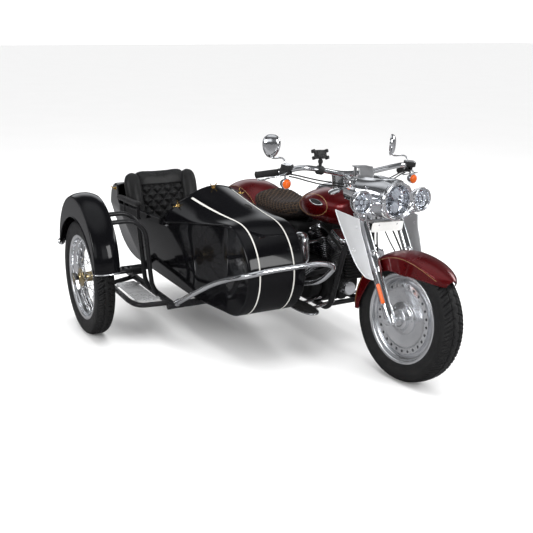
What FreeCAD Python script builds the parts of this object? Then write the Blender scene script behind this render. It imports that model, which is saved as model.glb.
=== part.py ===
import FreeCAD, Part
import math
import os

# Sidecar motorcycle: a cruiser with a sidecar bolted to its right side, parked on its three wheels.
# Millimetres. +X is forward, +Y is the rider's left, +Z is up. While the pieces are being made, X = 0 and
# Z = 0 are on the ground under the front axle and Y = 0 is the motorcycle's middle plane. Before export
# everything is moved so that the origin is the middle of the whole outfit's footprint, on the ground.

# ---- driving dimensions -----------------------------------------------------------------------------
wheelbase = 1635.0
rake_deg = 31.0
parked_steer_deg = 7.0            # the bars stand turned this far to the left
axis_ground_x = 147.0             # where the steering axis meets the ground (the trail)

front_tyre_r = 321.0
front_tyre_w = 140.0
front_rim_r = 216.0
rear_tyre_r = 326.0
rear_tyre_w = 200.0
rear_rim_r = 216.0
car_tyre_r = 328.0
car_tyre_w = 108.0
car_rim_r = 229.0
rim_flange = 13.0                 # height of a rim's flange over its bead seat
rim_wall = 8.0

car_wheel_x = -1369.0
car_wheel_y = -1194.0

axle_r = 12.5
running_gap = 0.3                 # radial clearance of a turning hub on its axle
stem_gap = 0.6                    # and of the steering stem in the neck
side_gap = 6.0                    # free space beside a turning piece

fork_half_span = 120.0            # from the middle plane to a fork tube
fork_tube_r = 24.5
slider_r = 28.0
neck_r = 32.0
stem_r = 17.0

body_wall = 6.0                   # sidecar shell
body_inner_y = -352.0             # flat side beside the motorcycle
nose_outer_y = -680.0
seat_outer_y = -868.0
nose_radius = 247.0
nose_front_x = -391.0
cowl_rear_x = -1090.0             # top of the cockpit's front edge
cowl_crown_z = 838.0
cowl_lean = 170.0                 # how far that edge leans back down to the side
side_top_z = 640.0
seat_x = -1760.0                  # where the sidecar is widest
nose_shoulder_x = -650.0          # where its outer side starts to widen
deck_x = -1792.0                  # front edge of the closed tail
tail_x = -2060.0

frame_z = 225.0                   # sidecar frame tubes and the motorcycle's cradle
frame_tube_r = 20.0
rail_r = frame_tube_r - 2
body_floor_z = frame_z + frame_tube_r + 0.3
body_sill_y = -730.0              # the outer side's foot, drawn in under the widest part
body_knee_z = 600.0               # below this the outer side slants in to the sill
cradle_tube_r = 16.0
cradle_y = 120.0
rail_outer_y = -850.0
rail_inner_y = -325.0
front_cross_x = -964.0
rear_cross_x = -1760.0


def vec(x, y, z):
    """A point or direction."""
    return FreeCAD.Vector(x, y, z)


rake = math.radians(rake_deg)
axis_up = vec(-math.sin(rake), 0, math.cos(rake))
axis_fwd = vec(math.cos(rake), 0, math.sin(rake))
axis_foot = vec(axis_ground_x, 0, 0)
front_axle = vec(0, 0, front_tyre_r)
rear_axle = vec(-wheelbase, 0, rear_tyre_r)
car_axle = vec(car_wheel_x, car_wheel_y, car_tyre_r)
fork_offset = (front_axle - axis_foot).dot(axis_fwd)
axle_along = (front_axle - axis_foot).dot(axis_up)


def on_fork(along, forward=0.0, y=0.0):
    """A point given along the steering axis from the ground, ahead of it, and to the left."""
    p = axis_foot + axis_up * along + axis_fwd * forward
    return vec(p.x, y, p.z)


def along_at(z, forward=0.0):
    """How far up the steering axis a piece that lies `forward` ahead of it reaches height z."""
    return (z - forward * math.sin(rake)) / math.cos(rake)


# ---- small makers -----------------------------------------------------------------------------------
def rod(start, end, radius):
    """A round bar between two points."""
    return Part.makeCylinder(radius, (end - start).Length, start, end - start)


def pipe(start, end, outer, inner):
    """A straight tube between two points."""
    return rod(start, end, outer).cut(rod(start, end, inner))


def box(x, y, z):
    """A box from three (low, high) pairs."""
    return Part.makeBox(x[1] - x[0], y[1] - y[0], z[1] - z[0], vec(x[0], y[0], z[0]))


def oriented_box(centre, size, turn_y=0.0, turn_z=0.0):
    """A box about its centre, pitched about Y and then turned about Z, in degrees."""
    b = Part.makeBox(size[0], size[1], size[2], vec(-size[0] / 2, -size[1] / 2, -size[2] / 2))
    b.rotate(vec(0, 0, 0), vec(0, 1, 0), turn_y)
    b.rotate(vec(0, 0, 0), vec(0, 0, 1), turn_z)
    b.translate(centre)
    return b


def bent_tube(points, radius, bend):
    """A round bar along straight runs joined by tangent arcs of the given bend radius."""
    edges = []
    last = points[0]
    for before, corner, after in zip(points, points[1:], points[2:]):
        into = (corner - before).normalize()
        out = (after - corner).normalize()
        turn = into.getAngle(out)
        room = 0.48 * min((corner - before).Length, (after - corner).Length)
        setback = min(bend * math.tan(turn / 2), room)
        r = setback / math.tan(turn / 2)
        arc_start = corner - into * setback
        arc_end = corner + out * setback
        inward = (out - into).normalize()
        centre = corner + inward * (r / math.cos(turn / 2))
        middle = centre - inward * r
        edges.append(Part.LineSegment(last, arc_start).toShape())
        edges.append(Part.Arc(arc_start, middle, arc_end).toShape())
        last = arc_end
    edges.append(Part.LineSegment(last, points[-1]).toShape())
    path = Part.Wire(edges)
    ring = Part.Wire(Part.Circle(points[0], points[1] - points[0], radius).toShape())
    return path.makePipeShell([ring], True, True)


def mirrored(shape):
    """The same piece on the other side of the motorcycle's middle plane."""
    return shape.mirror(vec(0, 0, 0), vec(0, 1, 0))


def both_sides(shape):
    """A piece and its mirror image, as separate solids."""
    return Part.makeCompound([shape, mirrored(shape)])


def joined(shapes):
    """Several touching shapes as one solid."""
    return shapes[0].fuse(shapes[1:]).removeSplitter()


def flat_face(points):
    """A face from corner points; a point written as (mid, end) is the rest of an arc."""
    edges = []
    last = points[0]
    for point in points[1:]:
        if isinstance(point, tuple):
            edges.append(Part.Arc(last, point[0], point[1]).toShape())
            last = point[1]
        else:
            edges.append(Part.LineSegment(last, point).toShape())
            last = point
    if (last - points[0]).Length > 1e-6:
        edges.append(Part.LineSegment(last, points[0]).toShape())
    return Part.Face(Part.Wire(edges))


def round_rect(centre, normal_x, width, height, corner):
    """A rounded rectangle that faces along X (normal_x True) or along Z, as a wire."""
    w = width / 2
    h = height / 2
    s = corner * (1 - math.sqrt(0.5))
    c = corner
    corners = [(w - c, h, w - s, h - s, w, h - c), (w, c - h, w - s, s - h, w - c, -h),
               (c - w, -h, s - w, s - h, -w, c - h), (-w, h - c, s - w, h - s, c - w, h)]
    place = (lambda u, v: centre + vec(0, u, v)) if normal_x else (lambda u, v: centre + vec(u, v, 0))
    edges = []
    last = place(c - w, h)
    for a, b, m, n, e, f in corners:
        edges.append(Part.LineSegment(last, place(a, b)).toShape())
        edges.append(Part.Arc(place(a, b), place(m, n), place(e, f)).toShape())
        last = place(e, f)
    return Part.Wire(edges)


def loft(wires, straight=False):
    """A closed solid through sections."""
    return Part.makeLoft(wires, True, straight)


def spun(points, centre):
    """A solid of revolution about the Y line through a centre, from (y, radius) points and arcs."""
    def place(pair):
        return centre + vec(0, pair[0], pair[1])
    shaped = [tuple(place(q) for q in p) if isinstance(p[0], tuple) else place(p) for p in points]
    return flat_face(shaped).revolve(centre, vec(0, 1, 0), 360)


def tyre(centre, radius, width, seat):
    """A tyre: beads on the seat, bulging walls, and a crowned tread."""
    bead = width * 0.40
    half = width / 2
    shoulder = (width * 0.43, radius - width * 0.13)
    wall_mid = (half, (seat + radius) / 2)
    root = seat + rim_flange + 2
    return spun([(-bead, seat), (-bead, root), ((-wall_mid[0], wall_mid[1]), (-shoulder[0], shoulder[1])),
                 ((0, radius), (shoulder[0], shoulder[1])), ((wall_mid[0], wall_mid[1]), (bead, root)),
                 (bead, seat)], centre)


def rim(centre, width, seat):
    """A rim: a well with a flange at each edge."""
    bead = width * 0.40
    edge = bead + rim_wall
    top = seat + rim_flange
    low = seat - rim_wall
    return spun([(-edge, low), (-edge, top), (-bead, top), (-bead, seat), (bead, seat), (bead, top),
                 (edge, top), (edge, low)], centre)


def hub(centre, half_length, radius, bore):
    """A plain hub with its bore, along Y."""
    return pipe(centre - vec(0, half_length, 0), centre + vec(0, half_length, 0), radius, bore)


def arch(centre, inner, outer, half_width, start_deg, end_deg, skirt, wall):
    """A fender: a crown over a wheel and a skirt down each side.

    Angles are measured from forward, upwards; skirt is the radius that the side walls reach down to.
    """
    section = [vec(0, -half_width, skirt), vec(0, -half_width, inner),
               (vec(0, 0, outer), vec(0, half_width, inner)), vec(0, half_width, skirt),
               vec(0, half_width - wall, skirt), vec(0, half_width - wall, inner - wall),
               (vec(0, 0, outer - wall), vec(0, wall - half_width, inner - wall)),
               vec(0, wall - half_width, skirt)]
    face = flat_face(section)
    face.rotate(vec(0, 0, 0), vec(0, 1, 0), 90 - start_deg)
    solid = face.revolve(vec(0, 0, 0), vec(0, -1, 0), end_deg - start_deg)
    solid.translate(centre)
    return solid


# ---- motorcycle frame -------------------------------------------------------------------------------
neck_low = along_at(790.0)
neck_high = along_at(893.0)
spine_end = vec(-985, 0, 572)
pivot = vec(-1150, 0, 335)
pivot_y = 84.0                    # the frame's uprights at the swing arm's pivot
swing_y = rear_tyre_w / 2 + 50    # the swing arm's two legs
pivot_boss_r = 28.0


def make_frame():
    neck = rod(on_fork(neck_low), on_fork(neck_high), neck_r)
    bore = rod(on_fork(neck_low - 1), on_fork(neck_high + 1), stem_r + stem_gap)
    spine = bent_tube([on_fork(along_at(845.0), -20), vec(-520, 0, 692), vec(-905, 0, 668), spine_end],
                      17, 60)
    tubes = [neck, spine]
    for side in (-1, 1):
        tubes.append(bent_tube([on_fork(along_at(815.0), -20, side * 12), vec(-452, side * 88, 560),
                                vec(-530, side * cradle_y, frame_z), vec(-1080, side * cradle_y, frame_z),
                                vec(pivot.x, side * pivot_y, frame_z),
                                vec(pivot.x - 10, side * pivot_y, 520), vec(-1040, side * 50, 572),
                                spine_end], cradle_tube_r, 70))
        tubes.append(rod(vec(pivot.x, side * (pivot_y - 14), pivot.z),
                         vec(pivot.x, side * (pivot_y + 14), pivot.z), pivot_boss_r))
    for x, y, z in ((-600, cradle_y, frame_z), (-1080, cradle_y, frame_z), (pivot.x, pivot_y, pivot.z)):
        tubes.append(rod(vec(x, -y, z), vec(x, y, z), 14))
    return joined(tubes).cut(bore)


def make_swingarm():
    boss = rod(vec(pivot.x, pivot_y + 14, pivot.z), vec(pivot.x, swing_y + 12, pivot.z), pivot_boss_r)
    leg = bent_tube([vec(pivot.x, swing_y, pivot.z), vec(-1400, swing_y, 345),
                     rear_axle + vec(30, swing_y, 0)], 17, 200)
    end = rod(rear_axle + vec(0, swing_y - 12, 0), rear_axle + vec(0, swing_y + 12, 0), 34)
    hole = rod(rear_axle + vec(0, swing_y - 50, 0), rear_axle + vec(0, swing_y + 50, 0), axle_r)
    return both_sides(joined([boss, leg, end]).cut(hole))


def make_rear_axle():
    return rod(rear_axle - vec(0, swing_y + 24, 0), rear_axle + vec(0, swing_y + 24, 0), axle_r)


# ---- engine -----------------------------------------------------------------------------------------
crank = vec(-705, 0, 335)
belt_y = (-rear_tyre_w / 2 - 21, -rear_tyre_w / 2 - 5)
pulley_r = 92.0
cylinder_lean = 22.5
cover_y = 112.0


def make_crankcase():
    case = rod(crank - vec(0, 105, 0), crank + vec(0, 105, 0), 118)
    gearbox = box((-1075, -760), (-cover_y, cover_y), (frame_z + 24, 430))
    sump = box((-800, -640), (-95, 95), (frame_z + 6, 300))
    return joined([case, gearbox, sump])


def make_cylinder(lean):
    """A finned barrel with its head and rocker cover, leaning along the motorcycle."""
    parts = [Part.makeCylinder(48, 215, vec(0, 0, 100))]
    for k in range(7):
        height = 132 + 15 * k
        parts.append(Part.makeCylinder(min(74, 0.4 * height), 6, vec(0, 0, height)))
    parts.append(Part.makeBox(136, 128, 46, vec(-68, -64, 232)))
    cover = Part.makeBox(118, 104, 36, vec(-59, -52, 276))
    parts.append(cover)
    shape = joined(parts)
    shape.rotate(vec(0, 0, 0), vec(0, 1, 0), lean)
    shape.translate(crank)
    return shape.cut(make_crankcase())


def stadium(first, last, y, r1, r2):
    """A long cover that rounds two shafts, from y low to y high."""
    a = rod(vec(first.x, y[0], first.z), vec(first.x, y[1], first.z), r1)
    b = rod(vec(last.x, y[0], last.z), vec(last.x, y[1], last.z), r2)
    along = vec(last.x - first.x, 0, last.z - first.z)
    up = vec(-along.z, 0, along.x).normalize()
    face = flat_face([vec(first.x, y[0], first.z) + up * r1, vec(last.x, y[0], last.z) + up * r2,
                      vec(last.x, y[0], last.z) - up * r2, vec(first.x, y[0], first.z) - up * r1])
    return joined([a, b, face.extrude(vec(0, y[1] - y[0], 0))])


def make_primary_cover():
    return stadium(crank, vec(-985, 0, 330), (-182, -cover_y), 92, 82)


def make_belt():
    """The belt's loop; its front end runs into the gearbox."""
    front = vec(-985, 0, 330)
    low, high = belt_y
    outer = stadium(rear_axle, front, (low, high), pulley_r + 10, 66)
    return outer.cut(stadium(rear_axle, front, (low - 1, high + 1), pulley_r + 6, 62))


def make_air_cleaner():
    body = rod(crank + vec(0, 118, 225), crank + vec(0, 176, 225), 86)
    intake = rod(crank + vec(0, -30, 262), crank + vec(0, 120, 262), 34)
    return joined([body, intake])


def make_horn_cover():
    shell = loft([round_rect(vec(-692, -196, 447), False, 78, 62, 22),
                  round_rect(vec(-700, -200, 545), False, 96, 70, 24),
                  round_rect(vec(-706, -196, 620), False, 84, 56, 22)])
    stay = rod(vec(crank.x, -10, 530), vec(crank.x, -185, 530), 9)
    return joined([shell, stay])


def make_exhaust():
    pipes = []
    for port_x, port_z, knee, run_z, start in ((-560, 560, vec(-505, 205, 520), 300, -700),
                                               (-862, 545, vec(-870, 196, 520), 392, -960)):
        side = 226
        pipes.append(bent_tube([vec(port_x, 70, port_z), knee, vec(start + 60, side, run_z + 40),
                                vec(start - 100, side, run_z), vec(-1230, side, run_z)], 22, 70))
        pipes.append(rod(vec(-1200, side, run_z), vec(-1890, side, run_z), 41))
    stay = rod(vec(-1260, side, 300), vec(-1260, side, 392), 12)
    return joined(pipes + [stay])


# ---- tank, seat, rear end ---------------------------------------------------------------------------
# x, half width, bottom, top of the tank's sections
tank_sections = ((-432, 74, 706, 846), (-500, 116, 682, 862), (-600, 152, 666, 867),
                 (-720, 164, 662, 856), (-830, 138, 668, 824), (-930, 78, 688, 768))


def make_tank():
    wires = []
    for x, half, low, high in tank_sections:
        corner = 0.42 * min(2 * half, high - low)
        wires.append(round_rect(vec(x, 0, (low + high) / 2), True, 2 * half, high - low, corner))
    tank = loft(wires)
    tunnel = box((-940, -400), (-24, 24), (600, 716))
    return tank.cut(tunnel)


def make_console():
    dial = Part.makeCylinder(62, 104, vec(-606, 0, 846), vec(-0.16, 0, 1))
    tail = loft([round_rect(vec(-620, 0, 862), True, 96, 60, 26),
                 round_rect(vec(-860, 0, 822), True, 50, 30, 13)])
    return joined([dial, tail]).cut(make_tank())


def make_seat():
    # x, half width, bottom, top
    sections = ((-936, 70, 640, 715), (-1010, 128, 606, 716), (-1150, 165, 596, 704),
                (-1300, 160, 612, 716), (-1420, 118, 650, 732))
    wires = []
    for x, half, low, high in sections:
        wires.append(round_rect(vec(x, 0, (low + high) / 2), True, 2 * half, high - low,
                                0.4 * (high - low)))
    over_fender = rod(rear_axle - vec(0, rear_fender_half, 0), rear_axle + vec(0, rear_fender_half, 0),
                      rear_fender_r)
    return loft(wires).cut(over_fender)


rear_fender_r = 420.0
rear_fender_half = 124.0


def make_rear_fender():
    shell = arch(rear_axle, rear_fender_r - 34, rear_fender_r, rear_fender_half, 35, 176, 300, 5)
    stays = []
    for side in (-1, 1):
        y = side * rear_fender_half
        stays.append(bent_tube([vec(pivot.x - 10, side * pivot_y, 500), vec(-1300, y + side * 6, 600),
                                vec(rear_axle.x - 5, y + side * 6, rear_axle.z + 364)], 10, 80))
    return joined([shell] + stays)


def make_tail_lamp():
    stalk = rear_axle + vec(-rear_fender_r * math.cos(0.62), 0, rear_fender_r * math.sin(0.62))
    bar = rod(stalk + vec(-18, -150, 0), stalk + vec(-18, 150, 0), 11)
    lamp = rod(stalk + vec(10, 0, 10), stalk + vec(-62, 0, 2), 40)
    ends = [rod(stalk + vec(10, s * 150, 0), stalk + vec(-50, s * 150, 0), 34) for s in (-1, 1)]
    inside = rod(rear_axle - vec(0, rear_fender_half, 0), rear_axle + vec(0, rear_fender_half, 0),
                 rear_fender_r)
    return joined([bar, lamp] + ends).cut(inside)


def make_footboards():
    board = loft([round_rect(vec(-590, -262, 236), False, 300, 104, 50),
                  round_rect(vec(-590, -262, 250), False, 300, 104, 50)], True)
    stays = [rod(vec(x, -cradle_y - 6, frame_z + 18), vec(x, -230, frame_z + 18), 9) for x in (-540,
                                                                                               -640)]
    return both_sides(joined([board] + stays).cut(make_frame()))


# ---- sidecar ----------------------------------------------------------------------------------------
def make_car_frame():
    z = frame_z
    front_cross = rod(vec(front_cross_x, rail_outer_y - 34, z),
                      vec(front_cross_x, -cradle_y - cradle_tube_r, z), frame_tube_r)
    rear_cross = rod(vec(rear_cross_x, rail_outer_y - 24, z), vec(rear_cross_x, rail_inner_y + 24, z),
                     frame_tube_r)
    rails = [rod(vec(front_cross_x + 8, y, z), vec(rear_cross_x - 8, y, z), rail_r)
             for y in (rail_outer_y, rail_inner_y)]
    return joined([front_cross, rear_cross] + rails)


def make_struts():
    upper_front = bent_tube([vec(front_cross_x + 8, -250, frame_z + 12), vec(-560, -206, 430),
                             vec(-474, -97, 466)], 13, 60)
    upper_rear = rod(vec(-1420, rail_inner_y, frame_z + 8), vec(pivot.x - 8, -pivot_y - 6, 478), 13)
    lower_rear = rod(vec(-1500, rail_inner_y, frame_z), vec(-1090, -cradle_y - 6, frame_z), 13)
    return Part.makeCompound([upper_front, upper_rear, lower_rear])


def outer_y(x):
    """The sidecar's outer side at x: straight at the nose, then widening to the seat."""
    part = (nose_shoulder_x - x) / (nose_shoulder_x - seat_x)
    return nose_outer_y + (seat_outer_y - nose_outer_y) * max(0.0, part)


def plan_outline(back_from, inset=0.0):
    """The sidecar's outline from above, behind X = back_from."""
    tail_outer = seat_outer_y + 40 + inset
    return flat_face([vec(back_from, body_inner_y - inset, 0), vec(tail_x, body_inner_y - inset, 0),
                      vec(tail_x, tail_outer, 0), vec(seat_x, seat_outer_y + inset, 0),
                      vec(back_from, outer_y(back_from) + inset, 0)]).extrude(vec(0, 0, 1000))


def sill_y(x):
    """The outer side's foot at x."""
    return max(body_sill_y, outer_y(x))


def tub_section(x, widest, inset):
    """A slice across the tub: upright above the knee, slanting in to the sill below it."""
    low = body_floor_z + inset
    top = 900.0
    inner = body_inner_y - inset
    return flat_face([vec(x, sill_y(x) + inset, low), vec(x, widest + inset, body_knee_z),
                      vec(x, widest + inset, top), vec(x, inner, top), vec(x, inner, low)]).OuterWire


def tub_block(front_x, inset=0.0):
    """The cockpit's tub and the tail: a side view cut out of a loft along the outfit."""
    y = -1000
    low = body_floor_z + inset
    tail = tail_x + inset
    top = side_top_z - inset
    side = flat_face([vec(front_x, y, low), vec(-1880, y, low),
                      (vec(-2012 + inset, y, low + 60), vec(tail, y, low + 190)), vec(tail, y, 560),
                      (vec(-2003 + inset, y, 700 - inset), vec(-1860, y, 752 - inset)),
                      vec(-1824 - inset, y, 750 - inset), vec(-1800 - inset, y, 668 - inset),
                      vec(-1760 - inset, y, top),
                      vec(front_x, y, top)])
    fore = loft([tub_section(front_x, outer_y(front_x), inset), tub_section(seat_x, seat_outer_y, inset)],
                True)
    aft = loft([tub_section(seat_x, seat_outer_y, inset), tub_section(tail_x, seat_outer_y + 40, inset)],
               True)
    return fore.fuse(aft).common(side.extrude(vec(0, 1000, 0)))


def cowl_section(x, inset):
    """The nose's cross-section at x: an arched top that rises to the rear, and a spare strip inside."""
    start = nose_front_x - nose_radius
    back = (start - x) / (start - cowl_rear_x)
    drum_top = body_floor_z + 2 * nose_radius
    outer = outer_y(x) + inset
    inner = body_inner_y - inset
    edge = drum_top - 12 - 70 * back - inset
    crown = drum_top - 1 + (cowl_crown_z - drum_top) * back - inset
    low = body_floor_z + inset
    middle_y = (outer + inner) / 2
    spare = inner + 40
    return flat_face([vec(x, sill_y(x) + inset, low), vec(x, outer, body_knee_z), vec(x, outer, edge),
                      (vec(x, middle_y, crown), vec(x, inner, edge)), vec(x, spare, edge),
                      vec(x, spare, low)]).OuterWire


def cowl_block(start, end, inset=0.0):
    """The part of the nose between the drum and the cockpit, flat on the motorcycle's side."""
    side = body_inner_y - inset
    arched = loft([cowl_section(start, inset), cowl_section(end, inset)], True)
    return arched.cut(box((end - 1, start + 1), (side, side + 50), (0, 1000)))


def nose_block(inset=0.0):
    """The drum at the front of the sidecar."""
    x = nose_front_x - nose_radius
    z = body_floor_z + nose_radius
    low_y = nose_outer_y + inset
    high_y = body_inner_y - inset
    drum = rod(vec(x, low_y, z), vec(x, high_y, z), nose_radius - inset)
    return drum.common(box((x - 1, nose_front_x), (low_y, high_y),
                           (body_floor_z, body_floor_z + 2 * nose_radius)))


def make_body():
    """The sidecar's shell: nose drum, cowl, open cockpit and tail."""
    wall = body_wall
    start = nose_front_x - nose_radius
    end = cowl_rear_x - cowl_lean
    y = -1000
    above_edge = flat_face([vec(cowl_rear_x, y, 900), vec(cowl_rear_x - 20, y, 800),
                            vec(end, y, side_top_z), vec(-1700, y, side_top_z),
                            vec(-1700, y, 900)]).extrude(vec(0, 1000, 0))
    cowl = cowl_block(start, end).cut(cowl_block(start, end, wall)).cut(above_edge)
    tub = tub_block(end).cut(tub_block(end, wall))
    mouth = box((deck_x, end), (seat_outer_y, body_inner_y), (body_knee_z + 1, 900))
    tub = tub.cut(mouth.common(plan_outline(end, wall)))
    nose = nose_block().cut(nose_block(wall))
    return nose.fuse([cowl, tub]).removeSplitter()


def make_car_seat():
    """The cushion on its stand, and the back with a bolster down each side."""
    y_mid = (seat_outer_y + body_inner_y) / 2
    cushion_y = y_mid + 42
    base = oriented_box(vec(-1510, cushion_y, 400), (350, 344, 130))
    stand = oriented_box(vec(-1510, cushion_y, 293.5), (300, 290, 85))
    pieces = [oriented_box(vec(-1716, y_mid, 652), (78, 340, 386), -14)]
    for side in (-1, 1):
        foot = vec(-1660, y_mid + side * 146, 480)
        top = vec(-1748, y_mid + side * 186, 816)
        pieces += [rod(foot, top, 48), Part.makeSphere(48, top)]
    back = joined(pieces).cut(base)
    return Part.makeCompound([joined([base, stand]), back])


def make_armrest():
    """A pad along the outer side's top edge, on two posts inside the wall."""
    y = seat_outer_y + 2
    inside = seat_outer_y + body_wall + 9
    pad = bent_tube([vec(-1790, y, 682), vec(-1600, y, 690), vec(-1402, y, 702)], 20, 100)
    posts = [rod(vec(x, inside, 604), vec(x, inside, 686), 9) for x in (-1470, -1700)]
    return joined([pad] + posts)


car_fender_half = 70.0
car_fender_centre = vec(-1360, car_wheel_y, 445)    # its arch is struck from above the axle
car_fender_r = 355.0


def make_car_fender():
    """An arch over the wheel whose side walls reach down to a circle just outside the tyre's shoulder."""
    shell = arch(car_fender_centre, car_fender_r, car_fender_r + 7, car_fender_half, -2, 177, 60, 4)
    reach = car_tyre_r + 16
    wheel_room = rod(car_axle - vec(0, 100, 0), car_axle + vec(0, 100, 0), reach)
    return shell.cut(wheel_room)


def make_fender_stays():
    """Tubes that rise from the sidecar's frame and bend over to the fender's inner wall."""
    inner = car_wheel_y + car_fender_half
    stays = []
    for x, y, top in ((-1180, rail_outer_y - 40, 668), (-1286, rail_outer_y - 40, 690)):
        stays.append(bent_tube([vec(x, rail_outer_y - 8, frame_z + 6), vec(x, y, frame_z + 60),
                                vec(x, y - 30, top - 60), vec(x, y - 100, top), vec(x, inner - 2, top)],
                               13, 60))
    return Part.makeCompound(stays)


def make_car_axle():
    inner = rail_outer_y - 45
    shaft = rod(vec(car_wheel_x, inner, car_tyre_r), vec(car_wheel_x, car_wheel_y - 76, car_tyre_r),
                axle_r)
    collar = rod(vec(car_wheel_x, inner - 50, car_tyre_r), vec(car_wheel_x, inner + 25, car_tyre_r), 26)
    arm = bent_tube([vec(car_wheel_x, inner, car_tyre_r),
                     vec(car_wheel_x - 180, inner + 12, frame_z + 24),
                     vec(car_wheel_x - 260, rail_outer_y, frame_z)], 17, 60)
    return joined([shaft, collar, arm])


def make_step():
    z = frame_z
    return bent_tube([vec(-1016, rail_outer_y - 20, z), vec(-1040, -1020, z), vec(-1130, -1042, z),
                      vec(-1500, -1034, z), vec(-1580, rail_outer_y - 20, z)], 14, 70)


step_plate_x = (-1478, -1090)
step_plate_y = (-1006, rail_outer_y - rail_r - 22)


def make_step_plate():
    """The tread, inside the step's loop, on lugs that reach the loop and the frame's outer rail."""
    z = frame_z
    plate = box(step_plate_x, step_plate_y, (z + 2, z + 6))
    lugs = [box((x - 14, x + 14), (-1036, rail_outer_y - 5), (z - 4, z + 2)) for x in (-1440, -1130)]
    return joined([plate] + lugs)


def make_bumper():
    return bent_tube([vec(-930, -836, 248), vec(-812, -808, 321), vec(-662, -752, 415),
                      vec(-540, -720, 468), vec(-360, -706, 531), vec(-348, -590, 546),
                      vec(-348, -300, 548), vec(-342, -205, 524), vec(-420, -250, 420),
                      vec(-560, -331, 385), vec(-800, -331, 300),
                      vec(front_cross_x + 8, -331, frame_z + 12)], 14, 60)


def make_car_lamp():
    """Side lamp on a short arm at the rear end of the sidecar's fender."""
    at = vec(-1712, car_wheel_y - 40, 440)
    arm = rod(at + vec(6, 0, 30), at + vec(-60, 0, 24), 7)
    lamp = rod(at + vec(-44, 0, 14), at + vec(-84, 0, -6), 22)
    return joined([arm, lamp])


# ---- fork and everything that turns with it ---------------------------------------------------------
lower_clamp_top = neck_low - side_gap
upper_clamp_low = neck_high + side_gap
nacelle_ear_y = 156.0
fork_top = along_at(948.0, fork_offset)


def make_fork_legs():
    legs = []
    for side in (-1, 1):
        y = side * fork_half_span
        tube = rod(on_fork(axle_along + 150, fork_offset, y), on_fork(fork_top, fork_offset, y),
                   fork_tube_r)
        slider = rod(on_fork(axle_along - 24, fork_offset, y), on_fork(axle_along + 330, fork_offset, y),
                     slider_r)
        legs.append(joined([tube, slider]))
    return Part.makeCompound(legs)


def clamp_plate(low, thickness, half_width):
    """A yoke across both fork tubes, square to the steering axis and cut back beside the neck."""
    front = fork_offset + 32
    outline = [vec(front, -half_width, 0), vec(front, half_width, 0), vec(12, half_width, 0),
               vec(-28, 13, 0), vec(-28, -13, 0), vec(12, -half_width, 0)]
    plate = flat_face(outline).extrude(vec(0, 0, thickness))
    plate.rotate(vec(0, 0, 0), vec(0, 1, 0), -rake_deg)
    plate.translate(on_fork(low))
    return plate


def make_clamps():
    lower = clamp_plate(lower_clamp_top - 34, 34, fork_half_span + fork_tube_r + 1)
    upper = clamp_plate(upper_clamp_low, 18, fork_half_span + fork_tube_r + 1)
    ears = [rod(on_fork(upper_clamp_low + 9, 30, s * 120), on_fork(upper_clamp_low + 9, 30,
                                                                   s * nacelle_ear_y), 7) for s in (-1,
                                                                                                    1)]
    stem = rod(on_fork(lower_clamp_top - 20), on_fork(upper_clamp_low + 10), stem_r)
    risers = []
    for side in (-1, 1):
        risers.append(rod(on_fork(upper_clamp_low + 10, -8, side * 45), vec(-508, side * 45, 946), 15))
    return joined([lower, upper, stem] + risers + ears)


def make_front_axle():
    return rod(front_axle - vec(0, 146, 0), front_axle + vec(0, 146, 0), axle_r)


# handlebar from its middle to the left grip's end
bar_points = (vec(-508, 0, 960), vec(-508, 90, 960), vec(-494, 250, 990), vec(-500, 345, 1001),
              vec(-567, 430, 969), vec(-684, 492, 938))
grip_points = (vec(-567, 430, 969), vec(-684, 492, 938))
bar_r = 12.7


def make_handlebar():
    left = bent_tube(list(bar_points), bar_r, 60)
    return joined([left, mirrored(left)])


def make_grips():
    start = grip_points[0]
    end = grip_points[1]
    out = (end - start).normalize()
    grip = rod(start + out * 4, end + out * 6, 17.5)
    return both_sides(grip)


def make_controls():
    """Switch housing and lever at each end of the bar."""
    start = grip_points[0]
    end = grip_points[1]
    out = (end - start).normalize()
    housing = rod(start - out * 44, start + out * 1, 24)
    reservoir = oriented_box(start - out * 30 + vec(14, 0, 26), (48, 56, 26), 0, 25)
    lever = bent_tube([start - out * 20 + vec(20, 6, -4), start + vec(34, 34, -22),
                       end + vec(26, 30, -32)], 7, 40)
    return both_sides(joined([housing, reservoir, lever]))


mirror_toe_deg = 38.0             # each head's back looks forward and out by this much


def make_mirrors():
    foot = vec(-546, 414, 1003)
    head = vec(-679, 415, 1076)
    stem = bent_tube([foot, vec(-560, 416, 1030), head + vec(8, 0, -30), head + vec(0, 0, 6)], 5, 16)
    glass = loft([round_rect(vec(-10, 0, 8), True, 94, 122, 40),
                  round_rect(vec(16, 0, 8), True, 74, 100, 34)])
    glass.rotate(vec(0, 0, 0), vec(0, 0, 1), mirror_toe_deg)
    glass.translate(head)
    return both_sides(joined([stem, glass]))


def make_turn_signals():
    lamp = vec(-514, 431, 918)
    shell = rod(lamp + vec(-34, 0, 0), lamp + vec(24, 0, 0), 27)
    stem = rod(lamp, vec(-545, 420, 966), 6)
    return both_sides(joined([shell, stem]))


lamp_centre = vec(-158, 0, 875)
lamp_r = 97.0
passing_lamp = vec(-189, 197, 869)
passing_r = 62.0


def nacelle_block(shrink, front_cut=0.0):
    """The nacelle's outer form, or its hollow when shrunk."""
    x, y, z = lamp_centre.x, 0, lamp_centre.z
    return loft([round_rect(vec(x - 12 + front_cut, y, z), True, 2 * (99 - shrink), 2 * (99 - shrink),
                            96 - shrink), round_rect(vec(x - 90, y, z + 3), True, 2 * (128 - shrink),
                                                     2 * (98 - shrink), 80 - shrink),
                 round_rect(vec(-390 - front_cut, y, 896), True, 2 * (166 - shrink), 2 * (76 - shrink),
                            56 - shrink)])


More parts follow.
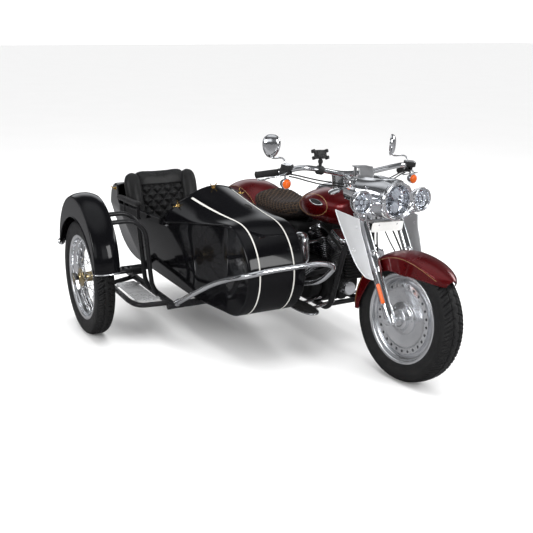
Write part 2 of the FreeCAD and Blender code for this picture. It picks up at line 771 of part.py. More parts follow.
def make_nacelle():
    shell = nacelle_block(0).cut(nacelle_block(5, 2))
    belly = box((-450, -232), (-fork_half_span - slider_r - 2, fork_half_span + slider_r + 2), (740, 862))
    return shell.cut(belly)


def make_headlamp():
    bucket = rod(lamp_centre - vec(72, 0, 0), lamp_centre, lamp_r - 5.3).common(nacelle_block(5.3, 14))
    return bucket.fuse(rod(lamp_centre - vec(11.7, 0, 0), lamp_centre + vec(6, 0, 0), lamp_r))


def make_clamp_cover():
    """The plate that stands over the handlebar clamp, behind the nacelle."""
    face = oriented_box(vec(-410, 0, 984), (7, 98, 52), -20)
    lid = box((-474, -412), (-49, 49), (1000, 1006))
    legs = [rod(vec(-455, y, 930), vec(-455, y, 1003), 8) for y in (-36, 36)]
    return joined([face, lid] + legs)


def make_passing_lamps():
    lamps = []
    for side in (-1, 1):
        at = vec(passing_lamp.x, side * passing_lamp.y, passing_lamp.z)
        lamps.append(rod(at - vec(74, 0, 0), at, passing_r))
    bar = bent_tube([vec(-240, -passing_lamp.y, 812), vec(-258, -110, 758), vec(-258, 110, 758),
                     vec(-240, passing_lamp.y, 812)], 11, 50)
    return joined(lamps + [bar])


# a wind deflector's outline (x, z), front edge first; its panel leans out towards its top
deflector_outline = ((-208, 785), (-190, 720), (-170, 680), (-151, 640), (-116, 560), (-89, 503),
                     (-94, 494), (-154, 503), (-207, 540), (-288, 640), (-353, 733), (-394, 800))
deflector_y = -170.0
deflector_lean_deg = 4.75


def make_deflectors():
    """A wedge-shaped panel outside each fork leg, on two pins."""
    plate = flat_face([vec(x, deflector_y, z) for x, z in deflector_outline]).extrude(vec(0, -5, 0))
    plate.rotate(vec(0, deflector_y, 500), vec(1, 0, 0), deflector_lean_deg)
    forward = fork_offset - 8
    pins = []
    for z in (540, 690):
        reach = deflector_y - 2.5 - (z - 500) * math.tan(math.radians(deflector_lean_deg))
        pins.append(rod(on_fork(along_at(z, forward), forward, -fork_half_span),
                        on_fork(along_at(z, forward), forward, reach), 7))
    return both_sides(joined([plate] + pins))


front_crown = vec(0, 0, 176)      # centre of the flatter arc ahead of the wheel's top
front_heel = vec(0, 0, 316)       # centre of the arc behind it


def make_front_fender():
    half = 87
    fore = arch(front_crown, 466, 480, half, 56, 90, 382, 4)
    fore = fore.cut(box((12, 400), (-100, 100), (400, 577)))
    aft = arch(front_heel, 326, 340, half, 90, 184, 266, 4)
    stays = [rod(on_fork(axle_along + 268, fork_offset, s * (half - 2)),
                 on_fork(axle_along + 268, fork_offset, s * (fork_half_span - slider_r + 3)),
                 14) for s in (-1, 1)]
    return joined([fore, aft] + stays)


def make_number_plate():
    """The blank plate, on two tabs from the lamp bar."""
    plate = oriented_box(vec(-213, 0, 735), (3, 210, 52), -8)
    tabs = [box((-262, -216), (y - 9, y + 9), (748, 752)) for y in (-60, 60)]
    return joined([plate] + tabs)


def make_phone_holder():
    foot = vec(-496, -235, 984)
    stem = rod(foot, foot + vec(0, 0, 60), 8)
    cradle = oriented_box(foot + vec(2, -6, 80), (24, 100, 54), -20)
    return joined([stem, cradle])


# ---- wheels -----------------------------------------------------------------------------------------
def make_front_wheel():
    ring = rim(front_axle, front_tyre_w, front_rim_r)
    low = front_rim_r - rim_wall
    web = spun([(-30, 40), (-44, low + 1), (-34, low + 1), (-20, 40)], front_axle)
    core = hub(front_axle, 74, 48, axle_r + running_gap)
    return joined([ring, web, core]).cut(rod(front_axle - vec(0, 90, 0), front_axle + vec(0, 90, 0),
                                             axle_r + running_gap))


def make_rear_wheel():
    ring = rim(rear_axle, rear_tyre_w, rear_rim_r)
    low = rear_rim_r - rim_wall
    web = spun([(-10, 40), (-10, low + 1), (6, low + 1), (6, 40)], rear_axle)
    core = hub(rear_axle, rear_tyre_w / 2 + 22, 56, axle_r + running_gap)
    pulley = rod(rear_axle + vec(0, belt_y[0], 0), rear_axle + vec(0, belt_y[1], 0), pulley_r)
    bore = rod(rear_axle - vec(0, swing_y, 0), rear_axle + vec(0, swing_y, 0), axle_r + running_gap)
    return joined([ring, web, core, pulley]).cut(bore)


def make_car_wheel():
    ring = rim(car_axle, car_tyre_w, car_rim_r)
    core = hub(car_axle, 62, 34, axle_r + running_gap)
    flanges = [hub(car_axle + vec(0, s * 44, 0), 4, 52, axle_r + running_gap) for s in (-1, 1)]
    spokes = []
    for k in range(20):
        angle = math.radians(18 * k)
        side = 1 if k % 2 else -1
        start = car_axle + vec(math.cos(angle) * 44, side * 44, math.sin(angle) * 44)
        end = car_axle + vec(math.cos(angle) * (car_rim_r - 3), side * 8,
                             math.sin(angle) * (car_rim_r - 3))
        spokes.append(rod(start, end, 2.5))
    return joined([ring, core] + flanges + spokes)


# ---- the whole outfit -------------------------------------------------------------------------------
bodies = {"chassis": {"main_frame": make_frame, "swingarm": make_swingarm, "rear_axle": make_rear_axle,
                      "crankcase": make_crankcase, "front_cylinder": lambda: make_cylinder(cylinder_lean),
                      "rear_cylinder": lambda: make_cylinder(-cylinder_lean),
                      "primary_cover": make_primary_cover, "air_cleaner": make_air_cleaner,
                      "horn_cover": make_horn_cover, "exhaust": make_exhaust, "drive_belt": make_belt,
                      "fuel_tank": make_tank, "tank_console": make_console, "rider_seat": make_seat,
                      "rear_fender": make_rear_fender, "tail_lamps": make_tail_lamp,
                      "footboards": make_footboards, "sidecar_frame": make_car_frame,
                      "sidecar_struts": make_struts, "sidecar_body": make_body,
                      "sidecar_seat": make_car_seat, "armrest": make_armrest,
                      "sidecar_fender": make_car_fender, "fender_stays": make_fender_stays,
                      "sidecar_axle": make_car_axle, "step_rail": make_step,
                      "step_plate": make_step_plate, "bumper_bar": make_bumper,
                      "sidecar_lamp": make_car_lamp}, "fork": {"fork_legs": make_fork_legs,
                                                               "fork_clamps": make_clamps,
                                                               "front_axle": make_front_axle,
                                                               "handlebar": make_handlebar,
                                                               "hand_grips": make_grips,
                                                               "bar_controls": make_controls,
                                                               "mirrors": make_mirrors,
                                                               "turn_signals": make_turn_signals,
                                                               "nacelle": make_nacelle,
                                                               "clamp_cover": make_clamp_cover,
                                                               "headlamp": make_headlamp,
                                                               "passing_lamps": make_passing_lamps,
                                                               "fork_deflectors": make_deflectors,
                                                               "front_fender": make_front_fender,
                                                               "number_plate": make_number_plate,
                                                               "phone_holder": make_phone_holder},
          "front_wheel": {"front_tyre": lambda: tyre(front_axle, front_tyre_r, front_tyre_w, front_rim_r),
                          "front_disc_wheel": make_front_wheel},
          "rear_wheel": {"rear_tyre": lambda: tyre(rear_axle, rear_tyre_r, rear_tyre_w, rear_rim_r),
                         "rear_disc_wheel": make_rear_wheel},
          "sidecar_wheel": {"sidecar_tyre": lambda: tyre(car_axle, car_tyre_r, car_tyre_w, car_rim_r),
                            "sidecar_spoke_wheel": make_car_wheel}}


# what is let into what: the first piece is notched for each of the others
let_in = {"swingarm": ("main_frame", "rear_axle"), "crankcase": ("main_frame",),
          "front_cylinder": ("crankcase", "main_frame"), "rear_cylinder": ("crankcase", "main_frame",
                                                                           "front_cylinder"),
          "primary_cover": ("crankcase", "main_frame"), "air_cleaner": ("front_cylinder",
                                                                        "rear_cylinder"),
          "horn_cover": ("front_cylinder", "rear_cylinder"),
          "exhaust": ("front_cylinder", "rear_cylinder"), "drive_belt": ("crankcase", "primary_cover"),
          "fuel_tank": ("main_frame",), "tank_console": ("fuel_tank",), "rear_fender": ("main_frame",),
          "rider_seat": ("main_frame", "rear_fender", "fuel_tank"), "footboards": ("main_frame",),
          "sidecar_frame": ("main_frame",), "sidecar_struts": ("main_frame", "sidecar_frame"),
          "armrest": ("sidecar_body",), "sidecar_seat": ("sidecar_body",),
          "sidecar_axle": ("sidecar_frame",), "fender_stays": ("sidecar_frame", "sidecar_fender",
                                                               "sidecar_axle"),
          "step_rail": ("sidecar_frame", "sidecar_axle", "fender_stays"),
          "step_plate": ("sidecar_frame", "step_rail", "fender_stays"), "bumper_bar": ("sidecar_frame",),
          "sidecar_lamp": ("sidecar_fender",), "fork_legs": ("front_axle",),
          "fork_clamps": ("fork_legs", "handlebar"), "hand_grips": ("handlebar",),
          "bar_controls": ("handlebar", "hand_grips"), "mirrors": ("bar_controls", "handlebar"),
          "turn_signals": ("bar_controls", "handlebar"), "nacelle": ("fork_legs", "fork_clamps"),
          "clamp_cover": ("nacelle", "handlebar", "fork_clamps"),
          "passing_lamps": ("fork_legs", "fork_clamps", "nacelle"), "fork_deflectors": ("fork_legs",),
          "front_fender": ("fork_legs",), "phone_holder": ("handlebar",),
          "number_plate": ("passing_lamps",)}


def make_all():
    """Every node's shape, with the bars turned as parked and the origin under the outfit's middle."""
    shapes = {}
    for makers in bodies.values():
        for node, maker in makers.items():
            shapes[node] = maker()
    for node, inserts in let_in.items():
        for insert in inserts:
            shapes[node] = shapes[node].cut(shapes[insert])
    for node in list(bodies["fork"]) + list(bodies["front_wheel"]):
        shapes[node].rotate(axis_foot, axis_up, parked_steer_deg)
    bounds = Part.makeCompound(list(shapes.values())).optimalBoundingBox(True, False)
    middle = vec((bounds.XMin + bounds.XMax) / 2, (bounds.YMin + bounds.YMax) / 2, bounds.ZMin)
    for shape in shapes.values():
        shape.translate(middle * -1)
    return shapes, middle


shapes, middle = make_all()
os.makedirs("parts", exist_ok=True)
for name, shape in shapes.items():
    shape.exportStep("parts/" + name + ".step")
print("origin moved to", round(middle.x, 2), round(middle.y, 2), round(middle.z, 2))
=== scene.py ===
import logging
import math
from collections.abc import Callable, Sequence
from dataclasses import dataclass, field
from enum import Enum

import bpy
import numpy as np
from mathutils import Matrix, Vector


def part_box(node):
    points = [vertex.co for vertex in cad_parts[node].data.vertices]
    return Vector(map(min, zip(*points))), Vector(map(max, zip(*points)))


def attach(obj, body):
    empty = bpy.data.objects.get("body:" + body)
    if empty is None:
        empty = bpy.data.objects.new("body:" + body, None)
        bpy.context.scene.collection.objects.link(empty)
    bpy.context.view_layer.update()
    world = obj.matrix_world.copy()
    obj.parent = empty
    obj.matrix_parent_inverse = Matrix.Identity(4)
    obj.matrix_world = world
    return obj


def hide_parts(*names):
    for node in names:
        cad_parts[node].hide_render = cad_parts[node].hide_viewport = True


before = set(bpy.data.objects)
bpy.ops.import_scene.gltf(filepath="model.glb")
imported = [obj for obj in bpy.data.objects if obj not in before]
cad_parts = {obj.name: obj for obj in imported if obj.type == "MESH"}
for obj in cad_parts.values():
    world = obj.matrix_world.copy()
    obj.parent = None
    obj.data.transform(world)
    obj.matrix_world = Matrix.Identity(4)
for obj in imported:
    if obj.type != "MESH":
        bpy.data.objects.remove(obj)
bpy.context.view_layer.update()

log = logging.getLogger("outfit")
Array = np.ndarray

# A motorcycle with a sidecar on its right. Sizes are in metres. Pieces are worked out with X = 0 on the
# ground under the straight-ahead front axle, Y = 0 in the motorcycle's middle plane, +X forward, +Y left;
# settle() and turn_bars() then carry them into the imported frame.


# ---- places -----------------------------------------------------------------------------------------
def box_middle(node: str) -> Array:
    """Middle of a CAD node's box.

    Args:
        node: the node's name.

    Returns:
        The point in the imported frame.
    """
    low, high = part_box(node)
    return (np.array(low) + np.array(high)) / 2


WHEELBASE = 1.635
CAR_AXLE = np.array([-1.369, -1.194, 0.328])
REAR_AXLE = np.array([-WHEELBASE, 0.0, 0.326])
FRONT_AXLE = np.array([0.0, 0.0, 0.321])
RAKE = math.radians(31.0)
AXIS_UP = np.array([-math.sin(RAKE), 0.0, math.cos(RAKE)])
AXIS_FORWARD = np.array([math.cos(RAKE), 0.0, math.sin(RAKE)])
AXIS_FOOT = np.array([0.147, 0.0, 0.0])
ORIGIN = box_middle("rear_tyre") - REAR_AXLE
BARS_TURNED = math.radians(7.0)
WELD_STEPS = 1e5            # points in the same hundredth of a millimetre become one
DIAGONAL = 0.7071           # from the pitch along a side to the gap between a diamond's lines
CORNER_CUT = 0.2929         # how far along each axis a quarter circle's middle lies inside its corner
AIR_PRESSURE = 4.0
AIR_STEPS = 20


def settle(points: Array) -> Array:
    """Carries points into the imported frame: a plain shift.

    Args:
        points: any array whose last axis is x, y, z.

    Returns:
        The shifted points.
    """
    return np.asarray(points, dtype=float) + ORIGIN


def turn_bars(points: Array) -> Array:
    """Turns points about the steering axis as the bars are parked, then shifts them.

    Rodrigues' formula: the part along the axis stays, the part across it turns.

    Args:
        points: any array whose last axis is x, y, z, with the bars straight.

    Returns:
        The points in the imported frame.
    """
    offset = np.asarray(points, dtype=float) - AXIS_FOOT
    along = (offset @ AXIS_UP)[..., None] * AXIS_UP
    across = offset - along
    turned = along + across * math.cos(BARS_TURNED) + np.cross(AXIS_UP, across) * math.sin(BARS_TURNED)
    return turned + AXIS_FOOT + ORIGIN


def on_fork(along: float, ahead: float = 0.0, y: float = 0.0) -> Array:
    """A point measured along the steering axis from the ground, ahead of it and to the left."""
    p = AXIS_FOOT + AXIS_UP * along + AXIS_FORWARD * ahead
    return np.array([p[0], y, p[2]])


def along_at(z: float, ahead: float = 0.0) -> float:
    """How far up the steering axis a place `ahead` of it reaches height z."""
    return (z - ahead * math.sin(RAKE)) / math.cos(RAKE)


def mirrored(points: Array) -> Array:
    """The same points on the other side of the motorcycle's middle plane."""
    return np.asarray(points) * np.array([1.0, -1.0, 1.0])


# ---- curves -----------------------------------------------------------------------------------------
def unit(vectors: Array) -> Array:
    """Vectors scaled to length 1."""
    vectors = np.asarray(vectors, dtype=float)
    return vectors / np.maximum(np.linalg.norm(vectors, axis=-1, keepdims=True), 1e-12)


def through(points: Sequence, count: int, closed: bool = False) -> Array:
    """A smooth curve through points: a natural or periodic cubic spline over chord length.

    Args:
        points: knots, one row each, in any number of dimensions.
        count: how many points the curve gets.
        closed: whether it returns to its first knot (which isn't repeated in the result).

    Returns:
        Rows of the curve.
    """
    knots = np.asarray(points, dtype=float)
    if closed:
        knots = np.vstack([knots, knots[:1]])
    step = np.linalg.norm(np.diff(knots, axis=0), axis=1)
    where = np.concatenate([[0.0], np.cumsum(step)])
    n = len(knots)
    system = np.zeros((n, n))
    right = np.zeros_like(knots)
    inner = np.arange(1, n - 1)
    system[inner, inner - 1] = step[:-1]
    system[inner, inner] = 2 * (step[:-1] + step[1:])
    system[inner, inner + 1] = step[1:]
    slope = np.diff(knots, axis=0) / step[:, None]
    right[1:-1] = 6 * np.diff(slope, axis=0)
    if closed:
        system[0, [0, 1, n - 2, n - 1]] = [2 * step[0], step[0], step[-1], 2 * step[-1]]
        right[0] = 6 * (slope[0] - slope[-1])
        system[-1, 0], system[-1, -1] = 1.0, -1.0
    else:
        system[0, 0] = system[-1, -1] = 1.0
    bend = np.linalg.solve(system, right)
    at = np.linspace(0, where[-1], count, endpoint=not closed)
    k = np.clip(np.searchsorted(where, at, side="right") - 1, 0, n - 2)
    t = (at - where[k])[:, None]
    h = step[k][:, None]
    return (knots[k] + t * (slope[k] - h * (2 * bend[k] + bend[k + 1]) / 6)
            + t ** 2 * bend[k] / 2 + t ** 3 * (bend[k + 1] - bend[k]) / (6 * h))


def rounded(points: Sequence, radius: float, closed: bool = False, steps: int = 7) -> Array:
    """Straight runs whose corners are rounded off by a quadratic curve between two setback points.

    Args:
        points: the corners.
        radius: how far from each corner the rounding starts, at most 0.48 of a run.
        closed: whether the outline returns to its start.
        steps: points on each corner.

    Returns:
        Rows of the line.
    """
    corners = np.asarray(points, dtype=float)
    before = np.roll(corners, 1, axis=0)
    after = np.roll(corners, -1, axis=0)
    into = before - corners
    out = after - corners
    room = 0.48 * np.minimum(np.linalg.norm(into, axis=1), np.linalg.norm(out, axis=1))
    back = np.minimum(radius, room)[:, None]
    start = corners + unit(into) * back
    end = corners + unit(out) * back
    t = np.linspace(0, 1, steps)[None, :, None]
    arcs = (1 - t) ** 2 * start[:, None] + 2 * t * (1 - t) * corners[:, None] + t ** 2 * end[:, None]
    if closed:
        return arcs.reshape(-1, corners.shape[1])
    return np.vstack([corners[:1], arcs[1:-1].reshape(-1, corners.shape[1]), corners[-1:]])


def resampled(line: Array, count: int, closed: bool = False) -> Array:
    """The same line with evenly spaced points, found by linear steps along its length.

    Args:
        line: rows of the line.
        count: how many points it gets.
        closed: whether it returns to its start.

    Returns:
        The new rows.
    """
    rows = np.vstack([line, line[:1]]) if closed else np.asarray(line, dtype=float)
    run = np.concatenate([[0.0], np.cumsum(np.linalg.norm(np.diff(rows, axis=0), axis=1))])
    at = np.linspace(0, run[-1], count, endpoint=not closed)
    return np.stack([np.interp(at, run, rows[:, i]) for i in range(rows.shape[1])], axis=1)


def box_outline(width: float, height: float, corner: float, steps: int = 7) -> Array:
    """A rounded rectangle about the origin, anticlockwise, as (u, v) rows."""
    w, h = width / 2, height / 2
    return rounded([(-w, -h), (w, -h), (w, h), (-w, h)], corner, closed=True, steps=steps)


def round_outline(radius: float, count: int = 48, squash: float = 1.0) -> Array:
    """A circle or an ellipse about the origin, as (u, v) rows."""
    turn = np.linspace(0, 2 * math.pi, count, endpoint=False)
    return np.stack([radius * np.cos(turn), radius * squash * np.sin(turn)], axis=1)


def axes_from(normal: Sequence, up: Sequence = (0, 0, 1)) -> tuple[Array, Array, Array]:
    """Right-handed axes (u, v, normal) for a face.

    Args:
        normal: the way the face looks.
        up: a direction that v leans towards.

    Returns:
        Three unit vectors: u to the right, v upwards, and the normal.
    """
    n = unit(normal)
    u = unit(np.cross(up, n))
    return u, np.cross(n, u), n


# ---- surfaces ---------------------------------------------------------------------------------------
def along_path(path: Array, closed: bool = False) -> tuple[Array, Array]:
    """Two directions square to a path at each of its points.

    The first is the path's direction crossed with whichever fixed axis it turns furthest from.

    Args:
        path: rows of the path.
        closed: whether the path meets its own start.

    Returns:
        Side and upward directions, one row per point.
    """
    if closed:
        tangent = unit(np.roll(path, -1, axis=0) - np.roll(path, 1, axis=0))
    else:
        tangent = unit(np.gradient(path, axis=0))
    fit = np.abs(tangent).max(axis=0)
    helper = np.eye(3)[int(np.argmin(fit))]
    side = unit(np.cross(tangent, helper))
    return side, np.cross(side, tangent)


def tube(path: Array, radius: float | Array, sides: int = 20, closed: bool = False) -> Array:
    """A round tube: a circle carried along a path.

    Args:
        path: rows of the path.
        radius: one radius, or one for each point.
        sides: points round it.
        closed: whether the path meets its own start.

    Returns:
        A grid, path points by sides.
    """
    side, up = along_path(path, closed)
    turn = np.linspace(0, 2 * math.pi, sides, endpoint=False)
    r = np.broadcast_to(np.asarray(radius, dtype=float), (len(path),))[:, None, None]
    ring = np.cos(turn)[None, :, None] * side[:, None] + np.sin(turn)[None, :, None] * up[:, None]
    return path[:, None] + r * ring


def carried(outline: Array, path: Array, closed: bool = False) -> Array:
    """A flat outline carried along a path: its u along the path's side direction, v along its up."""
    side, up = along_path(path, closed)
    return path[:, None] + outline[None, :, :1] * side[:, None] + outline[None, :, 1:2] * up[:, None]


def turned(profile: Sequence, centre: Sequence, axis: Sequence = (0, 1, 0), count: int = 96,
           start: float = 0.0, end: float = 360.0) -> Array:
    """A surface of revolution.

    Args:
        profile: rows of (distance along the axis, radius).
        centre: the point that the axis passes through.
        axis: its direction.
        count: points round it.
        start: first angle in degrees, from the axis's own side direction.
        end: last angle.

    Returns:
        A grid, profile rows by count; the caller closes the second way for a full turn.
    """
    rows = np.asarray(profile, dtype=float)
    n = unit(axis)
    helper = (0, 0, 1) if abs(n[2]) < 0.9 else (1, 0, 0)
    u = unit(np.cross(helper, n))
    v = np.cross(n, u)
    full = end - start >= 360
    turn = np.radians(np.linspace(start, end, count, endpoint=not full))
    ring = np.cos(turn)[:, None] * u + np.sin(turn)[:, None] * v
    return np.asarray(centre) + rows[:, None, :1] * n + rows[:, None, 1:2] * ring[None]


def ring_of(profile: Sequence, centre: Sequence, axis: Sequence = (0, 1, 0), count: int = 96) -> Array:
    """A closed ring of revolution from an open profile whose last row joins its first."""
    return turned(np.vstack([profile, profile[:1]]), centre, axis, count)


def rod(points: Sequence, radius: float, bend: float = 0.05, sides: int = 24) -> Array:
    """A round bar with bent corners."""
    return tube(rounded(np.array(points, dtype=float), bend, steps=9), radius, sides)


def slab(outline: Array, centre: Sequence, normal: Sequence, thickness: float, bevel: float,
         up: Sequence = (0, 0, 1), crown: float = 0.0) -> Array:
    """A plate with rounded edges: rings of its outline from its back to its front, drawn in at both ends.

    Args:
        outline: (u, v) rows about the plate's middle.
        centre: the middle of its front face.
        normal: the way the front looks.
        thickness: how far it reaches back.
        bevel: radius of its edges.
        up: a direction that v leans towards.
        crown: how much the middle of the front stands proud of its edge.

    Returns:
        A grid, rings by outline points, whose two ends close on a middle point.
    """
    u, v, n = axes_from(normal, up)
    size = np.abs(outline).max()
    turn = np.linspace(0, math.pi / 2, 5)
    shrink = np.concatenate([[0.0, 0.5], 1 - bevel / size * (1 - np.sin(turn)), 1 - bevel / size * (1 - np.cos(turn)),
                             [0.8, 0.5, 0.0]])
    depth = np.concatenate([[-thickness, -thickness], -thickness + bevel * (1 - np.cos(turn)),
                            -bevel * (1 - np.sin(turn)), [0.0, 0.0, 0.0]])
    front = np.concatenate([np.zeros(len(depth) - 3), np.ones(3)])
    depth = depth + front * crown * (1 - shrink ** 2)
    flat = outline[:, :1] * u + outline[:, 1:2] * v
    return np.asarray(centre) + shrink[:, None, None] * flat[None] + depth[:, None, None] * n


def bolt(spot: Array, normal: Sequence, radius: float = 0.006, height: float = 0.004) -> Array:
    """A six-sided bolt head with a low dome: its outline pulls in to the middle near the top."""
    turn = np.radians(np.arange(0, 360, 60))
    hexagon = np.stack([radius * np.cos(turn), radius * np.sin(turn)], axis=1)
    top = np.asarray(spot) + unit(normal) * height
    return slab(hexagon, top, normal, height + 0.002, radius * 0.22, up=(0.3, 0.2, 1.0))


def lofted(sections: Sequence, count: int) -> Array:
    """A skin over sections with the same number of points: each point runs on a spline through them.

    Args:
        sections: closed outlines in space, all with the same point count.
        count: how many rings the skin gets.

    Returns:
        A grid, rings by outline points.
    """
    rows = np.asarray(sections, dtype=float)
    flat = rows.reshape(len(rows), -1)
    return through(flat, count).reshape(count, rows.shape[1], 3)


def border(grid: Array) -> Array:
    """The points round a grid's four sides, once."""
    return np.vstack([grid[:, 0], grid[-1, 1:], grid[-2::-1, -1], grid[0, -2:0:-1]])


def squircle(half_u: float, half_v: float, corner: float, count: int) -> Array:
    """A rounded rectangle as a superellipse |u|^n + |v|^n = 1 whose n gives the corner's radius.

    Args:
        half_u: half its width.
        half_v: half its height.
        corner: radius of its corners; as large as the smaller half it is an ellipse.
        count: how many points.

    Returns:
        (u, v) rows, anticlockwise from the right.
    """
    share = min(1.0, corner / min(half_u, half_v))
    power = math.log(2) / -math.log(1 - CORNER_CUT * share)
    turn = np.linspace(0, 2 * math.pi, count, endpoint=False)
    c, s = np.cos(turn), np.sin(turn)
    scale = (np.abs(c) ** power + np.abs(s) ** power) ** (-1 / power)
    return np.stack([half_u * c * scale, half_v * s * scale], axis=1)


def ring_at(x: float, half: float, low: float, high: float, corner: float, count: int = 96,
            y: float = 0.0) -> Array:
    """A rounded rectangular section square to X, as `count` points in space."""
    flat = squircle(half, (high - low) / 2, corner, count)
    return np.stack([np.full(count, x), y + flat[:, 0], (low + high) / 2 + flat[:, 1]], axis=1)


def free_cord(name: str, diameter: float, route: Sequence) -> None:
    """A free cord on the fork: a smooth NURBS line whose control points are the route.

    Args:
        name: the piece's name.
        diameter: how thick it is.
        route: its control points, from its exit to its far end.
    """
    curve = bpy.data.curves.new(name, "CURVE")
    curve.dimensions = "3D"
    curve.bevel_depth = diameter / 2
    curve.bevel_resolution = 3
    curve.resolution_u = 12
    curve.use_fill_caps = True
    line = curve.splines.new("NURBS")
    line.points.add(len(route) - 1)
    placed = turn_bars(np.array(route, dtype=float))
    line.points.foreach_set("co", np.column_stack([placed, np.ones(len(placed))]).astype(np.float32).ravel())
    line.order_u = 3
    line.use_endpoint_u = True
    curve.materials.append(paintbox.material(RUBBER))
    cord = bpy.data.objects.new(name, curve)
    bpy.context.scene.collection.objects.link(cord)
    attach(cord, "fork")


class Shell:
    """One piece's faces, gathered from grids and built into a mesh once."""

    def __init__(self, name: str) -> None:
        """Starts an empty piece.

        Args:
            name: the piece's name.
        """
        self.name = name
        self.points: list[Array] = []
        self.faces: list[Array] = []
        self.uvs: list[Array] = []
        self.finish_index: list[Array] = []
        self.count = 0

    def grid(self, points: Array, wrap_u: bool = False, wrap_v: bool = False, caps: bool = False,
             finish: int = 0, face_out: bool = True) -> "Shell":
        """Adds a grid of quads; a closed one is turned to face outwards by its signed volume.

        Args:
            points: rows by columns by 3.
            wrap_u: whether the last row meets the first.
            wrap_v: whether the last column meets the first.
            caps: whether the two end rows are closed on a middle point.
            finish: which of the piece's finishes it takes.
            face_out: whether to turn it by its volume.

        Returns:
            The piece, for chaining.
        """
        rows, cols = points.shape[:2]
        index = np.arange(rows * cols).reshape(rows, cols)
        a = index if wrap_u else index[:-1]
        b = np.roll(index, -1, axis=0) if wrap_u else index[1:]
        if not wrap_v:
            quads = np.stack([a[:, :-1], a[:, 1:], b[:, 1:], b[:, :-1]], axis=-1)
        else:
            quads = np.stack([a, np.roll(a, -1, axis=1), np.roll(b, -1, axis=1), b], axis=-1)
        quads = quads.reshape(-1, 4)
        flat = points.reshape(-1, 3)
        run_u = np.concatenate([[0.0], np.cumsum(np.linalg.norm(np.diff(points.mean(axis=1), axis=0), axis=1))])
        run_v = np.concatenate([[0.0], np.cumsum(np.linalg.norm(np.diff(points[rows // 2], axis=0), axis=1))])
        uv = np.stack(np.meshgrid(run_v, run_u), axis=-1).reshape(-1, 2)
        if caps:
            middle = np.stack([points[0].mean(axis=0), points[-1].mean(axis=0)])
            flat = np.vstack([flat, middle])
            uv = np.vstack([uv, [[0, 0], [0, 0]]])
            first, last = index[0], index[-1]
            n = rows * cols
            start = np.stack([np.roll(first, -1), first, np.full(cols, n), np.full(cols, n)], axis=-1)
            end = np.stack([last, np.roll(last, -1), np.full(cols, n + 1), np.full(cols, n + 1)], axis=-1)
            quads = np.vstack([quads, start, end])
        if face_out and (caps or wrap_u or wrap_v):
            corner = flat[quads] - flat.mean(axis=0)
            volume = (np.einsum("ij,ij->i", corner[:, 0], np.cross(corner[:, 1], corner[:, 2])).sum()
                      + np.einsum("ij,ij->i", corner[:, 0], np.cross(corner[:, 2], corner[:, 3])).sum())
            if volume < 0:
                quads = quads[:, ::-1]
        self.points.append(flat)
        self.uvs.append(uv)
        self.faces.append(quads + self.count)
        self.finish_index.append(np.full(len(quads), finish))
        self.count += len(flat)
        return self

    def plate(self, points: Array, thickness: float, inside: Sequence | None = None, wrap_v: bool = False,
              finish: int = 0) -> "Shell":
        """Adds a sheet with a thickness: the grid, a copy set back along its normals, and its borders.

        The normal is the cross product of the steps along a row and along a column.

        Args:
            points: rows by columns by 3.
            thickness: how far back the other side lies.
            inside: a point on the side that the sheet grows towards; None keeps the grid's own way.
            wrap_v: whether the last column meets the first.
            finish: which of the piece's finishes it takes.

        Returns:
            The piece, for chaining.
        """
        grid = np.asarray(points, dtype=float)
        across = (np.roll(grid, -1, axis=1) - np.roll(grid, 1, axis=1)) if wrap_v else np.gradient(grid, axis=1)
        normal = unit(np.cross(across, np.gradient(grid, axis=0)))
        if inside is not None and ((np.asarray(inside) - grid) * normal).sum(axis=-1).mean() > 0:
            grid, normal = grid[:, ::-1], -normal[:, ::-1]
        rows, cols = grid.shape[:2]
        out = np.arange(rows * cols).reshape(rows, cols)
        back = out + rows * cols
        nxt, back_nxt = (np.roll(out, -1, axis=1), np.roll(back, -1, axis=1)) if wrap_v else (out[:, 1:], back[:, 1:])
        now, back_now = (out, back) if wrap_v else (out[:, :-1], back[:, :-1])
        quads = [np.stack([now[:-1], nxt[:-1], nxt[1:], now[1:]], axis=-1).reshape(-1, 4),
                 np.stack([back_now[:-1], back_now[1:], back_nxt[1:], back_nxt[:-1]], axis=-1).reshape(-1, 4),
                 np.stack([nxt[0], now[0], back_now[0], back_nxt[0]], axis=-1),
                 np.stack([now[-1], nxt[-1], back_nxt[-1], back_now[-1]], axis=-1)]
        if not wrap_v:
            quads += [np.stack([out[:-1, 0], out[1:, 0], back[1:, 0], back[:-1, 0]], axis=-1),
                      np.stack([out[1:, -1], out[:-1, -1], back[:-1, -1], back[1:, -1]], axis=-1)]
        run_u = np.concatenate([[0.0], np.cumsum(np.linalg.norm(np.diff(grid[:, cols // 2], axis=0), axis=1))])
        run_v = np.concatenate([[0.0], np.cumsum(np.linalg.norm(np.diff(grid[rows // 2], axis=0), axis=1))])
        uv = np.stack(np.meshgrid(run_v, run_u), axis=-1).reshape(-1, 2)
        faces = np.vstack(quads)
        self.points += [grid.reshape(-1, 3), (grid - normal * thickness).reshape(-1, 3)]
        self.uvs += [uv, uv]
        self.faces.append(faces + self.count)
        self.finish_index.append(np.full(len(faces), finish))
        self.count += 2 * rows * cols
        return self

    def lathe(self, profile: Sequence, centre: Sequence, axis: Sequence = (0, 1, 0), count: int = 96) -> "Shell":
        """Adds a full surface of revolution, as turned() gives it."""
        return self.grid(turned(profile, centre, axis, count), wrap_v=True)

    def block(self, outline: Array, centre: Sequence, normal: Sequence, thickness: float, bevel: float,
              up: Sequence = (0, 0, 1), crown: float = 0.0) -> "Shell":
        """Adds a plate with rounded edges, as slab() gives it."""
        return self.grid(slab(outline, centre, normal, thickness, bevel, up, crown), wrap_v=True)

    def screw(self, spot: Array, normal: Sequence, radius: float = 0.006, height: float = 0.004) -> "Shell":
        """Adds a bolt head, as bolt() gives it."""
        return self.grid(bolt(spot, normal, radius, height), wrap_v=True)

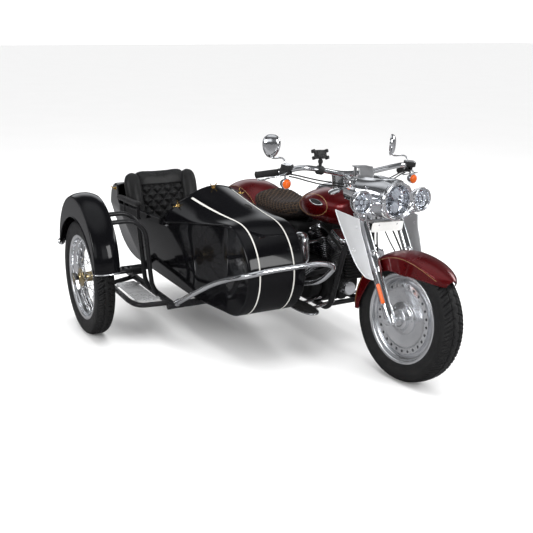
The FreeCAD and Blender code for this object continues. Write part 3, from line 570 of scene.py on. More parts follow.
    def bar(self, path: Array, radius: float | Array, sides: int = 20) -> "Shell":
        """Adds a round bar with closed ends along a path."""
        return self.grid(tube(path, radius, sides), wrap_v=True, caps=True)

    def bent(self, points: Sequence, radius: float, bend: float = 0.05, sides: int = 24) -> "Shell":
        """Adds a round bar with bent corners and closed ends."""
        return self.grid(rod(points, radius, bend, sides), wrap_v=True, caps=True)

    def hoop(self, path: Array, radius: float | Array, sides: int = 20) -> "Shell":
        """Adds a round bar whose path meets its own start."""
        return self.grid(tube(path, radius, sides, closed=True), wrap_u=True, wrap_v=True)

    def build(self, finishes: "Sequence[Finish]", body: str, place: Callable[[Array], Array] = settle,
              replaces: Sequence[str] = (), sharp: float = 38.0, weld: bool = True,
              mirror: bool = False) -> bpy.types.Object:
        """Makes the mesh, its UV map and its finishes, and has it ride on a body.

        Args:
            finishes: the finishes that the grids' indices name.
            body: the CAD body that it moves with.
            place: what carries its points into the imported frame.
            replaces: CAD nodes that it stands for.
            sharp: edges that bend by more than this many degrees stay crisp.
            weld: whether points in one place become one.
            mirror: whether it also gets its mirror image across the motorcycle's middle plane.

        Returns:
            The object.
        """
        points = np.vstack(self.points)
        faces = np.vstack(self.faces)
        uv = np.vstack(self.uvs)
        finish = np.concatenate(self.finish_index)
        if mirror:
            faces = np.vstack([faces, faces[:, ::-1] + len(points)])
            points = np.vstack([points, mirrored(points)])
            uv = np.vstack([uv, uv])
            finish = np.concatenate([finish, finish])
        points = place(points)
        if weld:
            key = np.round(points * WELD_STEPS).astype(np.int64)
            _, first, same = np.unique(key, axis=0, return_index=True, return_inverse=True)
            corner_uv = uv[faces]
            points = points[first]
            faces = same.reshape(-1)[faces]
        else:
            corner_uv = uv[faces]
        # a side that has shrunk to a point is moved last, so that the first three corners are a triangle
        for one, two, order in ((0, 1, [1, 2, 3, 0]), (1, 2, [2, 3, 0, 0]), (0, 3, [0, 1, 2, 2])):
            shrunk = faces[:, one] == faces[:, two]
            faces = np.where(shrunk[:, None], faces[:, order], faces)
            corner_uv = np.where(shrunk[:, None, None], corner_uv[:, order], corner_uv)
        triangle = faces[:, 2] == faces[:, 3]
        good = (faces[:, 0] != faces[:, 1]) & (faces[:, 1] != faces[:, 2]) & (faces[:, 0] != faces[:, 2])
        faces, corner_uv, triangle, finish = faces[good], corner_uv[good], triangle[good], finish[good]
        size = np.where(triangle, 3, 4)
        keep = np.ones((len(faces), 4), dtype=bool)
        keep[triangle, 3] = False
        mesh = bpy.data.meshes.new(self.name)
        mesh.vertices.add(len(points))
        mesh.vertices.foreach_set("co", points.astype(np.float32).ravel())
        mesh.loops.add(int(size.sum()))
        mesh.loops.foreach_set("vertex_index", faces[keep].astype(np.int32))
        mesh.polygons.add(len(faces))
        mesh.polygons.foreach_set("loop_start", np.concatenate([[0], np.cumsum(size)[:-1]]).astype(np.int32))
        mesh.polygons.foreach_set("material_index", finish.astype(np.int32))
        layer = mesh.uv_layers.new(name="run")
        mesh.update(calc_edges=True)
        mesh.validate()
        if len(layer.data) == len(corner_uv[keep]):
            layer.data.foreach_set("uv", corner_uv[keep].astype(np.float32).ravel())
        mesh.shade_smooth()
        mesh.set_sharp_from_angle(angle=math.radians(sharp))
        piece = bpy.data.objects.new(self.name, mesh)
        bpy.context.scene.collection.objects.link(piece)
        for item in finishes:
            mesh.materials.append(paintbox.material(item))
        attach(piece, body)
        if replaces:
            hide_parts(*replaces)
        log.info("%s: %d faces", self.name, len(mesh.polygons))
        return piece


# ---- finishes ---------------------------------------------------------------------------------------
class Kind(Enum):
    """How a surface is made."""

    PAINT = "clear-coated paint"
    METAL = "bare or plated metal"
    SOFT = "rubber or moulded plastic"
    LEATHER = "leather"
    LENS = "lens or reflector"


class Pattern(Enum):
    """What is pressed into a surface besides its own grain."""

    PLAIN = "nothing"
    BRUSHED = "fine straight brush marks"
    CHECKER = "raised crossing bars"
    QUILT = "stitches along the quilt's diamonds"
    TURNED = "fine rings from turning"
    RIBS = "lens ribs"


@dataclass(frozen=True)
class Finish:
    """One finish: its colour, gloss, texture and wear."""

    name: str
    slot: str
    kind: Kind
    colour: tuple[float, float, float]
    second: tuple[float, float, float] = (0.3, 0.29, 0.27)
    metallic: float = 0.0
    rough: tuple[float, float] = (0.3, 0.45)
    coat: float = 0.0
    grain: float = 900.0
    bump: float = 0.05
    wear: float = 0.0
    dust: float = 0.0
    pattern: Pattern = Pattern.PLAIN
    pitch: float = 0.05
    glow: float = 0.0
    glass: float = 0.0


# name, slot, kind, colour, second colour, metallic, least and most roughness, coat, grain, bump, wear, dust
PAINT, METAL, SOFT, LEATHER, LENS = Kind.PAINT, Kind.METAL, Kind.SOFT, Kind.LEATHER, Kind.LENS
RED = Finish("candy_red", "red_paint", PAINT, (0.145, 0.0008, 0.003), (0.045, 0.0004, 0.0012), 0.7, (0.24, 0.34),
             0.55, 2200, 0.008, 0.0, 0.08)
BLACK = Finish("gloss_black", "black_paint", PAINT, (0.0025, 0.0025, 0.003), (0.005, 0.005, 0.006), 0.0,
               (0.06, 0.12), 0.25, 1500, 0.002, 0.0, 0.02)
FRAME = Finish("frame_enamel", "frame_black", PAINT, (0.010, 0.010, 0.011), (0.02, 0.02, 0.021), 0.0, (0.22, 0.4),
               0.3, 900, 0.03, 0.0, 0.06)
ENGINE = Finish("engine_enamel", "engine_black", PAINT, (0.008, 0.008, 0.0085), (0.016, 0.016, 0.0165), 0.0,
                (0.34, 0.52), 0.1, 1300, 0.12, 0.0, 0.08)
CHROME = Finish("chrome", "chrome", METAL, (0.90, 0.91, 0.93), (0.70, 0.71, 0.73), 0.97, (0.03, 0.09), grain=260,
                bump=0.004, dust=0.06)
ALLOY = Finish("polished_alloy", "polished_alloy", METAL, (0.82, 0.83, 0.85), (0.58, 0.59, 0.60), 0.92,
               (0.10, 0.20), grain=420, bump=0.008, dust=0.1)
TURNED_ALLOY = Finish("turned_alloy", "polished_alloy", METAL, (0.82, 0.83, 0.85), (0.54, 0.55, 0.57), 0.92,
                      (0.13, 0.24), grain=420, bump=0.012, dust=0.08, pattern=Pattern.TURNED)
FIN_EDGE = Finish("fin_edge", "polished_alloy", METAL, (0.62, 0.62, 0.63), (0.3, 0.3, 0.3), 1.0, (0.16, 0.3),
                  grain=500, bump=0.03, dust=0.1)
CHECKER = Finish("checker_plate", "checker_alloy", METAL, (0.66, 0.67, 0.68), (0.42, 0.42, 0.43), 0.45, (0.25, 0.4),
                 grain=700, bump=0.02, dust=0.15, pattern=Pattern.CHECKER, pitch=0.028)
STEEL = Finish("brushed_steel", "brushed_steel", METAL, (0.56, 0.56, 0.57), (0.4, 0.4, 0.41), 1.0, (0.24, 0.38),
               grain=500, bump=0.03, pattern=Pattern.BRUSHED)
GOLD = Finish("gold_plate", "chrome", METAL, (0.83, 0.56, 0.2), (0.5, 0.3, 0.08), 1.0, (0.1, 0.2), grain=700,
              bump=0.01)
HUB_GOLD = Finish("hub_bronze", "chrome", METAL, (0.55, 0.44, 0.25), (0.3, 0.23, 0.12), 1.0, (0.14, 0.28),
                  grain=500, bump=0.02, dust=0.1)
SILVER = Finish("deflector_silver", "silver_panel", METAL, (0.74, 0.75, 0.77), (0.69, 0.70, 0.72), 0.4,
                (0.2, 0.28), 0.3, 300, 0.001)
TRIM = Finish("cream_line", "silver_panel", PAINT, (0.66, 0.65, 0.61), (0.5, 0.49, 0.46), 0.0, (0.25, 0.35), 0.8,
              900, 0.01)
PIN_LINE = Finish("tan_line", "silver_panel", PAINT, (0.40, 0.24, 0.10), (0.28, 0.16, 0.07), 0.2, (0.25, 0.35), 0.9,
                  900, 0.01)
RUBBER = Finish("rubber", "rubber", SOFT, (0.016, 0.016, 0.016), (0.035, 0.035, 0.034), 0.0, (0.5, 0.68),
                grain=1100, bump=0.18, dust=0.3)
BELT = Finish("belt_rubber", "belt_rubber", SOFT, (0.018, 0.018, 0.018), (0.04, 0.04, 0.04), 0.0, (0.55, 0.75),
              grain=1400, bump=0.25, dust=0.4)
TYRE = Finish("tyre_rubber", "tyre", SOFT, (0.005, 0.005, 0.0055), (0.010, 0.0098, 0.0096), 0.0, (0.34, 0.5),
              grain=1000, bump=0.14, dust=0.1)
PLASTIC = Finish("switch_plastic", "black_plastic", SOFT, (0.012, 0.012, 0.013), (0.03, 0.03, 0.03), 0.0,
                 (0.34, 0.5), grain=2200, bump=0.12, wear=0.2)
SEAT_HIDE = Finish("brown_hide", "seat_leather", LEATHER, (0.013, 0.008, 0.0065), (0.03, 0.019, 0.014), 0.0,
                   (0.42, 0.58), 0.04, 950, 0.30, 0.2)
SEAT_QUILT = Finish("brown_quilt", "seat_leather", LEATHER, (0.013, 0.008, 0.0065), (0.20, 0.12, 0.06), 0.0,
                    (0.42, 0.58), 0.04, 950, 0.30, 0.2, pattern=Pattern.QUILT, pitch=0.034)
CAR_HIDE = Finish("black_hide", "car_seat_leather", LEATHER, (0.010, 0.010, 0.0105), (0.022, 0.022, 0.023), 0.0,
                  (0.32, 0.46), 0.10, 800, 0.26, 0.15)
CAR_QUILT = Finish("black_quilt", "car_seat_leather", LEATHER, (0.010, 0.010, 0.0105), (0.035, 0.035, 0.037), 0.0,
                   (0.32, 0.46), 0.10, 800, 0.26, 0.15, pattern=Pattern.QUILT, pitch=0.070)
LENS_RED = Finish("red_lens", "lens_red", LENS, (0.42, 0.006, 0.006), (0.2, 0.0, 0.0), 0.0, (0.06, 0.12), 1.0,
                  grain=300, bump=0.3, pattern=Pattern.RIBS)
# its faint glow lights the signal and lamp lenses, and is painted glow on the fork legs' reflector strips, which are
# no lamps
AMBER = Finish("amber_lens", "lens_amber", LENS, (0.60, 0.095, 0.002), (0.36, 0.045, 0.0), 0.0, (0.10, 0.18), 0.3,
               grain=300, bump=0.3, pattern=Pattern.RIBS, glow=0.04)
GLASS = Finish("clear_lens", "lamp", LENS, (0.97, 0.98, 1.0), (0.9, 0.92, 0.95), 0.0, (0.0, 0.03), 0.0, grain=120,
               bump=0.02, glass=1.0)
REFLECTOR = Finish("reflector", "lamp", METAL, (0.88, 0.89, 0.91), (0.6, 0.62, 0.65), 1.0, (0.04, 0.14), grain=160,
                   bump=0.02)
LIT = Finish("lit_element", "lamp", LENS, (0.55, 0.57, 0.6), (0.34, 0.36, 0.4), 0.0, (0.08, 0.2), 0.6, grain=200,
             bump=0.05, glow=0.35)
MIRROR = Finish("mirror_glass", "chrome", METAL, (0.86, 0.88, 0.9), (0.8, 0.82, 0.84), 1.0, (0.0, 0.02), grain=90,
                bump=0.0005)
PLATE = Finish("plate_white", "plate_white", PAINT, (0.92, 0.92, 0.91), (0.8, 0.8, 0.78), 0.0, (0.28, 0.4), 0.5,
               700, 0.02, 0.0, 0.25)
DIAL = Finish("dial_face", "black_plastic", PAINT, (0.72, 0.7, 0.64), (0.6, 0.58, 0.52), 0.0, (0.35, 0.45), 0.3,
              900, 0.02)


class Wiring:
    """Places and links a node tree's nodes."""

    def __init__(self, tree: bpy.types.NodeTree) -> None:
        """Starts on an empty tree."""
        self.tree = tree

    def put(self, kind: str, settings: dict | None = None, **sockets: object) -> bpy.types.Node:
        """Adds a node.

        Args:
            kind: the node's type.
            settings: its own properties.
            sockets: input values or links, by the socket's name with underscores for blanks, or by
                "i" and its number.

        Returns:
            The node.
        """
        node = self.tree.nodes.new(kind)
        for key, value in (settings or {}).items():
            setattr(node, key, value)
        for key, value in sockets.items():
            numbered = key[0] == "i" and key[1:].isdigit()
            place = node.inputs[int(key[1:]) if numbered else key.replace("_", " ")]
            if isinstance(value, bpy.types.NodeSocket):
                self.tree.links.new(value, place)
            else:
                place.default_value = value
        return node

    def sum(self, operation: str, *values: object) -> bpy.types.NodeSocket:
        """One step of arithmetic."""
        return self.put("ShaderNodeMath", {"operation": operation},
                        **{f"i{i}": v for i, v in enumerate(values)}).outputs[0]

    def vector(self, operation: str, *values: object) -> bpy.types.NodeSocket:
        """One step of vector arithmetic."""
        return self.put("ShaderNodeVectorMath", {"operation": operation},
                        **{f"i{i}": v for i, v in enumerate(values)}).outputs[0]

    def noise(self, where: object, scale: object, detail: float = 3.0) -> bpy.types.NodeSocket:
        """A noise value between 0 and 1."""
        return self.put("ShaderNodeTexNoise", Vector=where, Scale=scale, Detail=detail).outputs[0]

    def ramp(self, value: object, low: float, high: float, out_low: object = 0.0,
             out_high: object = 1.0) -> bpy.types.NodeSocket:
        """A smooth change between two levels, clamped."""
        return self.put("ShaderNodeMapRange", {"interpolation_type": "SMOOTHSTEP"}, Value=value, From_Min=low,
                        From_Max=high, To_Min=out_low, To_Max=out_high).outputs[0]

    def blend(self, factor: object, first: object, second: object) -> bpy.types.NodeSocket:
        """A mix of two colours.

        Args:
            factor: the second one's share.
            first: a colour or a link.
            second: a colour or a link.

        Returns:
            The mixed colour.
        """
        node = self.tree.nodes.new("ShaderNodeMix")
        node.data_type = "RGBA"
        for place, value in ((0, factor), (6, first), (7, second)):
            if isinstance(value, bpy.types.NodeSocket):
                self.tree.links.new(value, node.inputs[place])
            else:
                node.inputs[place].default_value = value
        return node.outputs[2]


def rgba(colour: tuple[float, float, float], strength: float = 1.0) -> tuple[float, float, float, float]:
    """A colour with its alpha, darkened or lightened."""
    return (colour[0] * strength, colour[1] * strength, colour[2] * strength, 1.0)


class Effects:
    """The node groups that several finishes share."""

    def __init__(self) -> None:
        """Builds each group once."""
        self.smudge = self.make_smudge()
        self.wear = self.make_wear()
        self.dust = self.make_dust()
        self.grain = self.make_grain()
        self.flake = self.make_flake()
        self.stitch = self.make_stitch()

    @staticmethod
    def group(name: str, inputs: dict[str, str], outputs: dict[str, str]) -> tuple[
            bpy.types.NodeTree, Wiring, dict[str, bpy.types.NodeSocket], bpy.types.Node]:
        """Starts a node group.

        Args:
            name: the group's name.
            inputs: its inputs' socket types by name.
            outputs: its outputs' socket types by name.

        Returns:
            The group, its wiring, its inputs by name and its output node.
        """
        tree = bpy.data.node_groups.new(name, "ShaderNodeTree")
        for label, kind in inputs.items():
            tree.interface.new_socket(label, in_out="INPUT", socket_type=kind)
        for label, kind in outputs.items():
            tree.interface.new_socket(label, in_out="OUTPUT", socket_type=kind)
        start = tree.nodes.new("NodeGroupInput")
        end = tree.nodes.new("NodeGroupOutput")
        return tree, Wiring(tree), {label: start.outputs[label] for label in inputs}, end

    def make_smudge(self) -> bpy.types.NodeTree:
        """Handling marks: broad cloudy noise times fine noise, between two levels of roughness.

        Returns:
            The group.
        """
        tree, w, given, end = self.group("smudge", {"Place": "NodeSocketVector", "Low": "NodeSocketFloat",
                                                    "High": "NodeSocketFloat"}, {"Level": "NodeSocketFloat"})
        broad = w.noise(given["Place"], 7.0, 5.0)
        fine = w.noise(given["Place"], 90.0, 4.0)
        level = w.sum("ADD", w.sum("MULTIPLY", broad, 0.75), w.sum("MULTIPLY", fine, 0.25))
        tree.links.new(w.ramp(level, 0.32, 0.68, given["Low"], given["High"]), end.inputs["Level"])
        return tree

    def make_wear(self) -> bpy.types.NodeTree:
        """Edge wear: how far an edge stands out, broken up by noise.

        Returns:
            The group.
        """
        tree, w, given, end = self.group("edge_wear", {"Place": "NodeSocketVector", "Amount": "NodeSocketFloat"},
                                         {"Mask": "NodeSocketFloat"})
        edge = w.put("ShaderNodeNewGeometry").outputs["Pointiness"]
        broken = w.sum("ADD", edge, w.sum("MULTIPLY", w.noise(given["Place"], 160.0, 5.0), 0.10))
        tree.links.new(w.sum("MULTIPLY", w.ramp(broken, 0.585, 0.66), given["Amount"]), end.inputs["Mask"])
        return tree

    def make_dust(self) -> bpy.types.NodeTree:
        """Road dust: thicker near the ground, in patches.

        Returns:
            The group.
        """
        tree, w, given, end = self.group("road_dust", {"Place": "NodeSocketVector", "Amount": "NodeSocketFloat"},
                                         {"Mask": "NodeSocketFloat"})
        height = w.put("ShaderNodeSeparateXYZ", Vector=given["Place"]).outputs[2]
        low = w.ramp(height, 0.0, 0.7, 0.75, 0.18)
        patches = w.ramp(w.noise(given["Place"], 24.0, 6.0), 0.42, 0.75)
        tree.links.new(w.sum("MULTIPLY", w.sum("MULTIPLY", low, patches), given["Amount"]), end.inputs["Mask"])
        return tree

    def make_grain(self) -> bpy.types.NodeTree:
        """Hide or moulded grain: rounded cells with creases between them, over fine noise; the creases also darken
        the colour as painted shade.

        Returns:
            The group.
        """
        tree, w, given, end = self.group("grain", {"Place": "NodeSocketVector", "Scale": "NodeSocketFloat"},
                                         {"Height": "NodeSocketFloat", "Crease_Shade": "NodeSocketFloat"})
        bent = w.vector("ADD", given["Place"], w.vector("MULTIPLY", w.put(
            "ShaderNodeTexNoise", Vector=given["Place"], Scale=140.0).outputs[1], (0.0016, 0.0016, 0.0016)))
        cell = w.put("ShaderNodeTexVoronoi", {"feature": "DISTANCE_TO_EDGE"}, Vector=bent, Scale=given["Scale"])
        crease = w.ramp(cell.outputs[0], 0.0, 0.22)
        fine = w.noise(given["Place"], w.sum("MULTIPLY", given["Scale"], 2.3), 3.0)
        tree.links.new(w.sum("ADD", crease, w.sum("MULTIPLY", fine, 0.35)), end.inputs["Height"])
        # the crease mask also goes out on its own, to darken the colour in the creases: painted shade
        tree.links.new(crease, end.inputs["Crease_Shade"])
        return tree

    def make_flake(self) -> bpy.types.NodeTree:
        """Metal flake and orange peel: a brightness for each tiny cell, and low soft waves.

        Returns:
            The group.
        """
        tree, w, given, end = self.group("paint_flake", {"Place": "NodeSocketVector", "Scale": "NodeSocketFloat"},
                                         {"Sparkle": "NodeSocketFloat", "Peel": "NodeSocketFloat"})
        cell = w.put("ShaderNodeTexVoronoi", Vector=given["Place"], Scale=given["Scale"])
        bright = w.put("ShaderNodeSeparateColor", Color=cell.outputs["Color"]).outputs[0]
        tree.links.new(w.ramp(bright, 0.2, 1.0), end.inputs["Sparkle"])
        tree.links.new(w.noise(given["Place"], 320.0, 2.0), end.inputs["Peel"])
        return tree

    def make_stitch(self) -> bpy.types.NodeTree:
        """Thread and valley of diamond quilting, from the pad's flat run in metres.

        Distance to the nearest line of each crossing family is |fract(t + 0.5) - 0.5| times the line spacing,
        with t = (u + v) / pitch or (u - v) / pitch; a thread is broken into stitches along the other family.

        Returns:
            The group.
        """
        tree, w, given, end = self.group("quilt_stitch", {"Run": "NodeSocketVector", "Pitch": "NodeSocketFloat"},
                                         {"Thread": "NodeSocketFloat", "Valley": "NodeSocketFloat"})
        parts = w.put("ShaderNodeSeparateXYZ", Vector=given["Run"]).outputs
        one = w.sum("DIVIDE", w.sum("ADD", parts[0], parts[1]), given["Pitch"])
        two = w.sum("DIVIDE", w.sum("SUBTRACT", parts[0], parts[1]), given["Pitch"])
        threads, gaps = [], []
        for line, other in ((one, two), (two, one)):
            near = w.sum("ABSOLUTE", w.sum("SUBTRACT", w.sum("FRACT", w.sum("ADD", line, 0.5)), 0.5))
            gap = w.sum("MULTIPLY", w.sum("MULTIPLY", near, given["Pitch"]), DIAGONAL)
            step = w.sum("FRACT", w.sum("MULTIPLY", w.sum("MULTIPLY", other, given["Pitch"]), 176.0))
            dash = w.sum("LESS_THAN", w.sum("ABSOLUTE", w.sum("SUBTRACT", step, 0.5)), 0.34)
            threads.append(w.sum("MULTIPLY", w.ramp(gap, 0.0011, 0.0007), dash))
            gaps.append(gap)
        tree.links.new(w.sum("MAXIMUM", *threads), end.inputs["Thread"])
        tree.links.new(w.ramp(w.sum("MINIMUM", *gaps), 0.0, 0.006), end.inputs["Valley"])
        return tree


class Paintbox:
    """Makes each finish into a material once and hands it out."""

    def __init__(self) -> None:
        """Starts with the shared effects and no materials."""
        self.effects = Effects()
        self.made: dict[str, bpy.types.Material] = {}

    def material(self, finish: Finish) -> bpy.types.Material:
        """The material of a finish.

        Args:
            finish: what it is made from.

        Returns:
            The material, the same one each time.
        """
        if finish.name not in self.made:
            self.made[finish.name] = self.mix(finish)
        return self.made[finish.name]

    def mix(self, f: Finish) -> bpy.types.Material:
        """Builds one material: colour from grain with painted shade in its creases, flake, dust and wear; gloss from
        smudges; bump last.

        Args:
            f: the finish.

        Returns:
            A new material.
        """
        made = bpy.data.materials.new(f.name)
        made.use_nodes = True
        w = Wiring(made.node_tree)
        shader = made.node_tree.nodes["Principled BSDF"]
        where = w.put("ShaderNodeTexCoord").outputs
        place = where["Object"]
        shader.inputs["Metallic"].default_value = f.metallic
        shader.inputs["Coat Weight"].default_value = f.coat
        shader.inputs["Coat Roughness"].default_value = 0.03 if f.kind is PAINT else 0.2
        shader.inputs["IOR"].default_value = 1.5
        shader.inputs["Specular IOR Level"].default_value = 0.14 if f.kind is PAINT and f.metallic < 0.1 else 0.4
        level = w.put("ShaderNodeGroup", {"node_tree": self.effects.smudge}, Place=place, Low=f.rough[0],
                      High=f.rough[1]).outputs["Level"]
        colour, height = self.tone(f, w, where)
        if f.wear:
            worn = w.put("ShaderNodeGroup", {"node_tree": self.effects.wear}, Place=place, Amount=f.wear).outputs[0]
            colour = w.blend(worn, colour, rgba((0.32, 0.31, 0.3)) if f.kind is PAINT else rgba(f.second, 1.6))
        if f.dust:
            dusty = w.put("ShaderNodeGroup", {"node_tree": self.effects.dust}, Place=place, Amount=f.dust).outputs[0]
            colour = w.blend(w.sum("MULTIPLY", dusty, 0.22), colour, rgba((0.27, 0.25, 0.22)))
            level = w.sum("ADD", level, w.sum("MULTIPLY", dusty, 0.16))
        made.node_tree.links.new(colour, shader.inputs["Base Color"])
        made.node_tree.links.new(level, shader.inputs["Roughness"])
        bump = w.put("ShaderNodeBump", Height=height, Strength=min(1.0, f.bump * 4), Distance=0.0006)
        made.node_tree.links.new(bump.outputs[0], shader.inputs["Normal"])
        if f.glass:
            shader.inputs["Transmission Weight"].default_value = f.glass
            shader.inputs["IOR"].default_value = 1.12
        if f.glow:
            made.node_tree.links.new(colour, shader.inputs["Emission Color"])
            shader.inputs["Emission Strength"].default_value = f.glow
        return made

    def tone(self, f: Finish, w: Wiring, where: bpy.types.NodeOutputs) -> tuple[
            bpy.types.NodeSocket, bpy.types.NodeSocket]:
        """A finish's colour and the height for its bump.

        Args:
            f: the finish.
            w: its tree's wiring.
            where: the outputs of its Texture Coordinate node.

        Returns:
            The colour and the height.
        """
        place = where["Object"]
        if f.kind is PAINT:
            group = w.put("ShaderNodeGroup", {"node_tree": self.effects.flake}, Place=place, Scale=f.grain).outputs
            tint = w.blend(w.sum("MULTIPLY", group["Sparkle"], 0.8), rgba(f.colour), rgba(f.second))
            return w.blend(w.ramp(w.noise(place, 3.0), 0.3, 0.7, 0.0, 0.25), tint, rgba(f.colour, 0.7)), group["Peel"]
        if f.kind is METAL:
            cloud = w.ramp(w.noise(place, 14.0, 6.0), 0.35, 0.75, 0.0, 0.4)
            tint = w.blend(cloud, rgba(f.colour), rgba(f.second))
            height = w.noise(place, f.grain, 3.0)
            if f.pattern is Pattern.BRUSHED:
                fine = w.put("ShaderNodeMapping", Vector=place, Scale=(1400.0, 22.0, 1400.0)).outputs[0]
                height = w.noise(fine, 1.0, 2.0)
                tint = w.blend(w.ramp(height, 0.3, 0.7, 0.0, 0.3), tint, rgba(f.second, 0.7))
            elif f.pattern is Pattern.TURNED:
                run = w.put("ShaderNodeSeparateXYZ", Vector=where["UV"]).outputs[1]
                ring = w.sum("SINE", w.sum("MULTIPLY", run, 5200.0))
                height = w.sum("ADD", height, w.sum("MULTIPLY", ring, 0.3))
            elif f.pattern is Pattern.CHECKER:
                tint = w.blend(w.ramp(w.noise(place, 60.0, 4.0), 0.45, 0.7, 0.0, 0.5), tint, rgba(f.second, 0.8))
            return tint, height
        if f.kind is LENS:
            tint = w.blend(w.ramp(w.noise(place, f.grain, 2.0), 0.3, 0.7), rgba(f.colour), rgba(f.second))
            if f.pattern is Pattern.RIBS:
                rib = w.put("ShaderNodeTexVoronoi", {"feature": "F1"}, Vector=place, Scale=f.grain).outputs[0]
                return w.blend(0.35, rgba(f.colour), tint), rib
            return tint, w.noise(place, f.grain, 2.0)
        group = w.put("ShaderNodeGroup", {"node_tree": self.effects.grain}, Place=place, Scale=f.grain).outputs
        shade = w.ramp(w.noise(place, 18.0, 5.0), 0.35, 0.7, 0.0, 0.5)
        hide = f.pattern is not Pattern.QUILT
        tint = w.blend(shade, rgba(f.colour), rgba(f.second) if hide else rgba(f.colour, 1.7))
        # painted shade: the colour falls to 0.45 of itself in the grain's creases
        tint = w.blend(group["Crease_Shade"], rgba(f.colour, 0.45), tint)
        if hide:
            return tint, group["Height"]
        sewn = w.put("ShaderNodeGroup", {"node_tree": self.effects.stitch}, Run=where["UV"], Pitch=f.pitch).outputs
        tint = w.blend(sewn["Thread"], tint, rgba(f.second))
        height = w.sum("ADD", w.sum("MULTIPLY", group["Height"], 0.6), w.sum("MULTIPLY", sewn["Thread"], 1.4))
        return tint, height


def dress(node: str, finish: Finish) -> None:
    """Gives a CAD node a better material through its slots.

    Args:
        node: the node's name.
        finish: what it is dressed in.
    """
    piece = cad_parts[node]
    for place in piece.material_slots:
        place.material = paintbox.material(finish)
    log.info("%s dressed in %s", node, finish.name)


paintbox = Paintbox()


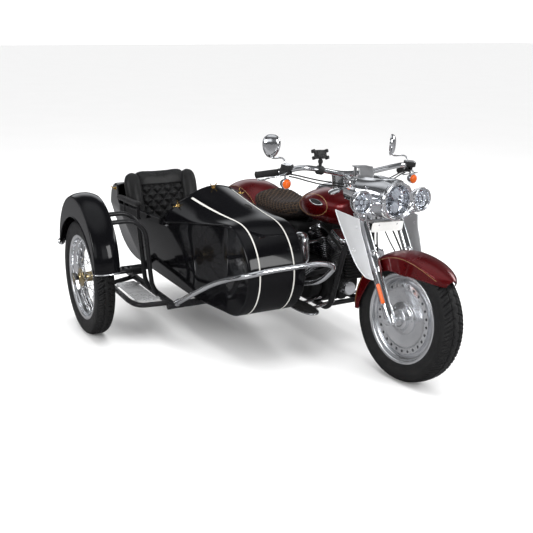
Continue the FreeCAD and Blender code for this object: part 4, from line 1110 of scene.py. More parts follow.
# ---- studio -----------------------------------------------------------------------------------------
@dataclass
class Studio:
    """Pale floor, soft light and the camera."""

    eye: tuple[float, float, float] = (3.18128, -2.51257, 1.71620)
    ahead: tuple[float, float, float] = (-0.84608, 0.45689, -0.27459)
    right: tuple[float, float, float] = (0.47314, 0.88095, 0.00798)
    lens: float = 57.81
    floor_half: float = 60.0
    unreflected: tuple[str, ...] = ("overhead_softbox", "back_softbox")
    # name, place, what it looks at, width, height, watts
    lamps: tuple[tuple[str, tuple[float, float, float], tuple[float, float, float], float, float, float], ...] = (
        ("overhead_softbox", (-0.9, -0.5, 4.4), (-0.9, -0.5, 0.4), 4.6, 3.0, 150.0),
        ("front_softbox", (4.6, 1.6, 2.6), (-0.3, -0.2, 0.5), 1.6, 2.4, 90.0),
        ("side_softbox", (0.2, -5.2, 2.4), (-0.9, -0.6, 0.4), 3.2, 1.4, 85.0),
        ("back_softbox", (-5.2, 2.4, 2.8), (-1.0, -0.2, 0.5), 2.6, 1.8, 80.0),
        ("left_softbox", (-0.6, 5.2, 2.8), (-0.8, 0.0, 0.5), 2.8, 1.8, 60.0),
    )

    def build(self) -> None:
        """Makes the camera, floor, world and lamps."""
        bpy.context.scene.view_settings.view_transform = "Standard"
        self.place_camera()
        self.lay_floor()
        self.light_world()
        for name, spot, target, wide, high, power in self.lamps:
            self.hang_lamp(name, np.array(spot), np.array(target), (wide, high), power, name not in self.unreflected)

    def place_camera(self) -> None:
        """Sets the camera where the view was found, with a lens on a 36 mm frame."""
        back = -unit(self.ahead)
        right = unit(self.right)
        up = np.cross(back, right)
        turn = Matrix([list(row) for row in np.stack([right, up, back], axis=1)]).to_4x4()
        camera = bpy.data.objects.new("camera", bpy.data.cameras.new("camera"))
        camera.data.lens = self.lens
        camera.data.sensor_width = 36.0
        camera.data.clip_end = 200.0
        camera.matrix_world = Matrix.Translation(Vector(settle(np.array(self.eye)))) @ turn
        bpy.context.scene.collection.objects.link(camera)
        bpy.context.scene.camera = camera

    def lay_floor(self) -> None:
        """A plain pale floor with a faint mottle."""
        size = self.floor_half
        mesh = bpy.data.meshes.new("floor")
        mesh.from_pydata([(-size, -size, 0), (size, -size, 0), (size, size, 0), (-size, size, 0)], [], [(0, 1, 2, 3)])
        floor = bpy.data.objects.new("floor", mesh)
        bpy.context.scene.collection.objects.link(floor)
        paper = bpy.data.materials.new("pale_floor")
        paper.use_nodes = True
        w = Wiring(paper.node_tree)
        place = w.put("ShaderNodeTexCoord").outputs["Object"]
        tint = w.blend(w.noise(place, 1.2), rgba((0.88, 0.88, 0.88)), rgba((0.91, 0.91, 0.91)))
        shader = paper.node_tree.nodes["Principled BSDF"]
        paper.node_tree.links.new(tint, shader.inputs["Base Color"])
        shader.inputs["Roughness"].default_value = 0.85
        shader.inputs["Specular IOR Level"].default_value = 0.1
        dim = w.put("ShaderNodeBsdfDiffuse", Color=rgba((0.20, 0.20, 0.205)))
        path = w.put("ShaderNodeLightPath").outputs
        seen = w.sum("MAXIMUM", path["Is Glossy Ray"], path["Is Transmission Ray"])
        mix = w.put("ShaderNodeMixShader", i0=seen, i1=shader.outputs[0], i2=dim.outputs[0])
        paper.node_tree.links.new(mix.outputs[0], paper.node_tree.nodes["Material Output"].inputs["Surface"])
        mesh.materials.append(paper)

    def light_world(self) -> None:
        """Soft light all round: brighter overhead than at the horizon, and white behind the object."""
        world = bpy.data.worlds.new("studio")
        world.use_nodes = True
        w = Wiring(world.node_tree)
        out = world.node_tree.nodes["World Output"]
        world.node_tree.nodes.remove(world.node_tree.nodes["Background"])
        way = w.put("ShaderNodeTexCoord").outputs["Generated"]
        east, north, high = w.put("ShaderNodeSeparateXYZ", Vector=way).outputs
        band = w.sum("MULTIPLY", w.ramp(high, 0.10, 0.20), w.ramp(high, 0.36, 0.58, 1.0, 0.0))
        panels = w.ramp(w.sum("SINE", w.sum("MULTIPLY", w.sum("ARCTAN2", north, east), 5.0)), -0.5, 0.1, 0.10, 1.0)
        roof = w.ramp(high, 0.72, 0.95, 0.0, 0.65)
        shade = w.sum("ADD", w.sum("MULTIPLY", band, panels), roof)
        glow = w.blend(shade, rgba((0.045, 0.047, 0.05)), rgba((0.95, 0.97, 1.0)))
        soft = w.put("ShaderNodeBackground", Color=glow, Strength=1.0)
        path = w.put("ShaderNodeLightPath").outputs
        white = w.put("ShaderNodeBackground", Color=(1, 1, 1, 1),
                      Strength=w.ramp(path["Is Camera Ray"], 0.0, 1.0, 1.05, 1.3))
        seen = w.sum("MAXIMUM", path["Is Glossy Ray"], path["Is Transmission Ray"])
        mix = w.put("ShaderNodeMixShader", i0=seen, i1=white.outputs[0], i2=soft.outputs[0])
        world.node_tree.links.new(mix.outputs[0], out.inputs["Surface"])
        bpy.context.scene.world = world

    def hang_lamp(self, name: str, spot: Array, target: Array, size: tuple[float, float], power: float,
                  shows: bool) -> None:
        """Hangs a rectangular softbox.

        Args:
            name: its name.
            spot: where it hangs.
            target: what it looks at.
            size: its width and height.
            power: in watts.
            shows: whether polished surfaces reflect it.
        """
        lamp = bpy.data.lights.new(name, "AREA")
        lamp.shape = "RECTANGLE"
        lamp.size, lamp.size_y = size
        lamp.energy = power
        rig = bpy.data.objects.new(name, lamp)
        rig.visible_glossy = shows
        rig.location = Vector(settle(spot))
        rig.rotation_euler = Vector(target - spot).to_track_quat("-Z", "Y").to_euler()
        bpy.context.scene.collection.objects.link(rig)


# ---- sidecar shell ----------------------------------------------------------------------------------
@dataclass
class SidecarShell:
    """The sidecar's body: a nose drum, an arched cowl, an open cockpit and a rounded tail."""

    drum: tuple[float, float, float] = (-0.638, 0.4923, 0.247)
    inner_y: float = -0.352
    floor_z: float = 0.2453
    knee_z: float = 0.600
    edge_round: float = 0.014
    wall: float = 0.006
    nose_y: float = -0.680
    nose_width: float = 0.328
    mean_width: float = 0.34
    cowl_length: float = 0.452
    edge_high: float = 0.7273
    edge_fall: float = 0.070
    crown_high: float = 0.7383
    crown_rise: float = 0.0987
    deck_end: float = -1.842
    cockpit_front: float = -1.26
    stripes: tuple[float, ...] = (-0.618, -0.424)
    # where a dark rubber oval sits on the cowl, standing for a recess's shade: painted shade
    shade_oval_at: tuple[float, float] = (-0.80, -0.475)
    nut: tuple[tuple[float, float], ...] = ((-0.002, 0.0), (-0.002, 0.011), (0.002, 0.011), (0.003, 0.008),
                                            (0.009, 0.0065), (0.014, 0.005), (0.015, 0.0))
    tail: tuple[tuple[float, float], ...] = ((-1.88, 0.2453), (-1.95, 0.262), (-2.012, 0.305), (-2.044, 0.366),
                                             (-2.0568, 0.435), (-2.0568, 0.56), (-2.041, 0.638), (-2.003, 0.70),
                                             (-1.94, 0.738), (-1.86, 0.752))

    def outer_y(self, x: Array) -> Array:
        """The widest line of the side panel: straight in plan, widening to the seat and then closing in."""
        return np.interp(x, [-2.06, -1.76, -0.65], [-0.828, -0.868, -0.680])

    def side_y(self, x: Array, z: Array) -> Array:
        """The side panel: upright above the knee, slanting in to the sill below it.

        Args:
            x: how far back.
            z: how high.

        Returns:
            The panel's y there.
        """
        wide = self.outer_y(x)
        sill = np.maximum(wide, -0.730)
        down = np.clip((self.knee_z - z) / (self.knee_z - self.floor_z), 0, 1)
        return wide + (sill - wide) * down

    def edge_z(self, x: Array) -> Array:
        """Height of the line where the side panel meets the cowl."""
        return self.edge_high - self.edge_fall * (self.drum[0] - x) / self.cowl_length

    def cowl_z(self, x: Array, y: Array) -> Array:
        """The cowl: at each x an arc of a circle over the chord between the two edge lines.

        Args:
            x: how far back.
            y: how far across.

        Returns:
            The height.
        """
        back = (self.drum[0] - x) / self.cowl_length
        edge, crown = self.edge_z(x), self.crown_high + self.crown_rise * back
        outer, spare = self.outer_y(x), self.inner_y + 0.040
        half, middle = (spare - outer) / 2, (spare + outer) / 2
        rise = np.maximum(crown - edge, 0.006)
        radius = (half ** 2 + rise ** 2) / (2 * rise)
        return edge + np.sqrt(np.maximum(radius ** 2 - (y - middle) ** 2, 0)) - (radius - rise)

    def on_cowl(self, x: float, y: float) -> tuple[Array, Array]:
        """A place on the cowl, and the direction square to it found by steps of 10 mm.

        Args:
            x: how far back.
            y: how far across.

        Returns:
            The point and the unit direction.
        """
        step = 0.01
        here, ahead, across = self.cowl_z(np.array([x, x + step, x]), np.array([y, y, y + step]))
        return np.array([x, y, here]), unit([-(ahead - here) / step, -(across - here) / step, 1.0])

    def cowl_end(self, share: Array) -> Array:
        """Where the cowl's rear edge lies for each place across, found by settling x against height.

        Args:
            share: 0 at the outer edge to 1 at the motorcycle's side.

        Returns:
            x for each place.
        """
        x = np.full_like(share, -1.12)
        for _ in range(60):
            y = self.outer_y(x) + share * (self.inner_y - self.outer_y(x))
            x = 0.5 * x + 0.5 * np.interp(self.cowl_z(x, y), [0.631, 0.80, 0.838, 0.9], [-1.26, -1.11, -1.098, -1.09])
        return x

    def shares(self) -> Array:
        """Places across the shell, closer together where its edges are rounded."""
        close = np.array([0.0, 0.002, 0.005, 0.009, 0.014, 0.022]) / self.mean_width
        return np.concatenate([close, np.linspace(0.1, 0.9, 25), 1 - close[::-1]])

    def over_nose(self, share: Array, proud: float = 0.0) -> Array:
        """The shell from the cowl's rear edge over the nose to the bottom of the drum.

        Knots on the cowl and the drum are joined by splines, one for each place across; then every point
        moves along its normal by `proud`, and near the two edges it drops by a quarter circle.

        Args:
            share: places across, from 0 at the outer edge to 1 at the motorcycle's side.
            proud: how far to stand off the shell.

        Returns:
            A grid, rows along the run by places across.
        """
        end = self.cowl_end(share)
        knots = []
        for t in (0.0, 0.25, 0.5, 0.74, 0.9):
            x = end + (self.drum[0] - 0.02 - end) * t
            y = self.outer_y(x) + share * (self.inner_y - self.outer_y(x))
            knots.append(np.stack([x, y, self.cowl_z(x, y)], axis=1))
        flat_y = self.nose_y + share * (self.inner_y - self.nose_y)
        low = 0.7393 - self.cowl_z(np.full_like(share, self.drum[0]), flat_y)
        for degrees in (68, 46, 23, 0, -23, -46, -68, -90):
            turn = math.radians(degrees)
            r = self.drum[2] - low * max(0.0, math.sin(turn)) ** 2
            knots.append(np.stack([self.drum[0] + r * math.cos(turn), flat_y, self.drum[1] + r * math.sin(turn)],
                                  axis=1))
        rows = lofted(knots, 110)
        return self.eased(rows, share, proud)

    def eased(self, rows: Array, share: Array, proud: float = 0.0) -> Array:
        """Moves a run of the shell along its normals and rounds its two edges.

        Args:
            rows: the run, rows by places across.
            share: the places across.
            proud: how far to stand off.

        Returns:
            The eased grid.
        """
        ahead = np.gradient(rows, axis=0)
        out = unit(np.stack([-ahead[..., 2], np.zeros(rows.shape[:2]), ahead[..., 0]], axis=-1))
        gap = np.minimum(share, 1 - share) * self.mean_width
        r = self.edge_round
        drop = r - np.sqrt(np.maximum(r ** 2 - np.maximum(r - gap, 0) ** 2, 0))
        return rows + out * (proud - drop)[None, :, None]

    def under(self, share: Array) -> Array:
        """The shell's floor, tail and rear deck, each place across following the same side view."""
        line = through(self.tail, 60)
        run = np.vstack([np.stack([np.linspace(self.drum[0], -1.86, 30), np.full(30, self.floor_z)], axis=1),
                         line, [(-1.842, 0.7515), (-1.824, 0.750)]])
        outer = self.side_y(run[:, 0], run[:, 1])[:, None]
        y = outer + share[None] * (self.inner_y - outer)
        rows = np.stack([np.broadcast_to(run[:, :1], y.shape), y, np.broadcast_to(run[:, 1:], y.shape)], axis=-1)
        return self.eased(rows, share)

    def side_span(self) -> tuple[Array, Array]:
        """Stations along the side and the height of its lower line at each."""
        cx, cz, r = self.drum
        r = r - self.edge_round
        turn = np.linspace(0, math.pi / 2, 26)
        x = np.concatenate([cx + r * np.cos(turn), np.linspace(cx - 0.03, -1.74, 46), np.linspace(-1.76, -1.87, 23),
                            -2.057 + self.edge_round + (0.176 - self.edge_round) * (1 - np.sin(turn))])
        tail = through(self.tail, 120)
        belly = tail[:60]
        low = np.where(x > cx, cz - np.sqrt(np.maximum(r ** 2 - (x - cx) ** 2, 0)), self.floor_z + self.edge_round)
        back = np.interp(-x, -belly[:, 0], belly[:, 1]) + self.edge_round
        return x, np.where(x < -1.88, back, low)

    def side_top(self, x: Array, at_inner: bool) -> Array:
        """Height of a side panel's upper line.

        Args:
            x: stations.
            at_inner: whether it is the panel on the motorcycle's side.

        Returns:
            The height at each.
        """
        cx, cz, r = self.drum
        nose = cz + np.sqrt(np.maximum((r - self.edge_round) ** 2 - (x - cx) ** 2, 0))
        y = np.full_like(x, self.inner_y) if at_inner else self.outer_y(x)
        cowl = self.cowl_z(x, y) - self.edge_round
        tail = through(self.tail, 120)[66:]
        rear = np.interp(x, tail[:, 0], tail[:, 1]) - self.edge_round
        rim = np.interp(x, [-1.842, -1.824, -1.80, -1.76, -1.262], [0.738, 0.750, 0.668, 0.640, 0.636])
        blend = np.clip((cx + 0.06 - x) / 0.12, 0, 1)
        eased = (1 - blend) * np.minimum(nose, cowl + 0.012 * (1 - blend)) + blend * cowl
        front = np.where(x > cx + 0.06, nose, eased)
        line = np.where(x > self.cockpit_front, np.maximum(front, 0.0), np.where(x > self.deck_end, rim, rear))
        if at_inner:
            end = float(self.cowl_end(np.array([1.0]))[0])
            lower = np.minimum(line, np.interp(x, [-1.30, end], [0.640, 0.700]))
            line = np.where((x < end) & (x > -1.76), lower, line)
        return line

    def panel(self, at_inner: bool) -> list[Array]:
        """A side panel: straight up and down between its lower and upper lines, in two parts at the knee.

        Args:
            at_inner: whether it is the panel on the motorcycle's side.

        Returns:
            The lower and the upper grid.
        """
        x, low = self.side_span()
        top = np.maximum(self.side_top(x, at_inner), low + 0.001)
        knee = np.clip(self.knee_z, low, top)
        grids = []
        for first, last, count in ((low, knee, 14), (knee, top, 8)):
            t = np.linspace(0, 1, count)[:, None]
            z = first + (last - first) * t
            wide = np.broadcast_to(x, z.shape)
            y = np.full_like(z, self.inner_y) if at_inner else self.side_y(wide, z)
            grids.append(np.stack([wide, y, z], axis=-1))
        return grids

    def build(self) -> None:
        """Makes the shell, its stripes, rims, fasteners and a dark oval of painted shade on the cowl."""
        share = self.shares()
        shell = Shell("sidecar_shell")
        middle = (-1.2, -0.55, 0.45)
        shell.plate(self.over_nose(share), self.wall, (-0.8, -0.52, 0.45))
        shell.plate(self.under(share), self.wall, (-1.3, -0.55, 0.55))
        for inner in (False, True):
            lower, upper = self.panel(inner)
            shell.plate(np.vstack([lower, upper[1:]]), self.wall, middle)
        shell.build([BLACK], "chassis", replaces=["sidecar_body"], sharp=30)
        self.paint_stripes()
        self.fit_rims()
        self.fit_nuts()

    def paint_stripes(self) -> None:
        """Two cream lines from the cowl over the nose: narrow strips standing just off the shell."""
        lines = Shell("nose_stripes")
        for y in self.stripes:
            share = (y - self.nose_y + np.linspace(-0.0038, 0.0038, 5)) / self.nose_width
            crown = 0.0009 * (1 - np.linspace(-1, 1, 5) ** 2) ** 0.5
            strip = self.over_nose(share)
            ahead = np.gradient(strip, axis=0)
            out = unit(np.stack([-ahead[..., 2], np.zeros(strip.shape[:2]), ahead[..., 0]], axis=-1))
            lines.plate(strip[3:104] + out[3:104] * (0.0006 + crown)[None, :, None], 0.002, (-0.8, -0.5, 0.45))
        lines.build([TRIM], "chassis")

    def rim_line(self) -> Array:
        """The cockpit's rim: up the cowl's rear edge, back along both sides and across the rear deck."""
        share = np.linspace(0.03, 0.97, 40)
        x = self.cowl_end(share)
        y = self.outer_y(x) + share * (self.inner_y - self.outer_y(x))
        front = np.stack([x, y, self.cowl_z(x, y) - 0.003], axis=1)
        inner = [(-1.30, -0.355, 0.644), (-1.55, -0.355, 0.641), (-1.76, -0.355, 0.642), (-1.80, -0.356, 0.668),
                 (-1.826, -0.362, 0.742)]
        back = [(-1.828, y, 0.749) for y in np.linspace(-0.40, -0.82, 8)]
        outer = [(-1.826, self.outer_y(-1.826) + 0.008, 0.742), (-1.80, -0.8605, 0.668), (-1.76, -0.865, 0.642)]
        outer += [(x, self.outer_y(x) + 0.003, z) for x, z in ((-1.55, 0.641), (-1.285, 0.638))]
        corners = rounded(np.vstack([front, inner, back, outer]), 0.012, closed=True, steps=4)
        return resampled(corners, 420, closed=True)

    def fit_rims(self) -> None:
        """A rolled rim round the cockpit and a raised bead where the side panel meets the cowl."""
        rim = Shell("cockpit_rim")
        rim.hoop(self.rim_line(), 0.0065, 10)
        x = np.linspace(-0.66, -1.25, 60)
        bead = np.stack([x, self.outer_y(x) + 0.001, self.edge_z(x) - 0.006], axis=1)
        rim.bar(bead, 0.0042, 10)
        rim.build([BLACK], "chassis")

    def fit_nuts(self) -> None:
        """Gold wing nuts on little plates along the cowl's rear edge, and a dark oval standing just off the cowl as
        painted shade for a recess.
        """
        nuts = Shell("wing_nuts")
        for share in (0.07, 0.50, 0.93):
            x = float(self.cowl_end(np.array([share]))[0]) + 0.022
            foot, n = self.on_cowl(x, float(self.outer_y(x) + share * (self.inner_y - self.outer_y(x))))
            nuts.lathe(self.nut, foot, n, 20)
            u = axes_from(n, (1, 0, 0))[0]
            for way in (-1, 1):
                path = (foot + np.array([[0.004], [0.010], [0.016], [0.018]]) * u * way
                        + np.array([[0.008], [0.012], [0.019], [0.026]]) * n)
                nuts.bar(through(path, 12), np.linspace(0.004, 0.0028, 12), 10)
        foot = np.array([-1.822, -0.868, 0.728])
        nuts.lathe(self.nut, foot, (0, -1, 0), 20)
        for way in (-1, 1):
            wing = foot + np.array([(0.006 * way, -0.008, 0.0), (0.011 * way, -0.012, 0.002),
                                    (0.020 * way, -0.018, 0.006), (0.024 * way, -0.024, 0.008)])
            nuts.bar(through(wing, 12), np.linspace(0.004, 0.0028, 12), 10)
        nuts.build([GOLD], "chassis")
        # painted shade: a thin dark rubber oval, standing just off the cowl, stands for the shade of a recess
        shade_oval_piece = Shell("cowl_shade_oval")
        spot, n = self.on_cowl(*self.shade_oval_at)
        shade_oval_piece.block(round_outline(0.034, 48, 0.52), spot + [0, 0, 0.0015], n, 0.006, 0.0025, up=(0, 1, 0))
        shade_oval_piece.build([RUBBER], "chassis")


# ---- wheels -----------------------------------------------------------------------------------------
@dataclass
class Tyre:
    """A tyre with cross grooves cut into its tread and ribs on its sides."""

    name: str
    node: str
    body: str
    centre: Array
    radius: float
    width: float
    seat: float
    place: Callable[[Array], Array] = settle
    grooves: int = 46
    groove_steps: int = 11
    depth: float = 0.0075

    def profile(self) -> Array:
        """Half the section from the bead up the wall to the crown, mirrored: a spline through the wall's points."""
        w, top = self.width, self.radius
        wall = through([(0.40 * w, self.seat + 0.012), (0.482 * w, (self.seat + top) / 2 - 0.012),
                        (0.495 * w, (self.seat + top) / 2 + 0.010), (0.455 * w, top - 0.155 * w),
                        (0.36 * w, top - 0.062 * w), (0.18 * w, top - 0.013 * w), (0.0, top)], 46)
        outer = np.vstack([wall, wall[-2::-1] * [-1, 1]])
        inner = [(-0.37 * w, self.seat + 0.004), (0.37 * w, self.seat + 0.004)]
        return np.vstack([outer, inner])

    def build(self) -> None:
        """Makes the tyre: grooves lower its tread by a bell curve about each curved groove line."""
        rows = self.profile()
        steps = self.grooves * self.groove_steps
        grid = ring_of(rows, self.centre, count=steps)
        turn = np.linspace(0, 2 * math.pi, steps, endpoint=False)[None]
        side = np.append(rows[:, 0], rows[0, 0])[:, None] / (self.width / 2)
        high = np.append(rows[:, 1], rows[0, 1])[:, None]
        reach = np.abs(side)
        pitch = 2 * math.pi / self.grooves
        shift = np.where(side > 0, 0.5, 0.0) + 0.85 * reach ** 1.6
        near = np.abs((turn / pitch - shift + 0.5) % 1.0 - 0.5) * self.groove_steps
        groove = np.clip(1.35 - near * 0.9, 0, 1) * np.clip((reach - 0.10) * 14, 0, 1)
        groove = groove * np.clip((0.90 - reach) * 9, 0, 1)
        second = np.abs((turn / pitch - shift + 1.0) % 1.0 - 0.5) * self.groove_steps
        groove = np.maximum(groove, 0.6 * np.clip(1.1 - second, 0, 1) * np.clip((reach - 0.42) * 14, 0, 1)
                            * np.clip((0.93 - reach) * 9, 0, 1))
        lines = sum(np.exp(-((side - s) / 0.035) ** 2) for s in (-0.28, 0.28)) + 0.0 * turn
        tread = np.clip((high - (self.radius - 0.24 * self.width)) * 60, 0, 1)
        cut = np.maximum(groove, 0.75 * lines) * tread * self.depth
        ribs = 0.0009 * sum(np.exp(-((high - self.seat - k * (self.radius - self.seat)) / 0.0016) ** 2)
                            for k in (0.24, 0.31, 0.60))
        away = grid - self.centre
        out = away * [1, 0, 1]
        grid = grid - unit(out) * cut[..., None] + (np.sign(side) * ribs * (reach > 0.5))[..., None] * [0, 1, 0]
        Shell(self.name).grid(grid, wrap_v=True).build([TYRE], self.body, self.place, replaces=[self.node], sharp=34)


def rim_profile(width: float, seat: float, drop: float = 0.020, wall: float = 0.006) -> Array:
    """A rim's closed section: flanges, bead seats and a drop centre, and the same line set back.

    Args:
        width: between the flanges' outer faces.
        seat: radius of the bead seat.
        drop: how deep the well lies.
        wall: thickness of the metal.

    Returns:
        Rows of (sideways, radius).
    """
    h = width / 2
    outer = [(-h, seat + 0.012), (-h + 0.005, seat + 0.014), (-h + 0.008, seat + 0.002), (-h + 0.022, seat - 0.001),
             (-h + 0.034, seat - drop), (h - 0.034, seat - drop), (h - 0.022, seat - 0.001),
             (h - 0.008, seat + 0.002), (h - 0.005, seat + 0.014), (h, seat + 0.012)]
    inner = [(h + 0.001, seat + 0.004), (h - 0.003, seat - 0.008), (h - 0.022, seat - 0.009),
             (h - 0.040, seat - drop - wall), (-h + 0.040, seat - drop - wall), (-h + 0.022, seat - 0.009),
             (-h + 0.003, seat - 0.008), (-h - 0.001, seat + 0.004)]
    return rounded(np.array(outer + inner), 0.004, closed=True, steps=4)


def holed_band(centre: Array, inner: float, outer: float, count: int, hole: float, face_y: Callable[[Array], Array],
               depth: float) -> Array:
    """A ring of cells, each with a round hole: rows run from the cell's border to the hole and back through it.

    A cell's border is a rectangle in angle and radius; it is blended to a circle and then carried back by `depth`.

    Args:
        centre: the wheel's middle.
        inner: the band's inner radius.
        outer: its outer radius.
        count: how many holes.
        hole: their radius.
        face_y: the face's place along the axle for each radius.
        depth: how deep the holes' walls run, signed along the axle.

    Returns:
        Cells by rows by points, each cell a grid that closes the second way.
    """
    t = np.linspace(0, 2 * math.pi, 24, endpoint=False) + math.pi / 24
    square = np.stack([np.cos(t), np.sin(t)], axis=1)
    square /= np.abs(square).max(axis=1, keepdims=True)
    circle = np.stack([np.cos(t), np.sin(t)], axis=1)
    middle = (inner + outer) / 2
    half_turn = math.pi / count
    border = np.stack([square[:, 0] * half_turn, square[:, 1] * (outer - inner) / 2], axis=1)
    ring = np.stack([circle[:, 0] * hole / middle, circle[:, 1] * hole], axis=1)
    rows = [border, border * 0.45 + ring * 0.66, ring * 1.10, ring, ring]
    back = np.array([0.0, 0.0, 0.0, 0.0008 * np.sign(depth), depth])
    polar = np.array(rows)[None] + np.zeros((count, 1, 1, 2))
    angle = polar[..., 0] + (np.arange(count) * 2 * half_turn)[:, None, None]
    radius = polar[..., 1] + middle
    y = face_y(radius) + back[None, :, None]
    return np.stack([centre[0] + radius * np.cos(angle), centre[1] + y, centre[2] + radius * np.sin(angle)], axis=-1)


@dataclass
class FrontWheel:
    """A dished alloy disc with a ring of holes, a wide polished rim and a large hub."""

    centre: Array = field(default_factory=lambda: FRONT_AXLE.copy())
    holes: int = 26

    @staticmethod
    def face(radius: Array) -> Array:
        """Where the disc's near face lies for each radius: a shallow cone with a raised shoulder near the rim."""
        return np.interp(radius, [0.045, 0.090, 0.140, 0.150, 0.178], [-0.034, -0.036, -0.040, -0.042, -0.043])

    def build(self) -> None:
        """Makes the rim, disc, hub, brake disc and bolts."""
        disc = Shell("front_disc")
        disc.grid(ring_of(rim_profile(0.112, 0.216, 0.026), self.centre, count=192), wrap_v=True)
        for way in (1, -1):
            lie = 1 if way == 1 else -0.55
            r = np.linspace(0.052, 0.150, 20)
            disc.grid(turned(np.stack([self.face(r) * lie, r], axis=1), self.centre, (0, 1, 0), 156), wrap_v=True,
                      face_out=False)
            cells = holed_band(self.centre, 0.150, 0.178, self.holes, 0.0072,
                               lambda q: self.face(q) * lie, 0.006 * way)
            for cell in cells:
                disc.grid(cell, wrap_v=True, face_out=False)
        dish = rounded(np.array([(-0.043, 0.1775), (-0.020, 0.181), (-0.018, 0.192), (-0.034, 0.197), (-0.037, 0.205),
                                 (-0.052, 0.209), (-0.052, 0.217), (0.030, 0.217), (0.030, 0.186), (0.024, 0.178),
                                 (-0.010, 0.1765)]), 0.003, closed=True, steps=4)
        disc.lathe(np.vstack([dish, dish[:1]]), self.centre, (0, 1, 0), 192)
        disc.build([TURNED_ALLOY], "front_wheel", turn_bars, replaces=["front_disc_wheel"], sharp=32)
        hub = Shell("front_hub")
        hub.lathe(self.hub_line(), self.centre, (0, 1, 0), 96)
        for k in range(5):
            turn = 2 * math.pi * k / 5
            spot = self.centre + np.array([0.068 * math.cos(turn), -0.0435, 0.068 * math.sin(turn)])
            hub.lathe([(-0.004, 0), (-0.004, 0.0062), (0.003, 0.0062), (0.005, 0.004), (0.005, 0)], spot, (0, -1, 0),
                      12)
        hub.build([ALLOY], "front_wheel", turn_bars, sharp=30)
        brake = Shell("front_brake_disc")
        for r0, r1, y0, y1 in ((0.072, 0.148, 0.052, 0.057), (0.040, 0.082, 0.048, 0.053)):
            brake.lathe([(y0, r0), (y0, r1), (y1, r1), (y1, r0), (y0, r0)], self.centre, (0, 1, 0), 96)
        brake.build([STEEL], "front_wheel", turn_bars, sharp=30)

    @staticmethod
    def hub_line() -> Array:
        """The hub's stepped spool from its near end to its far end."""
        return rounded(np.array([(-0.074, 0.0), (-0.074, 0.020), (-0.071, 0.022), (-0.071, 0.034), (-0.073, 0.038),
                                 (-0.072, 0.050), (-0.066, 0.055), (-0.048, 0.0565), (-0.045, 0.060), (-0.044, 0.080),
                                 (-0.040, 0.083), (-0.034, 0.083), (-0.030, 0.058), (0.030, 0.058), (0.044, 0.050),
                                 (0.060, 0.046), (0.062, 0.030), (0.074, 0.024), (0.074, 0.0)]), 0.0022, steps=4)


@dataclass
class RearWheel:
    """A solid alloy disc wheel with a toothed pulley."""

    centre: Array = field(default_factory=lambda: REAR_AXLE.copy())
    teeth: int = 70
    tooth_steps: int = 6

    def build(self) -> None:
        """Makes the rim, disc, hub and pulley."""
        disc = Shell("rear_disc")
        disc.grid(ring_of(rim_profile(0.160, 0.216, 0.026), self.centre, count=192), wrap_v=True)
        disc.lathe([(-0.010, 0.050), (-0.016, 0.075), (-0.010, 0.150), (-0.012, 0.190), (0.008, 0.190),
                    (0.006, 0.150), (0.012, 0.075), (0.006, 0.050), (-0.010, 0.050)], self.centre, (0, 1, 0), 160)
        disc.lathe(rounded(np.array([(-0.122, 0.0), (-0.122, 0.030), (-0.100, 0.034), (-0.060, 0.050), (0.060, 0.050),
                                     (0.100, 0.040), (0.122, 0.034), (0.122, 0.0)]), 0.003, steps=4), self.centre,
                   (0, 1, 0), 96)
        disc.build([TURNED_ALLOY], "rear_wheel", replaces=["rear_disc_wheel"], sharp=32)
        turn = np.linspace(0, 2 * math.pi, self.teeth * self.tooth_steps, endpoint=False)
        tooth = 0.0885 + 0.0025 * np.clip(np.sin(self.teeth * turn) * 3, -1, 1)
        bore = np.full_like(tooth, 0.03)
        ring = np.stack([np.cos(turn), np.zeros_like(turn), np.sin(turn)], axis=1)
        rows = [self.centre + ring * r[:, None] + np.array([0, y, 0]) for y, r in
                ((-0.121, bore), (-0.121, tooth), (-0.105, tooth), (-0.105, bore))]
        Shell("rear_pulley").grid(np.array(rows), wrap_u=True, wrap_v=True).build([ALLOY], "rear_wheel", sharp=30)


